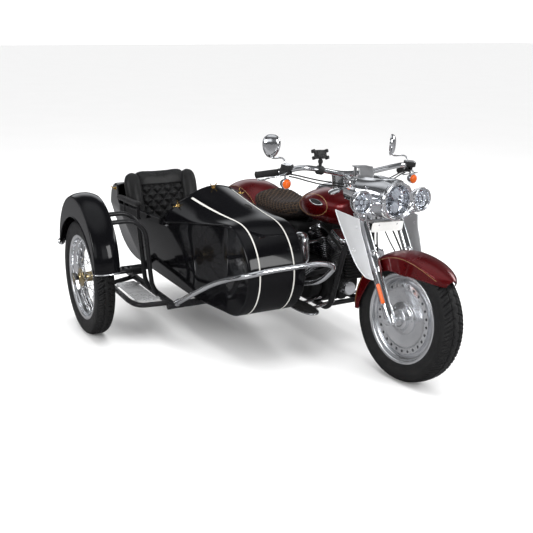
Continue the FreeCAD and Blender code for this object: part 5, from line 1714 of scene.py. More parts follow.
@dataclass
class SidecarWheel:
    """A chrome wire wheel: crossing spokes with nipples on a bronze hub."""

    centre: Array = field(default_factory=lambda: CAR_AXLE.copy())
    spokes: int = 40
    flange: float = 0.052
    half: float = 0.044
    rim: float = 0.205

    def build(self) -> None:
        """Makes the rim, hub, spokes and nipples."""
        rim = Shell("sidecar_rim")
        rim.grid(ring_of(rim_profile(0.088, 0.229, 0.016), self.centre, count=192), wrap_v=True)
        rim.build([CHROME], "sidecar_wheel", replaces=["sidecar_spoke_wheel"], sharp=32)
        hub = Shell("sidecar_hub")
        line = np.array([(-0.062, 0.0), (-0.062, 0.020), (-0.056, 0.024), (-0.050, 0.034), (-0.048, 0.053),
                         (-0.043, 0.053), (-0.040, 0.034), (-0.020, 0.028), (0.020, 0.028), (0.040, 0.034),
                         (0.043, 0.053), (0.048, 0.053), (0.050, 0.034), (0.058, 0.024), (0.062, 0.0)])
        hub.lathe(rounded(line, 0.002, steps=4), self.centre, (0, 1, 0), 72)
        hub.lathe([(-0.060, 0.0), (-0.060, 0.010), (-0.067, 0.012), (-0.073, 0.009), (-0.0748, 0.0)], self.centre,
                  (0, 1, 0), 24)
        hub.build([HUB_GOLD], "sidecar_wheel", sharp=30)
        wires = Shell("sidecar_spokes")
        k = np.arange(self.spokes)
        side = np.where(k % 2 == 0, 1.0, -1.0)
        lean = np.where((k // 2) % 2 == 0, 1.0, -1.0)
        rim_turn = 2 * math.pi * k / self.spokes
        hub_turn = rim_turn + lean * 1.05
        start = self.centre + np.stack([self.flange * 0.9 * np.cos(hub_turn), side * self.half,
                                        self.flange * 0.9 * np.sin(hub_turn)], axis=1)
        end = self.centre + np.stack([self.rim * np.cos(rim_turn), side * 0.010, self.rim * np.sin(rim_turn)], axis=1)
        for a, b in zip(start, end):
            t = np.array([0, 0.04, 0.86, 0.87, 1.0])[:, None]
            wires.bar(a + (b - a) * t, np.array([0.0018, 0.0018, 0.0018, 0.0034, 0.0038]), 8)
        wires.build([CHROME], "sidecar_wheel", sharp=50)


@dataclass
class Tyres:
    """The outfit's three tyres."""

    def build(self) -> None:
        """Makes each tyre at its own size."""
        # name, CAD node, body, middle, radius, width, bead seat's radius, what places it, grooves
        Tyre("front_tyre_cover", "front_tyre", "front_wheel", FRONT_AXLE, 0.321, 0.140, 0.216, turn_bars, 46).build()
        Tyre("rear_tyre_cover", "rear_tyre", "rear_wheel", REAR_AXLE, 0.326, 0.200, 0.216, settle, 58).build()
        Tyre("sidecar_tyre_cover", "sidecar_tyre", "sidecar_wheel", CAR_AXLE, 0.328, 0.108, 0.229, settle, 60).build()


# ---- front end --------------------------------------------------------------------------------------
@dataclass
class ForkLegs:
    """Two fork legs: smooth upper covers, wider fluted sliders, clamp bolts and an amber reflector."""

    spread: float = 0.120
    axle_along: float = 0.3509
    offset: float = 0.0393
    top: float = 0.948

    def along(self, y: float, first: float, last: float, ahead: float | None = None) -> tuple[Array, Array]:
        """Two points on a line beside a leg, measured up from the axle."""
        reach = self.offset if ahead is None else ahead
        return (on_fork(self.axle_along + first, reach, y), on_fork(self.axle_along + last, reach, y))

    def turned_leg(self, y: float, rows: Sequence) -> Array:
        """A surface of revolution round a leg from rows of (distance up from the axle, radius)."""
        return turned([(a, r) for a, r in rows], on_fork(self.axle_along, self.offset, y), AXIS_UP, 56)

    def build(self) -> None:
        """Makes both legs, the axle's ends, the reflector strips, the hoses, the caliper and the brackets."""
        legs = Shell("fork_legs_dressed")
        top = along_at(self.top, self.offset) - self.axle_along
        for y in (-self.spread, self.spread):
            slider = [(-0.026, 0.0), (-0.026, 0.020), (-0.020, 0.026), (0.020, 0.0275), (0.060, 0.0265),
                      (0.075, 0.0245), (0.245, 0.0245), (0.262, 0.0275), (0.318, 0.0282), (0.330, 0.0272),
                      (0.331, 0.0250), (0.336, 0.0250), (0.338, 0.0272), (0.348, 0.0272), (0.352, 0.0248)]
            upper = [(0.352, 0.0242), (0.360, 0.0244), (top - 0.03, 0.0244), (top - 0.02, 0.0265),
                     (top - 0.004, 0.0265), (top, 0.022), (top, 0.0)]
            legs.grid(self.turned_leg(y, rounded(np.array(slider + upper), 0.003, steps=3)), wrap_v=True)
            for way in (-1, 1):
                rib = [on_fork(self.axle_along + a, self.offset + 0.012 * way, y + 0.0225 * np.sign(y))
                       for a in np.linspace(0.08, 0.24, 12)]
                legs.bar(np.array(rib), np.array([0.001] + [0.0035] * 10 + [0.001]), 8)
            end = on_fork(self.axle_along, self.offset, y + 0.030 * np.sign(y))
            legs.lathe([(-0.004, 0.0), (-0.004, 0.014), (0.004, 0.014), (0.007, 0.011), (0.007, 0.0)], end,
                       (0, np.sign(y), 0), 32)
            for a in (0.024, -0.016):
                legs.screw(on_fork(self.axle_along + a, self.offset + 0.026, y), AXIS_FORWARD, 0.006, 0.004)
        legs.build([CHROME], "fork", turn_bars, replaces=["fork_legs"], sharp=28)
        strip = Shell("leg_reflectors")
        for side in (-1, 1):
            low, high = self.along(side * (self.spread + 0.022), 0.085, 0.185, self.offset + 0.006)
            middle = (low + high) / 2
            length = float(np.linalg.norm(high - low))
            strip.block(box_outline(0.019, length, 0.004), middle + np.array([0.006, side * 0.0075, 0.003]),
                        (0.45, side * 1.0, 0.27), 0.006, 0.002, up=AXIS_UP, crown=0.001)
        # painted glow: the amber finish's faint emission makes these reflector strips glow, though they are no lamps
        strip.build([AMBER], "fork", turn_bars)
        self.run_hoses()
        self.hang_caliper()

    def run_hoses(self) -> None:
        """Brake hoses and the speed cable: out of the lower clamp and down between the legs, behind the lamps."""
        free_cord("brake_hose_left", 0.0092,
                  ((-0.262, 0.040, 0.778), (-0.247, 0.044, 0.742), (-0.226, 0.058, 0.700), (-0.196, 0.068, 0.650),
                   (-0.172, 0.074, 0.612)))
        free_cord("brake_hose_right", 0.0092,
                  ((-0.266, -0.034, 0.776), (-0.250, -0.038, 0.740), (-0.228, -0.052, 0.700), (-0.206, -0.066, 0.655),
                   (-0.186, -0.076, 0.620)))
        free_cord("speed_cable", 0.0068,
                  ((-0.270, 0.000, 0.778), (-0.256, 0.002, 0.740), (-0.238, 0.014, 0.700), (-0.214, 0.030, 0.650),
                   (-0.190, 0.050, 0.604)))

    def hang_caliper(self) -> None:
        """A brake caliper behind the far leg, and brackets from the legs to the fender."""
        caliper = Shell("front_caliper")
        middle = FRONT_AXLE + np.array([-0.088, 0.072, 0.086])
        outline = rounded(np.array([(-0.052, -0.026), (0.048, -0.030), (0.058, -0.004), (0.040, 0.028),
                                    (-0.046, 0.030), (-0.060, 0.004)]), 0.012, closed=True, steps=5)
        caliper.block(outline, middle + np.array([0, 0.014, 0]), (0, 1, 0), 0.030, 0.006, up=(0.7, 0, 0.7))
        for s in (-0.022, 0.022):
            caliper.lathe([(0.0, 0.0), (0.0, 0.013), (0.003, 0.013), (0.005, 0.010), (0.005, 0.0)],
                          middle + np.array([s * 0.7, 0.014, -s * 0.7]), (0, 1, 0), 24)
        caliper.build([ENGINE], "fork", turn_bars)
        lugs = Shell("fender_brackets")
        for side in (-1, 1):
            foot = on_fork(self.axle_along + 0.255, self.offset - 0.012, side * (self.spread - 0.018))
            lugs.block(box_outline(0.030, 0.060, 0.006), foot, (0, side, 0), 0.008, 0.002, up=AXIS_UP)
            for a in (-0.018, 0.018):
                lugs.screw(foot + AXIS_UP * a, (0, side, 0), 0.0055, 0.004)
        lugs.build([CHROME], "fork", turn_bars, sharp=28)


@dataclass
class Deflectors:
    """Curved polished wedges beside the fork, fanning rearward from a narrow foot."""

    outline: tuple[tuple[float, float], ...] = (
        (-0.208, 0.785), (-0.190, 0.720), (-0.170, 0.680), (-0.151, 0.640), (-0.116, 0.560), (-0.090, 0.506),
        (-0.096, 0.496), (-0.150, 0.505), (-0.207, 0.542), (-0.288, 0.640), (-0.353, 0.733), (-0.392, 0.798))
    lean: float = 4.75

    def build(self) -> None:
        """Makes both wedges: rows run between the front and the rear edge, bowed outwards between them."""
        edge = np.array(self.outline)
        front = through(edge[:6], 40)
        rear = through(edge[:6:-1], 40)
        t = np.linspace(0, 1, 17)[None, :, None]
        flat = front[:, None] * (1 - t) + rear[:, None] * t
        bow = 0.006 * np.sin(math.pi * t[..., 0]) ** 0.8 * np.ones((40, 1))
        turn = math.radians(self.lean)
        y = 0.1735 + (flat[..., 1] - 0.5) * math.tan(turn) + bow * 0.5
        panel = np.stack([flat[..., 0], -y, flat[..., 1]], axis=-1)
        wedge = Shell("fork_wedges")
        wedge.plate(panel, 0.0024, (-0.25, 0.0, 0.65))
        wedge.hoop(resampled(border(panel), 160, closed=True), 0.0026, 8)
        for x, z in ((-0.128, 0.524), (-0.226, 0.742)):
            spot = np.array([x, -(0.1735 + (z - 0.5) * math.tan(turn)) - 0.0015, z])
            wedge.screw(spot, (0, -1, 0), 0.0085, 0.004)
        wedge.build([SILVER], "fork", turn_bars, replaces=["fork_deflectors"], sharp=30, mirror=True)


@dataclass
class Lamps:
    """The nacelle, the headlamp with two projectors, and two passing lamps on a bar."""

    head: tuple[float, float, float] = (-0.158, 0.0, 0.875)
    head_r: float = 0.097
    side: tuple[float, float, float] = (-0.189, 0.197, 0.869)
    side_r: float = 0.062

    def build(self) -> None:
        """Makes the hood, the three lamps and their bar."""
        self.make_hood()
        self.make_headlamp()
        self.make_passing_lamps()

    def make_hood(self) -> None:
        """The chrome hood: a skin over rounded sections that widen and flatten to the rear."""
        # x, half-width, underside, top, corner
        sections = ((-0.166, 0.0965, 0.7790, 0.9720, 0.094), (-0.200, 0.104, 0.777, 0.976, 0.090),
                    (-0.248, 0.122, 0.782, 0.972, 0.072), (-0.315, 0.146, 0.806, 0.967, 0.060),
                    (-0.388, 0.160, 0.828, 0.968, 0.050))
        skin = lofted([ring_at(*row, 120) for row in sections], 60)
        lift = np.clip((skin[..., 2] - 0.90) / 0.07, 0, 1)
        ridge = 0.0035 * np.exp(-((np.abs(skin[..., 1]) - 0.055) / 0.006) ** 2) * lift
        skin[..., 2] += ridge
        hood = Shell("headlamp_hood")
        for rib in np.linspace(-0.045, 0.045, 7):
            skin[..., 2] += 0.0012 * np.exp(-((skin[..., 1] - rib) / 0.0022) ** 2) * lift
        hood.plate(skin, 0.003, (-0.26, 0.0, 0.87), wrap_v=True)
        back = skin[-1].mean(axis=0)
        hood.grid(np.stack([back + (skin[-1] - back) * s + np.array([d, 0, 0]) for s, d in
                            ((0.0, 0.001), (0.97, 0.001), (0.985, 0.0), (0.97, -0.001), (0.0, -0.001))]), wrap_v=True)
        for s in (-1, 1):
            for x, z in ((-0.262, 0.935), (-0.345, 0.925)):
                half = 0.1285 if x > -0.3 else 0.152
                hood.screw(np.array([x, s * half, z]), (0.15, s, 0.1), 0.007, 0.004)
            louvre = np.array([(-0.300, s * 0.149, 0.872), (-0.245, s * 0.128, 0.868), (-0.205, s * 0.110, 0.862)])
            hood.bar(through(louvre, 20), np.linspace(0.002, 0.006, 20), 10)
        hood.build([CHROME], "fork", turn_bars, replaces=["nacelle"], sharp=40)

    @staticmethod
    def circle(radius: float) -> Array:
        """A ring of points that looks along X."""
        flat = round_outline(radius, 96)
        return np.stack([np.zeros(96), flat[:, 0], flat[:, 1]], axis=1)

    def glass_dome(self, centre: Array, radius: float, rise: float) -> Array:
        """A clear dome: a low parabola with a thickness, turned about X.

        Args:
            centre: the middle of its foot.
            radius: of its foot.
            rise: how far its middle stands out.

        Returns:
            A grid that closes the second way.
        """
        r = np.linspace(radius, 0.0, 16)
        outer = rise * (1 - (r / radius) ** 2)
        rows = np.vstack([np.stack([outer, r], axis=1), np.stack([outer[::-1] - 0.003, r[::-1]], axis=1)])
        return turned(rows, centre, (1, 0, 0), 72)

    def make_headlamp(self) -> None:
        """Bezel, bowl, two stacked projectors, side strips and the lens."""
        c = np.array(self.head)
        r = self.head_r
        bezel = Shell("headlamp_bezel")
        bezel.grid(ring_of(rounded(np.array([(-0.030, r + 0.0005), (-0.004, r + 0.0015), (0.006, r - 0.003),
                                             (0.008, r - 0.008), (0.001, r - 0.0105), (0.004, r - 0.014),
                                             (0.002, r - 0.018), (-0.010, r - 0.018), (-0.030, r - 0.004)]), 0.002,
                                   closed=True, steps=4), c, (1, 0, 0), 120), wrap_v=True)
        bezel.hoop(c + np.array([0.0035, 0, 0]) + self.circle(r - 0.0045), 0.0048, 14)
        bezel.build([CHROME], "fork", turn_bars, replaces=["headlamp"], sharp=35)
        bowl = Shell("headlamp_bowl")
        q = r - 0.017
        bowl.lathe([(-0.002, q), (-0.012, q - 0.002), (-0.030, q * 0.86), (-0.042, q * 0.55), (-0.046, 0.0),
                    (-0.052, 0.0), (-0.050, q), (-0.002, q)], c, (1, 0, 0), 96)
        for z in (0.034, -0.034):
            spot = c + np.array([-0.030, 0, z])
            bowl.grid(ring_of([(-0.014, 0.0255), (0.014, 0.0255), (0.017, 0.0285), (0.014, 0.0315), (-0.014, 0.0330)],
                              spot, (1, 0, 0), 48), wrap_v=True)
        for s in (-1, 1):
            for k in range(4):
                spot = c + np.array([-0.024, s * (0.046 + 0.006 * (k in (1, 2))), -0.027 + 0.018 * k])
                bowl.block(box_outline(0.018, 0.014, 0.004), spot, (1, -s * 0.25, 0), 0.012, 0.002)
        bowl.build([REFLECTOR], "fork", turn_bars, sharp=35)
        lit = Shell("headlamp_elements")
        for z in (0.034, -0.034):
            spot = c + np.array([-0.022, 0, z])
            t = np.linspace(0, math.pi / 2, 10)
            lit.lathe(np.stack([0.017 * np.sin(t), 0.0245 * np.cos(t)], axis=1), spot, (1, 0, 0), 40)
        for s in (-1, 1):
            for k in range(4):
                spot = c + np.array([-0.0215, s * (0.046 + 0.006 * (k in (1, 2))), -0.027 + 0.018 * k])
                lit.block(box_outline(0.012, 0.008, 0.003), spot, (1, -s * 0.25, 0), 0.004, 0.001)
        lit.build([LIT], "fork", turn_bars, sharp=40)
        glass = Shell("headlamp_lens")
        glass.grid(self.glass_dome(c + np.array([-0.002, 0, 0]), r - 0.0165, 0.013), wrap_v=True)
        glass.build([GLASS], "fork", turn_bars, sharp=60)

    def make_passing_lamps(self) -> None:
        """Two round lamps with seven cells each, and the chrome bar that carries them."""
        shells = Shell("passing_lamp_shells")
        cells = Shell("passing_lamp_cells")
        lenses = Shell("passing_lamp_lenses")
        r = self.side_r
        for s in (-1, 1):
            c = np.array(self.side) * [1, s, 1]
            shells.lathe([(-0.070, 0.0), (-0.069, 0.016), (-0.060, 0.034), (-0.042, 0.050), (-0.020, 0.0585),
                          (-0.006, r - 0.001), (0.0, r), (0.003, r - 0.003), (0.003, r - 0.007), (-0.003, r - 0.010),
                          (-0.001, r - 0.012), (-0.010, r - 0.013), (-0.022, 0.034), (-0.026, 0.0)], c, (1, 0, 0), 96)
            shells.hoop(c + self.circle(r - 0.0042), 0.0042, 12)
            for k in range(7):
                turn = k * math.pi / 3
                reach = 0.0 if k == 6 else 0.029
                spot = c + np.array([-0.016, reach * math.cos(turn), reach * math.sin(turn)])
                shells.grid(ring_of([(-0.006, 0.0095), (0.004, 0.0115), (0.005, 0.0132), (-0.008, 0.0140)], spot,
                                    (1, 0, 0), 24), wrap_v=True)
                cells.lathe([(-0.004, 0.0092), (-0.001, 0.0088), (0.002, 0.005), (0.003, 0.0)], spot, (1, 0, 0), 20)
            lenses.grid(self.glass_dome(c + np.array([-0.006, 0, 0]), r - 0.0115, 0.007), wrap_v=True)
        path = through([(-0.214, 0.197, 0.815), (-0.236, 0.190, 0.800), (-0.252, 0.130, 0.768), (-0.256, 0.0, 0.757),
                        (-0.252, -0.130, 0.768), (-0.236, -0.190, 0.800), (-0.214, -0.197, 0.815)], 100)
        shells.bar(path, 0.0105, 20)
        for s in (-1, 1):
            shells.lathe([(-0.012, 0.0), (-0.012, 0.013), (0.012, 0.013), (0.012, 0.0)],
                         np.array([-0.214, s * 0.197, 0.812]), (0, 0, 1), 32)
        shells.build([CHROME], "fork", turn_bars, replaces=["passing_lamps"], sharp=35)
        cells.build([LIT], "fork", turn_bars, sharp=40)
        lenses.build([GLASS], "fork", turn_bars, sharp=60)


def fender_skin(cols: int, centre: Callable[[Array], Array], radius: Array, half: Array, drop: Array,
                turn: Array, bow: float) -> Array:
    """A fender's skin: at each angle a crowned top that rolls over into side walls.

    Across, a share from -1 to 1 first runs over the top, whose height falls by `bow` times the share squared,
    then round the shoulder by a quarter of a superellipse, then down the wall by `drop`.

    Args:
        cols: steps across.
        centre: the arc's middle for each angle, as (x, z) rows.
        radius: outer radius at each angle.
        half: half-width at each angle.
        drop: depth of the side wall at each angle.
        turn: angles in radians, 0 forward and rising over the top.
        bow: height of the crown.

    Returns:
        A grid, one row for each angle, by cols.
    """
    share = np.linspace(-1, 1, cols)[None]
    reach = np.abs(share)
    bend = np.clip(reach / 0.62, 0, 1)
    roll = np.clip((reach - 0.62) / 0.38, 0, 1)
    y = np.sign(share) * half[:, None] * (bend * 0.93 + 0.07 * np.sin(np.clip(roll * 3.2, 0, 1) * math.pi / 2))
    fall = bow * bend ** 2.4 + 0.012 * (1 - np.cos(np.clip(roll * 3.2, 0, 1) * math.pi / 2))
    fall = fall + np.clip(roll - 0.31, 0, 1) / 0.69 * drop[:, None]
    r = radius[:, None] - fall
    middle = centre(turn)
    return np.stack([middle[:, :1] + r * np.cos(turn)[:, None], y + 0 * r, middle[:, 1:] + r * np.sin(turn)[:, None]],
                    axis=-1)


@dataclass
class FrontFender:
    """The red front fender: a long nose, deep side walls and a tail close behind the tyre."""

    half: float = 0.087

    def build(self) -> None:
        """Makes the fender in two arcs that meet above the axle, its rolled edge and pin line."""
        turn = np.radians(np.linspace(56, 184, 110))
        radius = np.where(turn < math.pi / 2, 0.480, 0.340)
        rise = np.where(turn < math.pi / 2, 0.176, 0.316)

        def centre(angle: Array) -> Array:
            """The arcs' middles: the front one lies lower, below the axle."""
            return np.stack([np.zeros_like(angle), rise], axis=1)

        degrees = np.degrees(turn)
        drop = np.interp(degrees, [56, 62, 72, 84, 90, 98, 110, 130, 160, 184],
                         [0.004, 0.022, 0.050, 0.072, 0.076, 0.070, 0.060, 0.052, 0.046, 0.020])
        half = self.half * np.interp(degrees, [56, 57, 59, 62, 67, 74, 176, 184],
                                     [0.34, 0.50, 0.66, 0.80, 0.92, 1, 1, 0.92])
        skin = fender_skin(61, centre, radius - 0.002, half, drop, turn, 0.020)
        fender = Shell("front_fender_skin")
        fender.plate(skin, 0.0025, (0.0, 0.0, 0.30))
        fender.hoop(resampled(border(skin), 300, closed=True), 0.0028, 8)
        fender.build([RED], "fork", turn_bars, replaces=["front_fender"], sharp=50)
        line = Shell("fender_pin_line")
        for col in (8, 52):
            rows = slice(4, 106)
            side = skin[rows, col]
            out = unit(np.cross(np.gradient(skin, axis=1), np.gradient(skin, axis=0)))[rows, col]
            out = out * np.sign((out * (side - np.array([0, 0, 0.3]))).sum(axis=1, keepdims=True))
            along = unit(np.gradient(side, axis=0))
            across = np.cross(along, out)
            offsets = np.array([-0.0008, 0.0, 0.0008])[None, :, None]
            line.plate(side[:, None] + across[:, None] * offsets + out[:, None] * 0.0008, 0.0012, (0.0, 0.0, 0.30))
        line.build([PIN_LINE], "fork", turn_bars)


@dataclass
class Bars:
    """The handlebar with its grips, levers, mirrors, signals, holder and the plate above the clamps."""

    line: tuple[tuple[float, float, float], ...] = (
        (-0.508, 0.0, 0.960), (-0.508, 0.090, 0.960), (-0.494, 0.250, 0.990), (-0.500, 0.345, 1.001),
        (-0.567, 0.430, 0.969), (-0.684, 0.492, 0.938))

    def build(self) -> None:
        """Makes each piece on the bar."""
        self.bend_bar()
        self.fit_levers()
        self.fit_mirrors()
        self.fit_signals()
        self.fit_holder()
        self.run_cables()
        self.fit_plates()

    def bend_bar(self) -> None:
        """The bar and its ribbed grips."""
        half = np.array(self.line)
        path = resampled(rounded(np.vstack([mirrored(half[:0:-1]), half[1:]]), 0.055, steps=9), 220)
        bar = Shell("handlebar_tube")
        bar.bar(path, 0.0140, 24)
        bar.build([CHROME], "fork", turn_bars, replaces=["handlebar"])
        grips = Shell("grips")
        start, end = half[-2], half[-1]
        out = unit(end - start)
        length = float(np.linalg.norm(end - start))
        a = np.linspace(0.004, length + 0.004, 90)
        r = 0.0168 + 0.0007 * np.clip(np.sin(a * 2 * math.pi / 0.0085) * 4, -1, 1)
        r[:3], r[-4:] = [0.013, 0.019, 0.019], [0.0185, 0.0185, 0.016, 0.008]
        grips.grid(turned(np.stack([a, r], axis=1), start, out, 28), wrap_v=True, caps=True)
        grips.build([RUBBER], "fork", turn_bars, replaces=["hand_grips"], sharp=45, mirror=True)

    def fit_levers(self) -> None:
        """Switch housings in two halves with buttons, fluid reservoirs, and blade-shaped chrome levers."""
        start, end = np.array(self.line[-2]), np.array(self.line[-1])
        out = unit(end - start)
        box = Shell("switch_housings")
        for first, last, r in ((-0.046, -0.004, 0.0225), (-0.060, -0.047, 0.0205)):
            box.lathe([(first, 0.0135), (first, r - 0.003), (first + 0.003, r), (last - 0.003, r), (last, r - 0.003),
                       (last, 0.0135)], start, out, 32)
        middle = start - out * 0.030 + np.array([0.013, 0, 0.024])
        box.block(squircle(0.031, 0.025, 0.010, 40), middle + np.array([0, 0, 0.013]), (0.12, 0.0, 1.0), 0.028, 0.004,
                  up=out)
        box.block(squircle(0.015, 0.012, 0.006, 28), start - out * 0.02 + np.array([-0.020, 0, 0.010]),
                  (-1.0, 0.2, 0.5), 0.010, 0.002)
        box.build([PLASTIC], "fork", turn_bars, replaces=["bar_controls"], mirror=True)
        lever = Shell("hand_levers")
        path = through([start - out * 0.034 + np.array([0.020, 0.006, -0.002]),
                        start + np.array([0.030, 0.022, -0.014]), start + np.array([0.022, 0.062, -0.022]),
                        end + np.array([0.036, 0.000, -0.020]), end + np.array([0.026, 0.012, -0.022])], 60)
        thick = np.interp(np.linspace(0, 1, 60), [0, 0.12, 0.8, 0.92, 0.97, 1],
                          [0.006, 0.0075, 0.0055, 0.006, 0.0075, 0.003])
        ring = carried(squircle(1.0, 0.62, 0.6, 16), path)
        lever.grid(path[:, None] + (ring - path[:, None]) * thick[:, None, None], wrap_v=True, caps=True)
        lever.screw(start - out * 0.034 + np.array([0.020, 0.006, 0.006]), (0, 0, 1), 0.006, 0.003)
        lid = start - out * 0.030 + np.array([0.0135, 0, 0.0382])
        lever.block(squircle(0.027, 0.021, 0.008, 40), lid, (0.12, 0.0, 1.0), 0.003, 0.001, up=out)
        lever.build([CHROME], "fork", turn_bars, mirror=True)

    def fit_mirrors(self) -> None:
        """Egg-shaped heads with chrome backs, on thin bent stems."""
        toe = math.radians(38)
        face = np.array([-math.cos(toe), -math.sin(toe), 0.0])
        shells, glass = Shell("mirror_shells"), Shell("mirror_glasses")
        for side in (-1, 1):
            head = np.array([-0.679, 0.415 * side, 1.084])
            n = face * [1, side, 1]
            u, v, n = axes_from(n)
            t = np.linspace(0, 2 * math.pi, 64, endpoint=False)
            wide = 0.046 * (1 + 0.17 * np.sin(t)) * np.abs(np.cos(t)) ** 0.86 * np.sign(np.cos(t))
            egg = np.stack([wide, 0.060 * np.sin(t)], axis=1)
            depth = np.concatenate([[0.008, 0.0092], 0.010 - 0.026 * np.sin(np.linspace(0, math.pi / 2, 12))])
            size = np.concatenate([[0.90, 0.965], np.cos(np.linspace(0, math.pi / 2, 12)) ** 0.62])
            rows = head + size[:, None, None] * (egg[:, :1] * u + egg[:, 1:] * v)[None] + depth[:, None, None] * n
            closed = np.concatenate([np.broadcast_to(head + 0.006 * n, rows[:1].shape), rows])
            shells.grid(closed, wrap_v=True)
            glass.block(egg * 0.905, head + n * 0.0085, n, 0.003, 0.001)
            foot = np.array([-0.546, 0.414 * side, 1.003])
            stem = through([foot, foot + [-0.010, 0.001 * side, 0.024], foot + [-0.070, 0.001 * side, 0.030],
                            head + [0.006, 0, -0.050], head + [0.008, 0, -0.020]], 40)
            shells.bar(stem, 0.0043, 12)
            shells.lathe([(-0.022, 0.0), (-0.022, 0.009), (0.0, 0.008), (0.006, 0.0055), (0.006, 0)], foot, (0, 0, 1),
                         20)
        shells.build([CHROME], "fork", turn_bars, replaces=["mirrors"], sharp=50)
        glass.build([MIRROR], "fork", turn_bars)

    def fit_signals(self) -> None:
        """Bullet signals: amber domes in chrome cups on short stems."""
        cups, lenses = Shell("signal_cups"), Shell("signal_lenses")
        for side in (-1, 1):
            c = np.array([-0.514, 0.431 * side, 0.918])
            cups.lathe([(-0.034, 0.0), (-0.032, 0.010), (-0.024, 0.018), (-0.008, 0.0248), (0.008, 0.0268),
                        (0.011, 0.0265), (0.011, 0.0235), (0.002, 0.0225), (0.002, 0.0)], c, (1, 0, 0), 48)
            stem = through([c, c + [-0.008, -0.004 * side, 0.024], [-0.545, 0.420 * side, 0.966]], 16)
            cups.bar(stem, 0.006, 12)
            t = np.linspace(0, math.pi / 2, 12)
            lenses.lathe(np.vstack([[(0.003, 0.0)], [(0.003, 0.0238)],
                                    np.stack([0.010 + 0.0138 * np.sin(t), 0.0238 * np.cos(t)], axis=1)]), c,
                         (1, 0, 0), 48)
        cups.build([CHROME], "fork", turn_bars, replaces=["turn_signals"], sharp=45)
        lenses.build([AMBER], "fork", turn_bars, sharp=60)

    def fit_holder(self) -> None:
        """A phone holder: clamp, ball stem, and a tray with four jaws."""
        holder = Shell("phone_clamp")
        foot = np.array([-0.496, -0.235, 0.984])
        holder.lathe([(-0.016, 0.0128), (-0.016, 0.021), (-0.012, 0.023), (0.012, 0.023), (0.016, 0.021),
                      (0.016, 0.0128), (-0.016, 0.0128)], foot, (0.02, 1, -0.15), 32)
        holder.lathe([(0.012, 0.0), (0.012, 0.010), (0.026, 0.008), (0.032, 0.0085), (0.040, 0.0125), (0.048, 0.0125),
                      (0.056, 0.008), (0.062, 0.007), (0.062, 0)], foot, (0, 0, 1), 28)
        tilt = math.radians(20)
        n = np.array([math.cos(tilt), 0.0, math.sin(tilt)])
        middle = foot + np.array([0.002, -0.006, 0.080])
        u, v, n = axes_from(n)
        holder.block(squircle(0.036, 0.022, 0.006, 40), middle + n * 0.008, n, 0.015, 0.003)
        holder.block(squircle(0.022, 0.014, 0.004, 32), middle + n * 0.0115, n, 0.006, 0.002)
        for su in (-1, 1):
            for sv in (-1, 1):
                spot = middle + u * su * 0.041 + v * sv * 0.017
                holder.block(squircle(0.0068, 0.0085, 0.003, 24), spot + n * 0.0105, n, 0.022, 0.002)
                holder.bar(np.array([spot - u * su * 0.014, spot + u * su * 0.002]), 0.0036, 10)
        holder.build([PLASTIC], "fork", turn_bars, replaces=["phone_holder"])

    def run_cables(self) -> None:
        """Control cables out of each switch housing, sagging along the bar to just behind the hood."""
        for side, hand in ((-1, "right"), (1, "left")):
            for drop, kind in ((0.000, "upper"), (0.012, "lower")):
                route = tuple((x, y * side, z - drop * share) for x, y, z, share in
                              ((-0.536, 0.395, 0.962, 1.0), (-0.528, 0.362, 0.958, 1.0), (-0.506, 0.300, 0.944, 1.3),
                               (-0.480, 0.225, 0.930, 1.5), (-0.452, 0.150, 0.922, 1.0), (-0.424, 0.088, 0.912, 1.0)))
                free_cord(f"control_cable_{hand}_{kind}", 0.0074, route)

    def fit_plates(self) -> None:
        """The brushed plate above the hood, and the blank number plate with its rolled rim and bolts."""
        tilt = math.radians(20)
        n = np.array([math.cos(tilt), 0.0, math.sin(tilt)])
        cover = Shell("clamp_plate")
        cover.block(squircle(0.049, 0.026, 0.006, 48), np.array([-0.4068, 0.0, 0.9852]), n, 0.006, 0.0015)
        cover.block(squircle(0.048, 0.030, 0.006, 48), np.array([-0.443, 0.0, 1.0062]), (0.05, 0, 1), 0.005, 0.0015,
                    up=(1, 0, 0))
        for y in (-0.036, 0.036):
            cover.lathe([(0.0, 0), (0.0, 0.008), (0.070, 0.008), (0.070, 0)], np.array([-0.455, y, 0.931]), (0, 0, 1),
                        20)
        cover.build([STEEL], "fork", turn_bars, replaces=["clamp_cover"])
        lean = math.radians(8)
        n = np.array([math.cos(lean), 0.0, -math.sin(lean)])
        u, v, n = axes_from(n)
        middle = np.array([-0.2118, 0.0, 0.735])
        plate = Shell("blank_plate")
        plate.block(squircle(0.1045, 0.0258, 0.006, 80), middle, n, 0.0022, 0.0007)
        edge = squircle(0.1025, 0.0238, 0.005, 120)
        plate.hoop(middle + edge[:, :1] * u + edge[:, 1:] * v, 0.0011, 6)
        plate.build([PLATE], "fork", turn_bars, replaces=["number_plate"])
        bolts = Shell("plate_bolts")
        for y in (-0.06, 0.06):
            bolts.screw(middle + u * y + v * 0.012, n, 0.0042, 0.0018)
            bolts.bar(np.array([[-0.2590, y, 0.7505], [-0.2140, y, 0.7492]]), 0.0042, 10)
        bolts.build([CHROME], "fork", turn_bars)


# ---- bodywork of the motorcycle ---------------------------------------------------------------------
def on_grid(grid: Array, rows: Array, cols: Array) -> Array:
    """Points on a skin at fractional rows and columns, the columns going round.

    Args:
        grid: rows of rings.
        rows: fractional row numbers.
        cols: fractional column numbers, any whole turns off.

    Returns:
        One point for each pair, mixed from its four neighbours.
    """
    r0 = np.clip(np.floor(rows).astype(int), 0, len(grid) - 2)
    c0 = np.floor(cols).astype(int)
    a, b = (rows - r0)[:, None], (cols - c0)[:, None]
    wide = grid.shape[1]
    near = grid[r0, c0 % wide] * (1 - b) + grid[r0, (c0 + 1) % wide] * b
    far = grid[r0 + 1, c0 % wide] * (1 - b) + grid[r0 + 1, (c0 + 1) % wide] * b
    return near * (1 - a) + far * a


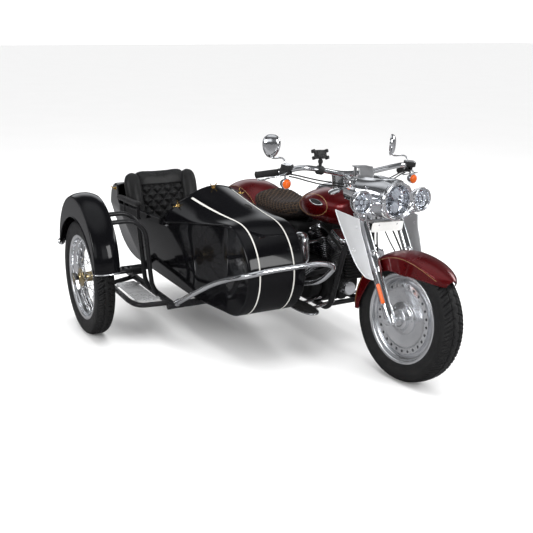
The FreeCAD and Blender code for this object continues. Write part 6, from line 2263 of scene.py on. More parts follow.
@dataclass
class FuelTank:
    """The teardrop tank with its side panels, emblems and filler caps, and the console along its top."""

    # x, half-width, underside, top
    sections: tuple[tuple[float, float, float, float], ...] = (
        (-0.434, 0.060, 0.722, 0.838), (-0.450, 0.092, 0.700, 0.852), (-0.500, 0.126, 0.680, 0.863),
        (-0.600, 0.153, 0.665, 0.868), (-0.720, 0.163, 0.660, 0.857), (-0.830, 0.138, 0.668, 0.824),
        (-0.900, 0.099, 0.680, 0.788), (-0.928, 0.066, 0.694, 0.764))
    dial: tuple[float, float, float] = (-0.606, 0.0, 0.846)
    dial_axis: tuple[float, float, float] = (-0.16, 0.0, 1.0)

    def build(self) -> None:
        """Makes the tank, its trim and the console."""
        rings = [ring_at(x, half, low, high, 0.46 * (high - low), 160) for x, half, low, high in self.sections]
        skin = lofted(rings, 110)
        tank = Shell("tank_skin").grid(skin, wrap_v=True, caps=True)
        tank.build([RED], "chassis", replaces=["fuel_tank"], sharp=50)
        lines, emblems, caps = Shell("tank_pin_lines"), Shell("tank_emblems"), Shell("filler_caps")
        turn = np.linspace(0, 2 * math.pi, 160, endpoint=False)
        for side in (-1, 1):
            start = 0.0 if side > 0 else 80.0
            rows = 58 - 31 * np.cos(turn)
            cols = start + side * (3.0 + 15.0 * np.sin(turn))
            for grow, thick in ((1.0, 0.0011), (0.97, 0.0006)):
                line = on_grid(skin, 58 + (rows - 58) * grow, start + side * 3.0 + (cols - start - side * 3.0) * grow)
                lines.hoop(line, thick, 8)
            middle = on_grid(skin, np.array([46.0]), np.array([start + side * 8.0]))[0]
            fore = on_grid(skin, np.array([42.0]), np.array([start + side * 8.0]))[0]
            high = on_grid(skin, np.array([46.0]), np.array([start + side * 12.0]))[0]
            out = unit(np.cross(fore - middle, high - middle))
            out = out * np.sign(out[1] * side)
            span = np.linspace(0, 2 * math.pi, 64, endpoint=False)
            lens = np.stack([0.062 * np.cos(span), 0.0150 * np.sin(span) * np.abs(np.sin(span)) ** 0.5], axis=1)
            emblems.block(lens, middle + out * 0.0022, out, 0.005, 0.0012, up=high - middle, crown=0.001)
            core = slab(lens * 0.80, middle + out * 0.0036, out, 0.003, 0.0006, up=high - middle)
            emblems.grid(core, wrap_v=True, finish=1)
            cap = [(0.0, 0.0), (0.0, 0.031), (0.004, 0.0325), (0.010, 0.031), (0.013, 0.025), (0.015, 0.0)]
            top = on_grid(skin, np.array([34.0]), np.array([40.0 - side * 13.5]))[0]
            caps.lathe(cap, top - [0, 0, 0.004], (0.05, side * 0.32, 1), 48)
        lines.build([PIN_LINE], "chassis")
        emblems.build([CHROME, BLACK], "chassis", sharp=30)
        caps.build([CHROME], "chassis", sharp=30)
        self.fit_console()

    def fit_console(self) -> None:
        """The chrome dial pod with its face and glass, and the console that tapers back along the tank."""
        console = Shell("dial_pod")
        pod = [(0.0, 0.0), (0.0, 0.062), (0.030, 0.0615), (0.060, 0.060), (0.078, 0.0605), (0.090, 0.0615),
               (0.097, 0.0605), (0.102, 0.057), (0.104, 0.053), (0.102, 0.0505), (0.098, 0.0495), (0.097, 0.0)]
        console.lathe(pod, self.dial, self.dial_axis, 96)
        rings = [ring_at(x, half, low, high, 0.8 * min(half, (high - low) / 2), 72) for x, half, low, high in
                 ((-0.622, 0.048, 0.830, 0.897), (-0.680, 0.045, 0.828, 0.886), (-0.760, 0.036, 0.818, 0.868),
                  (-0.830, 0.028, 0.806, 0.846), (-0.860, 0.018, 0.803, 0.828))]
        console.grid(lofted(rings, 40), wrap_v=True, caps=True)
        axis = unit(np.array(self.dial_axis))
        switch = np.array([-0.712, 0.0, 0.879])
        console.lathe([(0.0, 0.0), (0.0, 0.019), (0.006, 0.018), (0.008, 0.014), (0.008, 0.0)], switch, (-0.12, 0, 1),
                      40)
        console.build([CHROME], "chassis", replaces=["tank_console"], sharp=30)
        face = Shell("dial_face")
        face.lathe([(0.0975, 0.0), (0.0975, 0.049), (0.0985, 0.049), (0.0985, 0.0)], self.dial, self.dial_axis, 64)
        face.build([DIAL], "chassis")
        marks = Shell("dial_marks")
        u, v, n = axes_from(axis, (1, 0, 0))
        top = np.array(self.dial) + n * 0.0987
        for k in range(25):
            way = math.radians(-130 + 260 * k / 24)
            reach = np.sin(way) * u + np.cos(way) * v
            long_mark = 0.007 if k % 3 == 0 else 0.004
            marks.block(box_outline(0.0011, long_mark, 0.0002, 2), top + reach * 0.043, n, 0.0005, 0.0001, up=reach)
        way = math.radians(-112)
        reach = np.sin(way) * u + np.cos(way) * v
        marks.block(box_outline(0.0014, 0.036, 0.0003, 2), top + reach * 0.018, n, 0.0004, 0.0001, up=reach)
        marks.build([TRIM], "chassis")
        glass = Shell("dial_glass")
        glass.lathe([(0.0995, 0.0), (0.0995, 0.050), (0.1010, 0.050), (0.1022, 0.030), (0.1026, 0.0)], self.dial,
                    self.dial_axis, 64)
        glass.build([GLASS], "chassis")


@dataclass
class RearFender:
    """The red rear fender with its chrome struts, pin line and the three tail lamps."""

    radius: float = 0.418
    half: float = 0.124
    skirt: float = 0.300
    bow: float = 0.030

    def build(self) -> None:
        """Makes the fender, its struts and its lamps."""
        turn = np.radians(np.linspace(36, 176, 120))

        def centre(angle: Array) -> Array:
            """The fender is round the rear axle."""
            return np.stack([np.full_like(angle, REAR_AXLE[0]), np.full_like(angle, REAR_AXLE[2])], axis=1)

        degrees = np.degrees(turn)
        full = self.radius - self.bow - 0.012 - self.skirt
        drop = full * np.interp(degrees, [36, 44, 60, 150, 170, 176], [0.35, 0.7, 1, 1, 0.72, 0.40])
        half = self.half * np.interp(degrees, [36, 46, 165, 176], [0.93, 1, 1, 0.93])
        skin = fender_skin(71, centre, np.full(120, self.radius), half, drop, turn, self.bow)
        fender = Shell("rear_fender_skin")
        fender.plate(skin, 0.0028, tuple(REAR_AXLE))
        fender.hoop(resampled(border(skin), 320, closed=True), 0.003, 8)
        fender.build([RED], "chassis", replaces=["rear_fender"], sharp=50)
        line = Shell("rear_pin_lines")
        for col in (11, 59):
            line.bar(skin[6:114, col], 0.0011, 8)
        line.build([PIN_LINE], "chassis")
        struts = Shell("fender_struts")
        end = REAR_AXLE + np.array([-0.005, 0.130, 0.352])
        for side in (-1, 1):
            path = [(-1.160, 0.084 * side, 0.500), (-1.300, 0.131 * side, 0.600), (end[0], end[1] * side, end[2])]
            struts.bent(path, 0.0105, 0.04)
            for x, z in ((-1.34, 0.6145), (-1.62, 0.6695)):
                struts.screw(np.array([x, 0.140 * side, z]), (0, side, 0), 0.008, 0.004)
        struts.build([CHROME], "chassis", sharp=30)
        self.hang_lamps()

    def hang_lamps(self) -> None:
        """A middle lamp and two bullet signals on a bar behind the fender."""
        stalk = np.array([-1.9768, 0.0, 0.570])
        shells, red, amber = Shell("tail_shells"), Shell("tail_lens"), Shell("rear_signal_lenses")
        shells.bent([stalk + [-0.018, -0.150, 0], stalk + [-0.018, 0.150, 0]], 0.011)
        bracket = [stalk + [0.020, 0, 0.030], stalk + [-0.004, 0, 0.010], stalk + [-0.018, 0, 0.0]]
        shells.bent(bracket, 0.016, 0.01)
        body = [(0.0, 0.0), (0.0, 0.020), (0.010, 0.031), (0.024, 0.038), (0.046, 0.0405), (0.052, 0.0405),
                (0.053, 0.037), (0.048, 0.036), (0.048, 0.0)]
        shells.lathe(body, stalk + [0.010, 0, 0.010], (-1, 0, -0.1), 64)
        lens = [(0.047, 0.0), (0.047, 0.0365), (0.058, 0.0350), (0.066, 0.028), (0.070, 0.015), (0.0712, 0.0)]
        red.lathe(lens, stalk + [0.010, 0, 0.010], (-1, 0, -0.1), 64)
        for side in (-1, 1):
            spot = stalk + [0.010, 0.150 * side, 0.0]
            small = [(0.0, 0.0), (0.002, 0.008), (0.010, 0.021), (0.022, 0.030), (0.040, 0.034), (0.044, 0.034),
                     (0.045, 0.031), (0.041, 0.030), (0.041, 0.0)]
            shells.lathe(small, spot, (-1, 0, 0), 56)
            glow = [(0.040, 0.0), (0.040, 0.0305), (0.050, 0.029), (0.056, 0.022), (0.059, 0.010), (0.0595, 0.0)]
            amber.lathe(glow, spot, (-1, 0, 0), 56)
        plate = slab(box_outline(0.120, 0.050, 0.006), stalk + [-0.020, 0, -0.040], (-1, 0, -0.15), 0.002, 0.0006)
        shells.grid(plate, wrap_v=True)
        shells.build([CHROME], "chassis", replaces=["tail_lamps"], sharp=30)
        red.build([LENS_RED], "chassis")
        amber.build([AMBER], "chassis")


# ---- padded pieces ----------------------------------------------------------------------------------
def blown_up(piece: bpy.types.Object, voxel: float, cap: float, rests: Callable[[Array], Array]) -> None:
    """Turns a closed piece into padding: even faces, air pressed in as cloth, then one subdivision.

    Each point's movement is capped and then scaled by `rests`, which is 0 where the piece lies on something.

    Args:
        piece: the closed mesh; its mesh is replaced.
        voxel: size of the even faces.
        cap: the furthest that a point may move.
        rests: share of its movement that each point keeps, from its place.
    """
    even = piece.modifiers.new("even", "REMESH")
    even.mode = "VOXEL"
    even.voxel_size = voxel
    settle_modifiers(piece)
    start = coordinates(piece.data)
    cloth = piece.modifiers.new("air", "CLOTH")
    cloth.settings.use_pressure = True
    cloth.settings.uniform_pressure_force = AIR_PRESSURE
    cloth.settings.effector_weights.gravity = 0.0
    for step in range(1, AIR_STEPS + 1):
        bpy.context.scene.frame_set(step)
    settle_modifiers(piece)
    move = coordinates(piece.data) - start
    far = np.linalg.norm(move, axis=1, keepdims=True)
    move *= np.minimum(1.0, cap / np.maximum(far, 1e-9)) * rests(start)[:, None]
    piece.data.vertices.foreach_set("co", (start + move).astype(np.float32).ravel())
    bpy.context.scene.frame_set(1)
    smooth = piece.modifiers.new("smooth", "SUBSURF")
    smooth.levels = smooth.render_levels = 1
    settle_modifiers(piece)


def settle_modifiers(piece: bpy.types.Object) -> None:
    """Replaces a piece's mesh by what its modifiers make of it, and takes them off.

    Args:
        piece: the piece.
    """
    graph = bpy.context.evaluated_depsgraph_get()
    graph.update()
    finished = bpy.data.meshes.new_from_object(piece.evaluated_get(graph))
    piece.modifiers.clear()
    piece.data = finished


def coordinates(mesh: bpy.types.Mesh) -> Array:
    """A mesh's points as rows.

    Args:
        mesh: the mesh.

    Returns:
        One row for each point.
    """
    flat = np.empty(len(mesh.vertices) * 3, dtype=np.float32)
    mesh.vertices.foreach_get("co", flat)
    return flat.reshape(-1, 3).astype(float)


def normals_of(mesh: bpy.types.Mesh) -> Array:
    """A mesh's point normals as rows.

    Args:
        mesh: the mesh.

    Returns:
        One row for each point.
    """
    flat = np.empty(len(mesh.vertices) * 3, dtype=np.float32)
    mesh.vertex_normals.foreach_get("vector", flat)
    return flat.reshape(-1, 3).astype(float)


@dataclass
class Pad:
    """One stuffed piece with optional diamond quilting."""

    name: str
    hide: Finish
    quilt: Finish
    fill: float = 0.7
    cap: float = 0.010
    voxel: float = 0.006
    depth: float = 0.0045

    def sew(self, grid: Array, replaces: Sequence[str], run: Callable[[Array], Array],
            quilted: Callable[[Array], Array], rests: Callable[[Array], Array],
            seams: Callable[[Array], Array] | None = None) -> bpy.types.Object:
        """Makes the piece, stuffs it, presses its seams and gives it both finishes.

        A seam presses a point in by depth times exp(-(gap / width) squared), gap being its distance to the
        nearest line of the diamonds, measured on the flat run.

        Args:
            grid: the closed form, rings with caps.
            replaces: CAD nodes that it stands for.
            run: the flat run (u, v) of each point.
            quilted: whether each point is in the quilted part.
            rests: share of its swelling that each point keeps.
            seams: extra depth of plain seams at each point.

        Returns:
            The piece.
        """
        shell = Shell(self.name).grid(grid, wrap_v=True, caps=True)
        piece = shell.build([self.hide], "chassis", replaces=replaces)
        blown_up(piece, self.voxel, self.cap, lambda q: rests(q - ORIGIN))
        mesh = piece.data
        points = coordinates(mesh) - ORIGIN
        flat = run(points)
        inside = quilted(points)
        pitch = self.quilt.pitch
        one, two = (flat[:, 0] + flat[:, 1]) / pitch, (flat[:, 0] - flat[:, 1]) / pitch
        gap = np.minimum(*(np.abs((t + 0.5) % 1.0 - 0.5) * pitch * DIAGONAL for t in (one, two)))
        press = self.depth * np.exp(-(gap / (pitch * 0.12)) ** 2) * inside
        puffed = 0.35 * self.depth * np.clip(gap / (pitch * 0.35), 0, 1) * inside
        if seams is not None:
            press = press + seams(points)
        points = points + normals_of(mesh) * (puffed - press)[:, None]
        mesh.vertices.foreach_set("co", settle(points).astype(np.float32).ravel())
        corner = np.empty(len(mesh.loops), dtype=np.int32)
        mesh.loops.foreach_get("vertex_index", corner)
        layer = mesh.uv_layers.new(name="run")
        layer.data.foreach_set("uv", flat[corner].astype(np.float32).ravel())
        mesh.materials.clear()
        for item in (self.hide, self.quilt):
            mesh.materials.append(paintbox.material(item))
        totals = np.empty(len(mesh.polygons), dtype=np.int32)
        mesh.polygons.foreach_get("loop_start", totals)
        mesh.polygons.foreach_set("material_index", inside[corner[totals]].astype(np.int32))
        mesh.shade_smooth()
        log.info("%s: sewn, %d faces", self.name, len(mesh.polygons))
        return piece


def piping(name: str, lines: Sequence[Array], finish: Finish, radius: float = 0.0032) -> None:
    """Sewn cord along a pad's edges.

    Args:
        name: the piece's name.
        lines: closed runs of points.
        finish: its leather.
        radius: how thick it is.
    """
    cord = Shell(name)
    for line in lines:
        cord.hoop(line, radius, 8)
    cord.build([finish], "chassis")


@dataclass
class RiderSeat:
    """The motorcycle's long low saddle, quilted over its top and sides."""

    # x, half-width, underside, top
    sections: tuple[tuple[float, float, float, float], ...] = (
        (-0.940, 0.066, 0.648, 0.716), (-1.010, 0.124, 0.610, 0.716), (-1.150, 0.160, 0.600, 0.702),
        (-1.300, 0.155, 0.614, 0.712), (-1.395, 0.128, 0.640, 0.726), (-1.418, 0.095, 0.660, 0.722))

    def build(self) -> None:
        """Makes the saddle, sunk a little along its middle."""
        rings = [ring_at(x, half, low, high, 0.36 * (high - low), 96) for x, half, low, high in self.sections]
        skin = lofted(rings, 70)
        across = skin[..., 1]
        dip = 0.010 * np.exp(-(across / 0.085) ** 2) * np.clip((-1.00 - skin[..., 0]) / 0.08, 0, 1)
        dip = dip * np.clip((skin[..., 2] - 0.66) / 0.03, 0, 1) * np.clip((skin[..., 0] + 1.36) / 0.08, 0, 1)
        skin[..., 2] -= dip

        def run(p: Array) -> Array:
            """Length along the saddle, and the way round it from its middle line down each side."""
            return np.stack([p[:, 0], p[:, 1] + np.sign(p[:, 1]) * np.clip(0.700 - p[:, 2], 0, 0.1)], axis=1)

        pad = Pad("rider_saddle", SEAT_HIDE, SEAT_QUILT, fill=0.75, cap=0.008, voxel=0.0055, depth=0.0026)
        pad.sew(skin, ["rider_seat"], run, lambda p: (p[:, 2] > 0.655) & (p[:, 0] < -0.955),
                lambda p: np.clip((p[:, 2] - 0.63) / 0.04, 0, 1),
                lambda p: 0.003 * np.exp(-((p[:, 2] - 0.655) / 0.004) ** 2))


@dataclass
class CarSeat:
    """The sidecar's seat: a cushion, a quilted back with a plain head band, and two tall bolsters."""

    middle: float = -0.610
    lean: float = math.radians(14)
    cushion_x: float = -1.512
    cushion_y: float = -0.568

    def build(self) -> None:
        """Makes the four pads, the stand under the cushion, and the cushion's piping."""
        up = (0.0, 0.0, 1.0)
        cushion = slab(squircle(0.168, 0.166, 0.050, 96), (self.cushion_x, self.cushion_y, 0.452), up, 0.112, 0.030,
                       up=(1, 0, 0), crown=0.008)
        Pad("car_cushion", CAR_HIDE, CAR_QUILT, fill=0.7, cap=0.010).sew(
            cushion, ["sidecar_seat"], lambda p: p[:, :2],
            lambda p: (p[:, 2] > 0.443) & (np.abs(p[:, 0] - self.cushion_x) < 0.14),
            lambda p: np.clip((p[:, 2] - 0.37) / 0.06, 0, 1))
        n = np.array([math.cos(self.lean), 0.0, math.sin(self.lean)])
        u, v, n = axes_from(n)
        face = np.array([-1.716, self.middle, 0.655]) + n * 0.030

        def run(p: Array) -> Array:
            """Width and height on the back's face."""
            return np.stack([(p - face) @ u, (p - face) @ v], axis=1)

        def quilted(p: Array) -> Array:
            """The face below the head band."""
            flat = run(p)
            return ((p - face) @ n > -0.035) & (flat[:, 1] < 0.088) & (np.abs(flat[:, 0]) < 0.134)

        back = slab(squircle(0.166, 0.188, 0.045, 120), face, n, 0.066, 0.026, crown=0.006)
        Pad("car_backrest", CAR_HIDE, CAR_QUILT, fill=0.7, cap=0.010, voxel=0.005, depth=0.0105).sew(
            back, [], run, quilted, lambda p: np.clip(((p - face) @ n + 0.066) / 0.03, 0, 1),
            lambda p: 0.006 * np.exp(-((run(p)[:, 1] - 0.090) / 0.005) ** 2) * ((p - face) @ n > -0.03))
        for side, name in ((-1, "car_bolster_outer"), (1, "car_bolster_inner")):
            foot = np.array([-1.648, self.middle + side * 0.150, 0.455])
            top = np.array([-1.752, self.middle + side * 0.180, 0.828])
            t = np.linspace(0, 1, 40)
            bow = np.array([0.012, side * 0.012, 0]) * np.sin(math.pi * t)[:, None]
            path = foot + (top - foot) * t[:, None] + bow
            ends = np.sqrt(np.clip(1 - np.abs(2 * t - 1) ** 7, 0.02, 1))
            flat = squircle(0.044, 0.054, 0.040, 48)
            ring = carried(flat, path) - path[:, None]
            Pad(name, CAR_HIDE, CAR_QUILT, fill=0.75, cap=0.008).sew(
                path[:, None] + ring * (ends * (0.86 + 0.14 * t))[:, None, None], [], run, lambda p: p[:, 0] > 9,
                lambda p: np.clip((p[:, 2] - 0.44) / 0.08, 0, 1))
        stand = Shell("car_seat_stand")
        stand.block(squircle(0.145, 0.140, 0.03, 64), (-1.51, -0.568, 0.348), up, 0.096, 0.006, up=(1, 0, 0))
        stand.build([FRAME], "chassis")
        edge = squircle(0.1675, 0.1655, 0.050, 160)
        line = np.stack([self.cushion_x - edge[:, 1], self.cushion_y + edge[:, 0], np.full(160, 0.432)], axis=1)
        piping("car_cushion_piping", [line], CAR_HIDE)


@dataclass
class ArmRest:
    """A padded rest along the cockpit's outer edge, on two posts."""

    def build(self) -> None:
        """Makes the pad and its posts."""
        path = through([(-1.785, -0.866, 0.683), (-1.700, -0.866, 0.688), (-1.550, -0.866, 0.693),
                        (-1.404, -0.866, 0.703)], 50)
        t = np.linspace(0, 1, 50)
        ends = np.sqrt(np.clip(1 - np.abs(2 * t - 1) ** 12, 0.03, 1)) * (0.86 + 0.14 * t)
        ring = carried(squircle(0.0185, 0.0215, 0.016, 40), path) - path[:, None]
        Pad("arm_pad", CAR_HIDE, CAR_QUILT, fill=0.7, cap=0.003, voxel=0.005).sew(
            path[:, None] + ring * ends[:, None, None], ["armrest"], lambda p: p[:, :2], lambda p: p[:, 0] > 9,
            lambda p: np.clip((p[:, 2] - 0.66) / 0.02, 0, 1))
        posts = Shell("arm_posts")
        for x in (-1.47, -1.70):
            posts.lathe([(0.0, 0.0), (0.0, 0.014), (0.006, 0.014), (0.008, 0.009), (0.080, 0.009), (0.080, 0.0)],
                        (x, -0.853, 0.604), (0, 0, 1), 24)
        posts.build([FRAME], "chassis")


# ---- engine -----------------------------------------------------------------------------------------
CRANK = np.array([-0.705, 0.0, 0.335])


@dataclass
class Engine:
    """The V-twin: cases, finned cylinders, rocker covers, side covers, horn cover and air cleaner."""

    lean: float = math.radians(22.5)
    fins: int = 11
    fin_radius: float = 0.074

    def build(self) -> None:
        """Makes the lower end, both cylinders and everything bolted on."""
        self.cast_cases()
        for way, node in ((1, "front_cylinder"), (-1, "rear_cylinder")):
            self.stack_cylinder(way, node)
        self.cover_primary()
        self.fit_air_cleaner()
        self.fit_horn_cover()
        self.fill_frame()

    def fill_frame(self) -> None:
        """What sits between the frame tubes: the oil tank under the saddle, the coil box and the regulator's fins."""
        tank = Shell("oil_tank")
        tank.block(squircle(0.105, 0.088, 0.045, 80), (-1.000, -0.112, 0.528), (0, -1, 0), 0.224, 0.020)
        tank.block(squircle(0.060, 0.030, 0.012, 48), (-0.700, 0.040, 0.640), (0, 1, 0), 0.080, 0.006)
        for k in range(8):
            z = 0.400 + 0.0165 * k
            tank.block(box_outline(0.118, 0.036, 0.006, 3), (-0.492, 0.0, z), (0, 0, 1), 0.005, 0.0015, up=(1, 0, 0))
        tank.block(squircle(0.052, 0.066, 0.010, 48), (-0.484, 0.0, 0.456), (1, 0, 0.05), 0.028, 0.004)
        tank.bar(through([(-0.500, -0.045, 0.520), (-0.530, -0.085, 0.590), (-0.600, -0.100, 0.640),
                          (-0.690, -0.085, 0.655)], 40), 0.0075, 12)
        tank.bar(through([(-0.930, -0.100, 0.600), (-0.860, -0.120, 0.500), (-0.830, -0.120, 0.440)], 30), 0.009, 12)
        tank.build([ENGINE], "chassis", sharp=35)
        caps = Shell("oil_tank_trim")
        caps.lathe([(0.0, 0.0), (0.0, 0.022), (0.008, 0.022), (0.011, 0.018), (0.011, 0.0)], (-0.960, -0.112, 0.555),
                   (0, -1, 0), 40)
        for x, z in ((-0.925, 0.470), (-1.075, 0.470), (-1.075, 0.590)):
            caps.screw(np.array([x, -0.112, z]), (0, -1, 0), 0.007, 0.004)
        caps.build([CHROME], "chassis", sharp=30)

    def cast_cases(self) -> None:
        """Crankcase with a round cam cover, the gearbox behind it, and the sump below."""
        case = Shell("engine_cases")
        drum = [(-0.105, 0.0), (-0.105, 0.104), (-0.101, 0.112), (-0.092, 0.118), (-0.006, 0.118), (-0.004, 0.121),
                (0.004, 0.121), (0.006, 0.118), (0.092, 0.118), (0.101, 0.112), (0.105, 0.104), (0.105, 0.0)]
        case.lathe(drum, CRANK, (0, 1, 0), 96)
        for side in (-1, 1):
            case.block(squircle(0.155, 0.088, 0.03, 80), (-0.918, 0.112 * side, 0.340), (0, side, 0), 0.120, 0.012)
            case.block(squircle(0.080, 0.036, 0.016, 64), (-0.720, 0.095 * side, 0.266), (0, side, 0), 0.100, 0.008)
        case.block(box_outline(0.180, 0.006, 0.002, 3), (-0.930, 0.0, 0.432), (0, 0, 1), 0.004, 0.001, up=(0, 1, 0))
        case.block(squircle(0.028, 0.084, 0.012, 48), (-0.590, 0.0, 0.330), (1, 0, 0.1), 0.05, 0.008)
        case.build([ENGINE], "chassis", replaces=["crankcase"], sharp=32)
        cam = Shell("cam_cover")
        nose = [(0.0, 0.0), (0.0, 0.092), (0.012, 0.092), (0.020, 0.084), (0.023, 0.070), (0.024, 0.045),
                (0.030, 0.042), (0.032, 0.036), (0.0325, 0.0)]
        cam.lathe(nose, CRANK + [-0.005, 0.104, 0.010], (0, 1, 0), 80)
        for k in range(6):
            way = k * math.pi / 3 + 0.3
            cam.screw(CRANK + [-0.005 + 0.079 * math.cos(way), 0.121, 0.010 + 0.079 * math.sin(way)], (0, 1, 0),
                      0.006, 0.005)
        cam.build([CHROME], "chassis", sharp=30)
        case_bolts = Shell("case_bolts")
        for x in (-0.80, -0.88, -0.96, -1.04):
            for z in (0.268, 0.412):
                case_bolts.screw(np.array([x, 0.113, z]), (0, 1, 0), 0.006, 0.005)
        filter_body = [(0.0, 0.0), (0.0, 0.036), (0.004, 0.038), (0.070, 0.038), (0.078, 0.034), (0.080, 0.0)]
        case_bolts.lathe(filter_body, (-0.588, 0.0, 0.318), (1, 0, 0.12), 48)
        case_bolts.build([CHROME], "chassis", sharp=30)

    def stack_cylinder(self, way: int, node: str) -> None:
        """One cylinder up its own axis: finned barrel, finned head, two-step rocker cover, bolts and push rods.

        Args:
            way: 1 for the front cylinder, -1 for the rear.
            node: the CAD node that it replaces.
        """
        axis = np.array([math.sin(self.lean) * way, 0.0, math.cos(self.lean)])
        fore = np.array([math.cos(self.lean), 0.0, -math.sin(self.lean) * way])
        name = "front" if way > 0 else "rear"
        barrel = [(0.095, 0.0), (0.095, 0.050)]
        edges = Shell(f"{name}_fin_edges")
        for k in range(self.fins):
            h = 0.122 + 0.0105 * k
            r = min(self.fin_radius, 0.43 * h)
            barrel += [(h - 0.0022, 0.050), (h - 0.0014, r - 0.0015), (h + 0.0014, r - 0.0015), (h + 0.0022, 0.050)]
            edges.grid(turned([(h - 0.0016, r - 0.003), (h - 0.0013, r), (h + 0.0013, r), (h + 0.0016, r - 0.003)],
                              CRANK, axis, 72), wrap_v=True, wrap_u=True)
        barrel += [(0.240, 0.050), (0.240, 0.0)]
        body = Shell(f"{name}_barrel")
        body.lathe(barrel, CRANK, axis, 72)
        for k in range(5):
            h = 0.240 + 0.0095 * k
            wide = 0.068 - 0.0006 * k
            body.block(squircle(0.064, wide, 0.022, 72), CRANK + axis * h, axis, 0.0042, 0.0012, up=fore)
            rim = squircle(0.0642, wide + 0.0002, 0.022, 72)
            side = np.cross(fore, axis)
            edges.hoop(CRANK + axis * (h - 0.002) + rim[:, :1] * side + rim[:, 1:] * fore, 0.0015, 6)
        body.block(squircle(0.052, 0.056, 0.020, 64), CRANK + axis * 0.286, axis, 0.060, 0.004, up=fore)
        body.build([ENGINE], "chassis", replaces=[node], sharp=30)
        edges.build([FIN_EDGE], "chassis")
        cover = Shell(f"{name}_rocker_cover")
        cover.block(squircle(0.057, 0.062, 0.022, 80), CRANK + axis * 0.298, axis, 0.016, 0.004, up=fore)
        cover.block(squircle(0.052, 0.057, 0.022, 80), CRANK + axis * 0.311, axis, 0.014, 0.008, up=fore, crown=0.003)
        side = np.cross(fore, axis)
        for a in (-0.050, 0.050):
            for b in (-0.044, 0.044):
                cover.screw(CRANK + axis * 0.297 + fore * a + side * b, tuple(axis), 0.006, 0.006)
        cover.build([CHROME], "chassis", sharp=30)
        rods = Shell(f"{name}_push_rods")
        for lift in (0.018, 0.046):
            foot = CRANK + np.array([way * lift * 1.5, 0.098, 0.092 - 0.25 * lift])
            head = CRANK + axis * 0.244 + np.array([0, 0.060, 0]) + fore * (lift - 0.032) * way * 1.6
            run = foot + (head - foot) * np.linspace(0, 1, 12)[:, None]
            sizes = np.repeat([0.013, 0.0105, 0.0085, 0.012], [2, 5, 3, 2])
            rods.bar(run, sizes, 20)
        plug = CRANK + axis * 0.262 + side * 0.064
        rods.lathe([(0.0, 0.0), (0.0, 0.009), (0.010, 0.009), (0.012, 0.006), (0.028, 0.006), (0.028, 0.0)], plug,
                   tuple(side + axis * 0.5), 20)
        rods.build([CHROME], "chassis", sharp=30)

    def cover_primary(self) -> None:
        """The long primary cover with its bevelled edge, derby disc, inspection cover and screws."""
        front, rear = np.array([-0.705, 0.335]), np.array([-0.985, 0.330])
        one, two = np.radians(np.linspace(-90, 90, 40)), np.radians(np.linspace(90, 270, 40))
        flat = np.vstack([front + 0.092 * np.stack([np.cos(one), np.sin(one)], axis=1),
                          rear + 0.082 * np.stack([np.cos(two), np.sin(two)], axis=1)])
        middle = (front + rear) / 2
        flat = resampled(flat, 160, closed=True) - middle
        cover = Shell("primary_case")
        face = np.array([middle[0], -0.182, middle[1]])
        to_right = np.sign(axes_from((0, -1, 0))[0][0])
        outline = flat * [to_right, 1]
        cover.block(outline, face, (0, -1, 0), 0.070, 0.016, crown=0.002)
        cover.build([ENGINE], "chassis", replaces=["primary_cover"], sharp=32)
        trim = Shell("primary_trim")
        trim.lathe([(-0.004, 0.0), (-0.004, 0.060), (0.004, 0.060), (0.008, 0.056), (0.010, 0.046), (0.0115, 0.0)],
                   (rear[0] + 0.008, -0.182, rear[1]), (0, -1, 0), 80)
        for k in range(5):
            way = k * 2 * math.pi / 5 + 0.3
            trim.screw(np.array([rear[0] + 0.008 + 0.052 * math.cos(way), -0.189, rear[1] + 0.052 * math.sin(way)]),
                       (0, -1, 0), 0.0045, 0.004)
        trim.block(squircle(0.036, 0.024, 0.022, 64), (front[0] - 0.028, -0.189, front[1] - 0.004), (0, -1, 0), 0.010,
                   0.003)
        for share in np.linspace(0.02, 0.98, 11):
            spot = flat[int(share * 159)] * 0.90 + middle
            trim.screw(np.array([spot[0], -0.176, spot[1]]), (0, -1, 0), 0.005, 0.006)
        trim.build([CHROME], "chassis", sharp=30)

    def fit_air_cleaner(self) -> None:
        """The round air cleaner on the open side, with its dark filter ring and chrome dish."""
        middle = np.array([-0.705, 0.118, 0.560])
        cover = Shell("air_cleaner_cover")
        dish = [(0.030, 0.0), (0.030, 0.080), (0.034, 0.085), (0.042, 0.0862), (0.050, 0.083), (0.055, 0.074),
                (0.0565, 0.058), (0.054, 0.054), (0.0535, 0.030), (0.0575, 0.024), (0.058, 0.0)]
        cover.lathe(dish, middle, (0, 1, 0), 96)
        cover.lathe([(0.0, 0.0), (0.0, 0.083), (0.006, 0.084), (0.008, 0.080), (0.008, 0.0)], middle, (0, 1, 0), 80)
        cover.build([CHROME], "chassis", replaces=["air_cleaner"], sharp=30)
        ring = Shell("air_filter")
        turn = np.linspace(0, 2 * math.pi, 240, endpoint=False)
        wavy = 0.0765 + 0.0022 * np.cos(60 * turn)
        grid = np.stack([np.stack([middle[0] + wavy * np.cos(turn), np.full(240, middle[1] + d),
                                   middle[2] + wavy * np.sin(turn)], axis=1) for d in (0.006, 0.033)])
        ring.grid(grid, wrap_v=True, caps=True)
        ring.bent([(-0.705, 0.020, 0.590), (-0.705, 0.122, 0.590)], 0.034, 0.01, 40)
        ring.build([PLASTIC], "chassis", sharp=30)

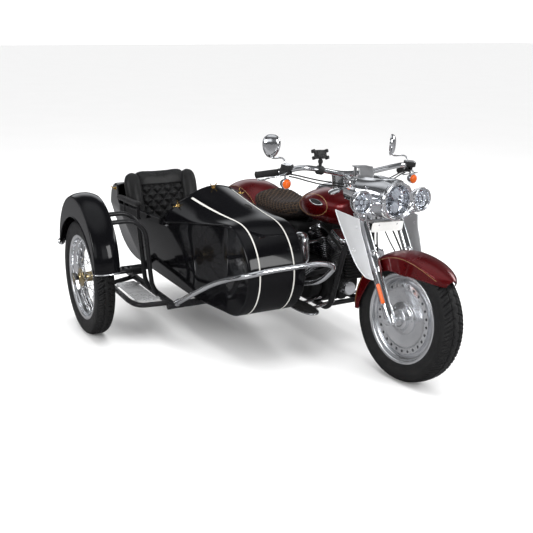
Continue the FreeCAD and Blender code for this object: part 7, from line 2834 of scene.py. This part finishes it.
    def fit_horn_cover(self) -> None:
        """The chrome horn cover on the sidecar's side, with an oval rim round its dark grille."""
        rows = ((-0.692, -0.196, 0.447, 0.078, 0.062, 0.022), (-0.697, -0.199, 0.492, 0.090, 0.068, 0.024),
                (-0.700, -0.200, 0.545, 0.096, 0.070, 0.024), (-0.704, -0.198, 0.590, 0.091, 0.063, 0.023),
                (-0.706, -0.196, 0.620, 0.080, 0.050, 0.020))
        rings = []
        for x, y, z, deep, wide, corner in rows:
            flat = squircle(deep / 2, wide / 2, corner, 80)
            rings.append(np.stack([x + flat[:, 0], y + flat[:, 1], np.full(80, z)], axis=1))
        cover = Shell("horn_shell")
        skin = lofted(rings, 40)
        ends = np.linspace(-1, 1, 40)
        shrink = np.clip(1 - np.abs(ends) ** 9, 0, 1) ** 0.5 * 0.5 + 0.5
        middle = skin.mean(axis=1, keepdims=True)
        cover.grid(middle + (skin - middle) * shrink[:, None, None], wrap_v=True, caps=True)
        flat = squircle(0.030, 0.062, 0.030, 96)
        y = -0.2365
        cover.hoop(np.stack([-0.701 + flat[:, 0], np.full(96, y), 0.536 + flat[:, 1]], axis=1), 0.0042, 12)
        cover.bent([(-0.705, -0.060, 0.560), (-0.705, -0.190, 0.560)], 0.009)
        cover.build([CHROME], "chassis", replaces=["horn_cover"], sharp=40)
        grille = Shell("horn_grille")
        grille.block(squircle(0.029, 0.061, 0.029, 80), (-0.701, -0.2375, 0.536), (0, -1, 0), 0.006, 0.001)
        for k in range(-4, 5):
            half = 0.027 * math.sqrt(max(0.05, 1 - (k / 5.2) ** 2))
            wire = np.array([(-0.701 + half * way, y - 0.002, 0.536 + 0.0115 * k) for way in (-1, 1)])
            grille.bar(wire, 0.0016, 8)
        grille.build([PLASTIC], "chassis", sharp=30)


@dataclass
class Exhaust:
    """Two header pipes and two long mufflers on the open side, one above the other."""

    pipe: float = 0.022
    muffler: float = 0.041
    out: float = 0.226
    low: float = 0.300
    high: float = 0.392

    def build(self) -> None:
        """Makes the pipes with their flanges and bands, and the mufflers with their tips."""
        y, low, high = self.out, self.low, self.high
        runs = (((-0.560, 0.070, 0.560), (-0.505, 0.205, 0.520), (-0.640, y, 0.340), (-0.800, y, low),
                 (-1.230, y, low)),
                ((-0.862, 0.070, 0.545), (-0.870, 0.196, 0.520), (-0.900, y, 0.432), (-1.060, y, high),
                 (-1.230, y, high)))
        pipes = Shell("exhaust_pipes")
        for run in runs:
            pipes.bent(run, self.pipe, 0.07, 36)
            start = np.array(run[0])
            way = unit(np.array(run[1]) - start)
            pipes.lathe([(0.006, 0.0), (0.006, 0.031), (0.014, 0.032), (0.016, 0.026), (0.016, 0.0)], start, way, 48)
        for z in (low, high):
            body = [(0.0, 0.0), (0.0, 0.023), (0.006, 0.0245), (0.030, 0.033), (0.060, 0.039), (0.090, self.muffler),
                    (0.560, self.muffler), (0.562, self.muffler + 0.001), (0.600, self.muffler + 0.001),
                    (0.602, self.muffler), (0.668, 0.0385), (0.684, 0.0385), (0.689, 0.037), (0.690, 0.034),
                    (0.684, 0.031), (0.640, 0.030), (0.640, 0.0)]
            pipes.lathe(body, (-1.200, y, z), (-1, 0, 0), 80)
        for x, z in ((-0.98, low), (-1.14, high), (-1.14, low)):
            band = [(0.0, 0.0), (0.0, 0.0245), (0.001, 0.0252), (0.013, 0.0252), (0.014, 0.0245), (0.014, 0.0)]
            pipes.lathe(band, (x, y, z), (-1, 0, 0), 48)
        pipes.build([CHROME], "chassis", replaces=["exhaust"], sharp=30)
        # painted shade: dark discs just inside the muffler tips stand for the shade down the bores
        inside = Shell("muffler_bore_shade")
        for z in (low, high):
            inside.lathe([(0.0, 0.0), (0.0, 0.0298), (0.002, 0.0298), (0.002, 0.0)], (-1.842, y, z), (-1, 0, 0), 48)
        inside.build([PLASTIC], "chassis")


@dataclass
class Footboards:
    """Half-moon rubber-topped footboards on both sides, each on two stays."""

    reach: float = 0.262

    def build(self) -> None:
        """Makes both boards, their chrome edges, ribs and stays."""
        boards, pads = Shell("footboard_pans"), Shell("footboard_pads")
        outline = squircle(0.052, 0.150, 0.046, 96)
        for side in (-1, 1):
            middle = np.array([-0.590, self.reach * side, 0.246])
            boards.block(outline, middle, (0, 0, 1), 0.010, 0.002, up=(1, 0, 0))
            edge = middle + np.array([0, 0, -0.003]) + np.stack([outline[:, 1], outline[:, 0], np.zeros(96)], axis=1)
            boards.hoop(edge, 0.0036, 10)
            for x in (-0.540, -0.640):
                boards.bent([(x, 0.085 * side, 0.262), (x, 0.190 * side, 0.243), (x, 0.280 * side, 0.240)], 0.0085,
                            0.02)
            pads.block(outline * 0.93, middle + [0, 0, 0.0035], (0, 0, 1), 0.005, 0.0012, up=(1, 0, 0))
            for k in range(-6, 7):
                x = middle[0] + 0.0205 * k
                half = 0.042 * math.sqrt(max(0.1, 1 - (k * 0.0205 / 0.150) ** 4))
                pads.block(squircle(half, 0.0042, 0.0035, 24), (x, middle[1], middle[2] + 0.0058), (0, 0, 1), 0.003,
                           0.001, up=(1, 0, 0))
        boards.build([CHROME], "chassis", replaces=["footboards"], sharp=30)
        pads.build([RUBBER], "chassis", sharp=30)


# ---- the sidecar's running gear ---------------------------------------------------------------------
@dataclass
class CarFender:
    """The sidecar wheel's deep black fender with its bright lower trim, on two bent stays."""

    middle: tuple[float, float, float] = (-1.360, -1.194, 0.445)
    radius: float = 0.361
    half: float = 0.070
    skirt: float = 0.346
    bow: float = 0.016
    stay_tops: tuple[tuple[float, float], ...] = ((-1.180, 0.668), (-1.286, 0.690))

    def build(self) -> None:
        """Makes the skin, whose walls end on a circle round the wheel's axle, its trim and its stays."""
        turn = np.radians(np.linspace(-2, 177, 150))
        c = np.array(self.middle)

        def centre(angle: Array) -> Array:
            """One middle above the axle."""
            return np.stack([np.full_like(angle, c[0]), np.full_like(angle, c[2])], axis=1)

        gap = (c - CAR_AXLE)[[0, 2]]
        ray = np.stack([np.cos(turn), np.sin(turn)], axis=1)
        b = ray @ gap
        inner = -b + np.sqrt(b ** 2 - gap @ gap + self.skirt ** 2)
        drop = np.maximum(self.radius - self.bow - 0.012 - inner, 0.012)
        skin = fender_skin(65, centre, np.full(150, self.radius), np.full(150, self.half), drop, turn, self.bow)
        skin[..., 1] += c[1]
        fender = Shell("car_fender_skin")
        fender.plate(skin, 0.0026, tuple(c))
        fender.build([BLACK], "chassis", replaces=["sidecar_fender"], sharp=50)
        trim = Shell("car_fender_trim")
        trim.grid(tube(resampled(border(skin), 360, closed=True), 0.0032, 10, closed=True), wrap_u=True, wrap_v=True,
                  finish=1)
        band = skin[0:4]
        out = unit(band - np.array([c[0], 0, c[2]]) * [1, 0, 1] - band * [0, 1, 0])
        trim.plate(band + out * 0.0022, 0.0018, tuple(c), finish=1)
        trim.bar(skin[0] + [0.001, 0, 0.001], 0.0036, 10)
        for x, z in self.stay_tops:
            trim.screw(np.array([x, c[1] + self.half * 0.99, z]), (0, 1, 0), 0.009, 0.005)
        trim.build([CHROME, BLACK], "chassis", sharp=35)
        stays = Shell("car_fender_stays")
        for x, top in self.stay_tops:
            path = [(x, -0.858, 0.231), (x, -0.890, 0.285), (x, -0.920, top - 0.060), (x, -0.990, top),
                    (x, -1.126, top)]
            stays.bent(path, 0.013, 0.045)
        stays.build([FRAME], "chassis", replaces=["fender_stays"], sharp=35)


@dataclass
class StepGear:
    """The black step loop with its raised-pattern plate, the chrome bumper, and the lamp on the fender."""

    bar: float = 0.014

    def build(self) -> None:
        """Makes all four."""
        loop = Shell("step_loop")
        path = [(-1.016, -0.862, 0.225), (-1.040, -1.020, 0.225), (-1.130, -1.042, 0.225), (-1.500, -1.034, 0.225),
                (-1.580, -0.862, 0.225)]
        loop.bent(path, self.bar, 0.045)
        loop.build([FRAME], "chassis", replaces=["step_rail"], sharp=35)
        plate = Shell("step_tread")
        plate.block(squircle(0.058, 0.194, 0.006, 96), (-1.284, -0.948, 0.2312), (0, 0, 1), 0.004, 0.0012,
                    up=(1, 0, 0))
        for x in (-1.440, -1.130):
            plate.block(box_outline(0.181, 0.028, 0.004), (x, -0.9455, 0.227), (0, 0, 1), 0.006, 0.0012, up=(1, 0, 0))
        plate.build([CHECKER], "chassis", replaces=["step_plate"], sharp=30)
        self.bend_bumper()
        self.hang_lamp()

    def bend_bumper(self) -> None:
        """The chrome bar round the nose: one smooth bend after another, and two thin bars fanning back."""
        bumper = Shell("nose_bumper")
        path = [(-0.930, -0.836, 0.248), (-0.812, -0.808, 0.321), (-0.662, -0.752, 0.415), (-0.540, -0.720, 0.468),
                (-0.360, -0.706, 0.531), (-0.348, -0.590, 0.546), (-0.348, -0.300, 0.548), (-0.342, -0.205, 0.524),
                (-0.420, -0.250, 0.420), (-0.560, -0.331, 0.385), (-0.800, -0.331, 0.300), (-0.956, -0.331, 0.237)]
        line = rounded(np.array(path), 0.060, steps=11)
        bumper.bar(line, self.bar, 28)
        for way in ((-0.347, -0.235, 0.536), (-0.350, -0.262, 0.546)):
            start = np.array(way)
            fan = [start, start + [-0.10, -0.004, -0.030], start + [-0.200, -0.060, -0.120]]
            bumper.bar(through(fan, 24), 0.0065, 14)
        for spot, towards in ((path[0], path[1]), (path[-1], path[-2])):
            foot = np.array(spot)
            bumper.lathe([(-0.012, 0.0), (-0.012, 0.019), (0.012, 0.019), (0.012, 0.0)], foot,
                         unit(np.array(towards) - foot), 40)
        bumper.build([CHROME], "chassis", replaces=["bumper_bar"], sharp=35)

    def hang_lamp(self) -> None:
        """The small amber lamp behind the fender."""
        at = np.array([-1.712, -1.234, 0.440])
        holder, lens = Shell("car_lamp_holder"), Shell("car_lamp_lens")
        holder.bent([at + [0.006, 0, 0.030], at + [-0.030, 0, 0.028], at + [-0.060, 0, 0.024]], 0.007)
        away = unit(np.array([-0.040, 0.0, -0.020]))
        cup = [(0.0, 0.0), (0.0, 0.012), (0.006, 0.019), (0.016, 0.022), (0.022, 0.022), (0.022, 0.0)]
        holder.lathe(cup, at + [-0.044, 0, 0.014], away, 48)
        holder.build([CHROME], "chassis", replaces=["sidecar_lamp"], sharp=30)
        dome = [(0.020, 0.0), (0.020, 0.0208), (0.030, 0.0195), (0.038, 0.0145), (0.042, 0.007), (0.043, 0.0)]
        lens.lathe(dome, at + [-0.044, 0, 0.014], away, 48)
        lens.build([AMBER], "chassis")


# ---- CAD nodes that keep their shape ----------------------------------------------------------------
DRESSED = {
    "main_frame": FRAME, "swingarm": FRAME, "rear_axle": CHROME, "crankcase": ENGINE, "front_cylinder": ENGINE,
    "rear_cylinder": ENGINE, "primary_cover": ENGINE, "air_cleaner": CHROME, "horn_cover": CHROME,
    "exhaust": CHROME, "drive_belt": BELT, "fuel_tank": RED, "tank_console": CHROME, "rear_fender": RED,
    "tail_lamps": CHROME, "footboards": RUBBER, "sidecar_frame": FRAME, "sidecar_struts": FRAME,
    "sidecar_body": BLACK, "sidecar_fender": BLACK, "fender_stays": FRAME, "sidecar_axle": FRAME,
    "step_rail": CHROME, "step_plate": CHECKER, "bumper_bar": CHROME, "sidecar_lamp": AMBER,
    "rider_seat": SEAT_HIDE, "sidecar_seat": CAR_HIDE, "armrest": CAR_HIDE,
    "fork_legs": CHROME, "fork_clamps": CHROME, "front_axle": CHROME, "handlebar": CHROME,
    "hand_grips": RUBBER, "bar_controls": PLASTIC, "mirrors": CHROME, "turn_signals": AMBER, "nacelle": CHROME,
    "clamp_cover": STEEL, "headlamp": REFLECTOR, "passing_lamps": CHROME, "fork_deflectors": SILVER,
    "front_fender": RED, "number_plate": PLATE, "phone_holder": PLASTIC, "front_tyre": TYRE,
    "front_disc_wheel": ALLOY, "rear_tyre": TYRE, "rear_disc_wheel": ALLOY, "sidecar_tyre": TYRE,
    "sidecar_spoke_wheel": CHROME,
}


PARTS: tuple[type, ...] = (SidecarShell, Tyres, FrontWheel, RearWheel, SidecarWheel, ForkLegs, Deflectors, Lamps,
                           FrontFender, Bars, RiderSeat, CarSeat, ArmRest, FuelTank, RearFender, Engine, Exhaust,
                           Footboards, CarFender, StepGear)


# ---- making -----------------------------------------------------------------------------------------
def main() -> None:
    """Builds everything in order."""
    logging.basicConfig(level=logging.INFO, format="%(name)s: %(message)s")
    Studio().build()
    for node, finish in DRESSED.items():
        dress(node, finish)
    for part in PARTS:
        log.info("building %s", part.__name__)
        part().build()


if __name__ == "__main__":
    main()
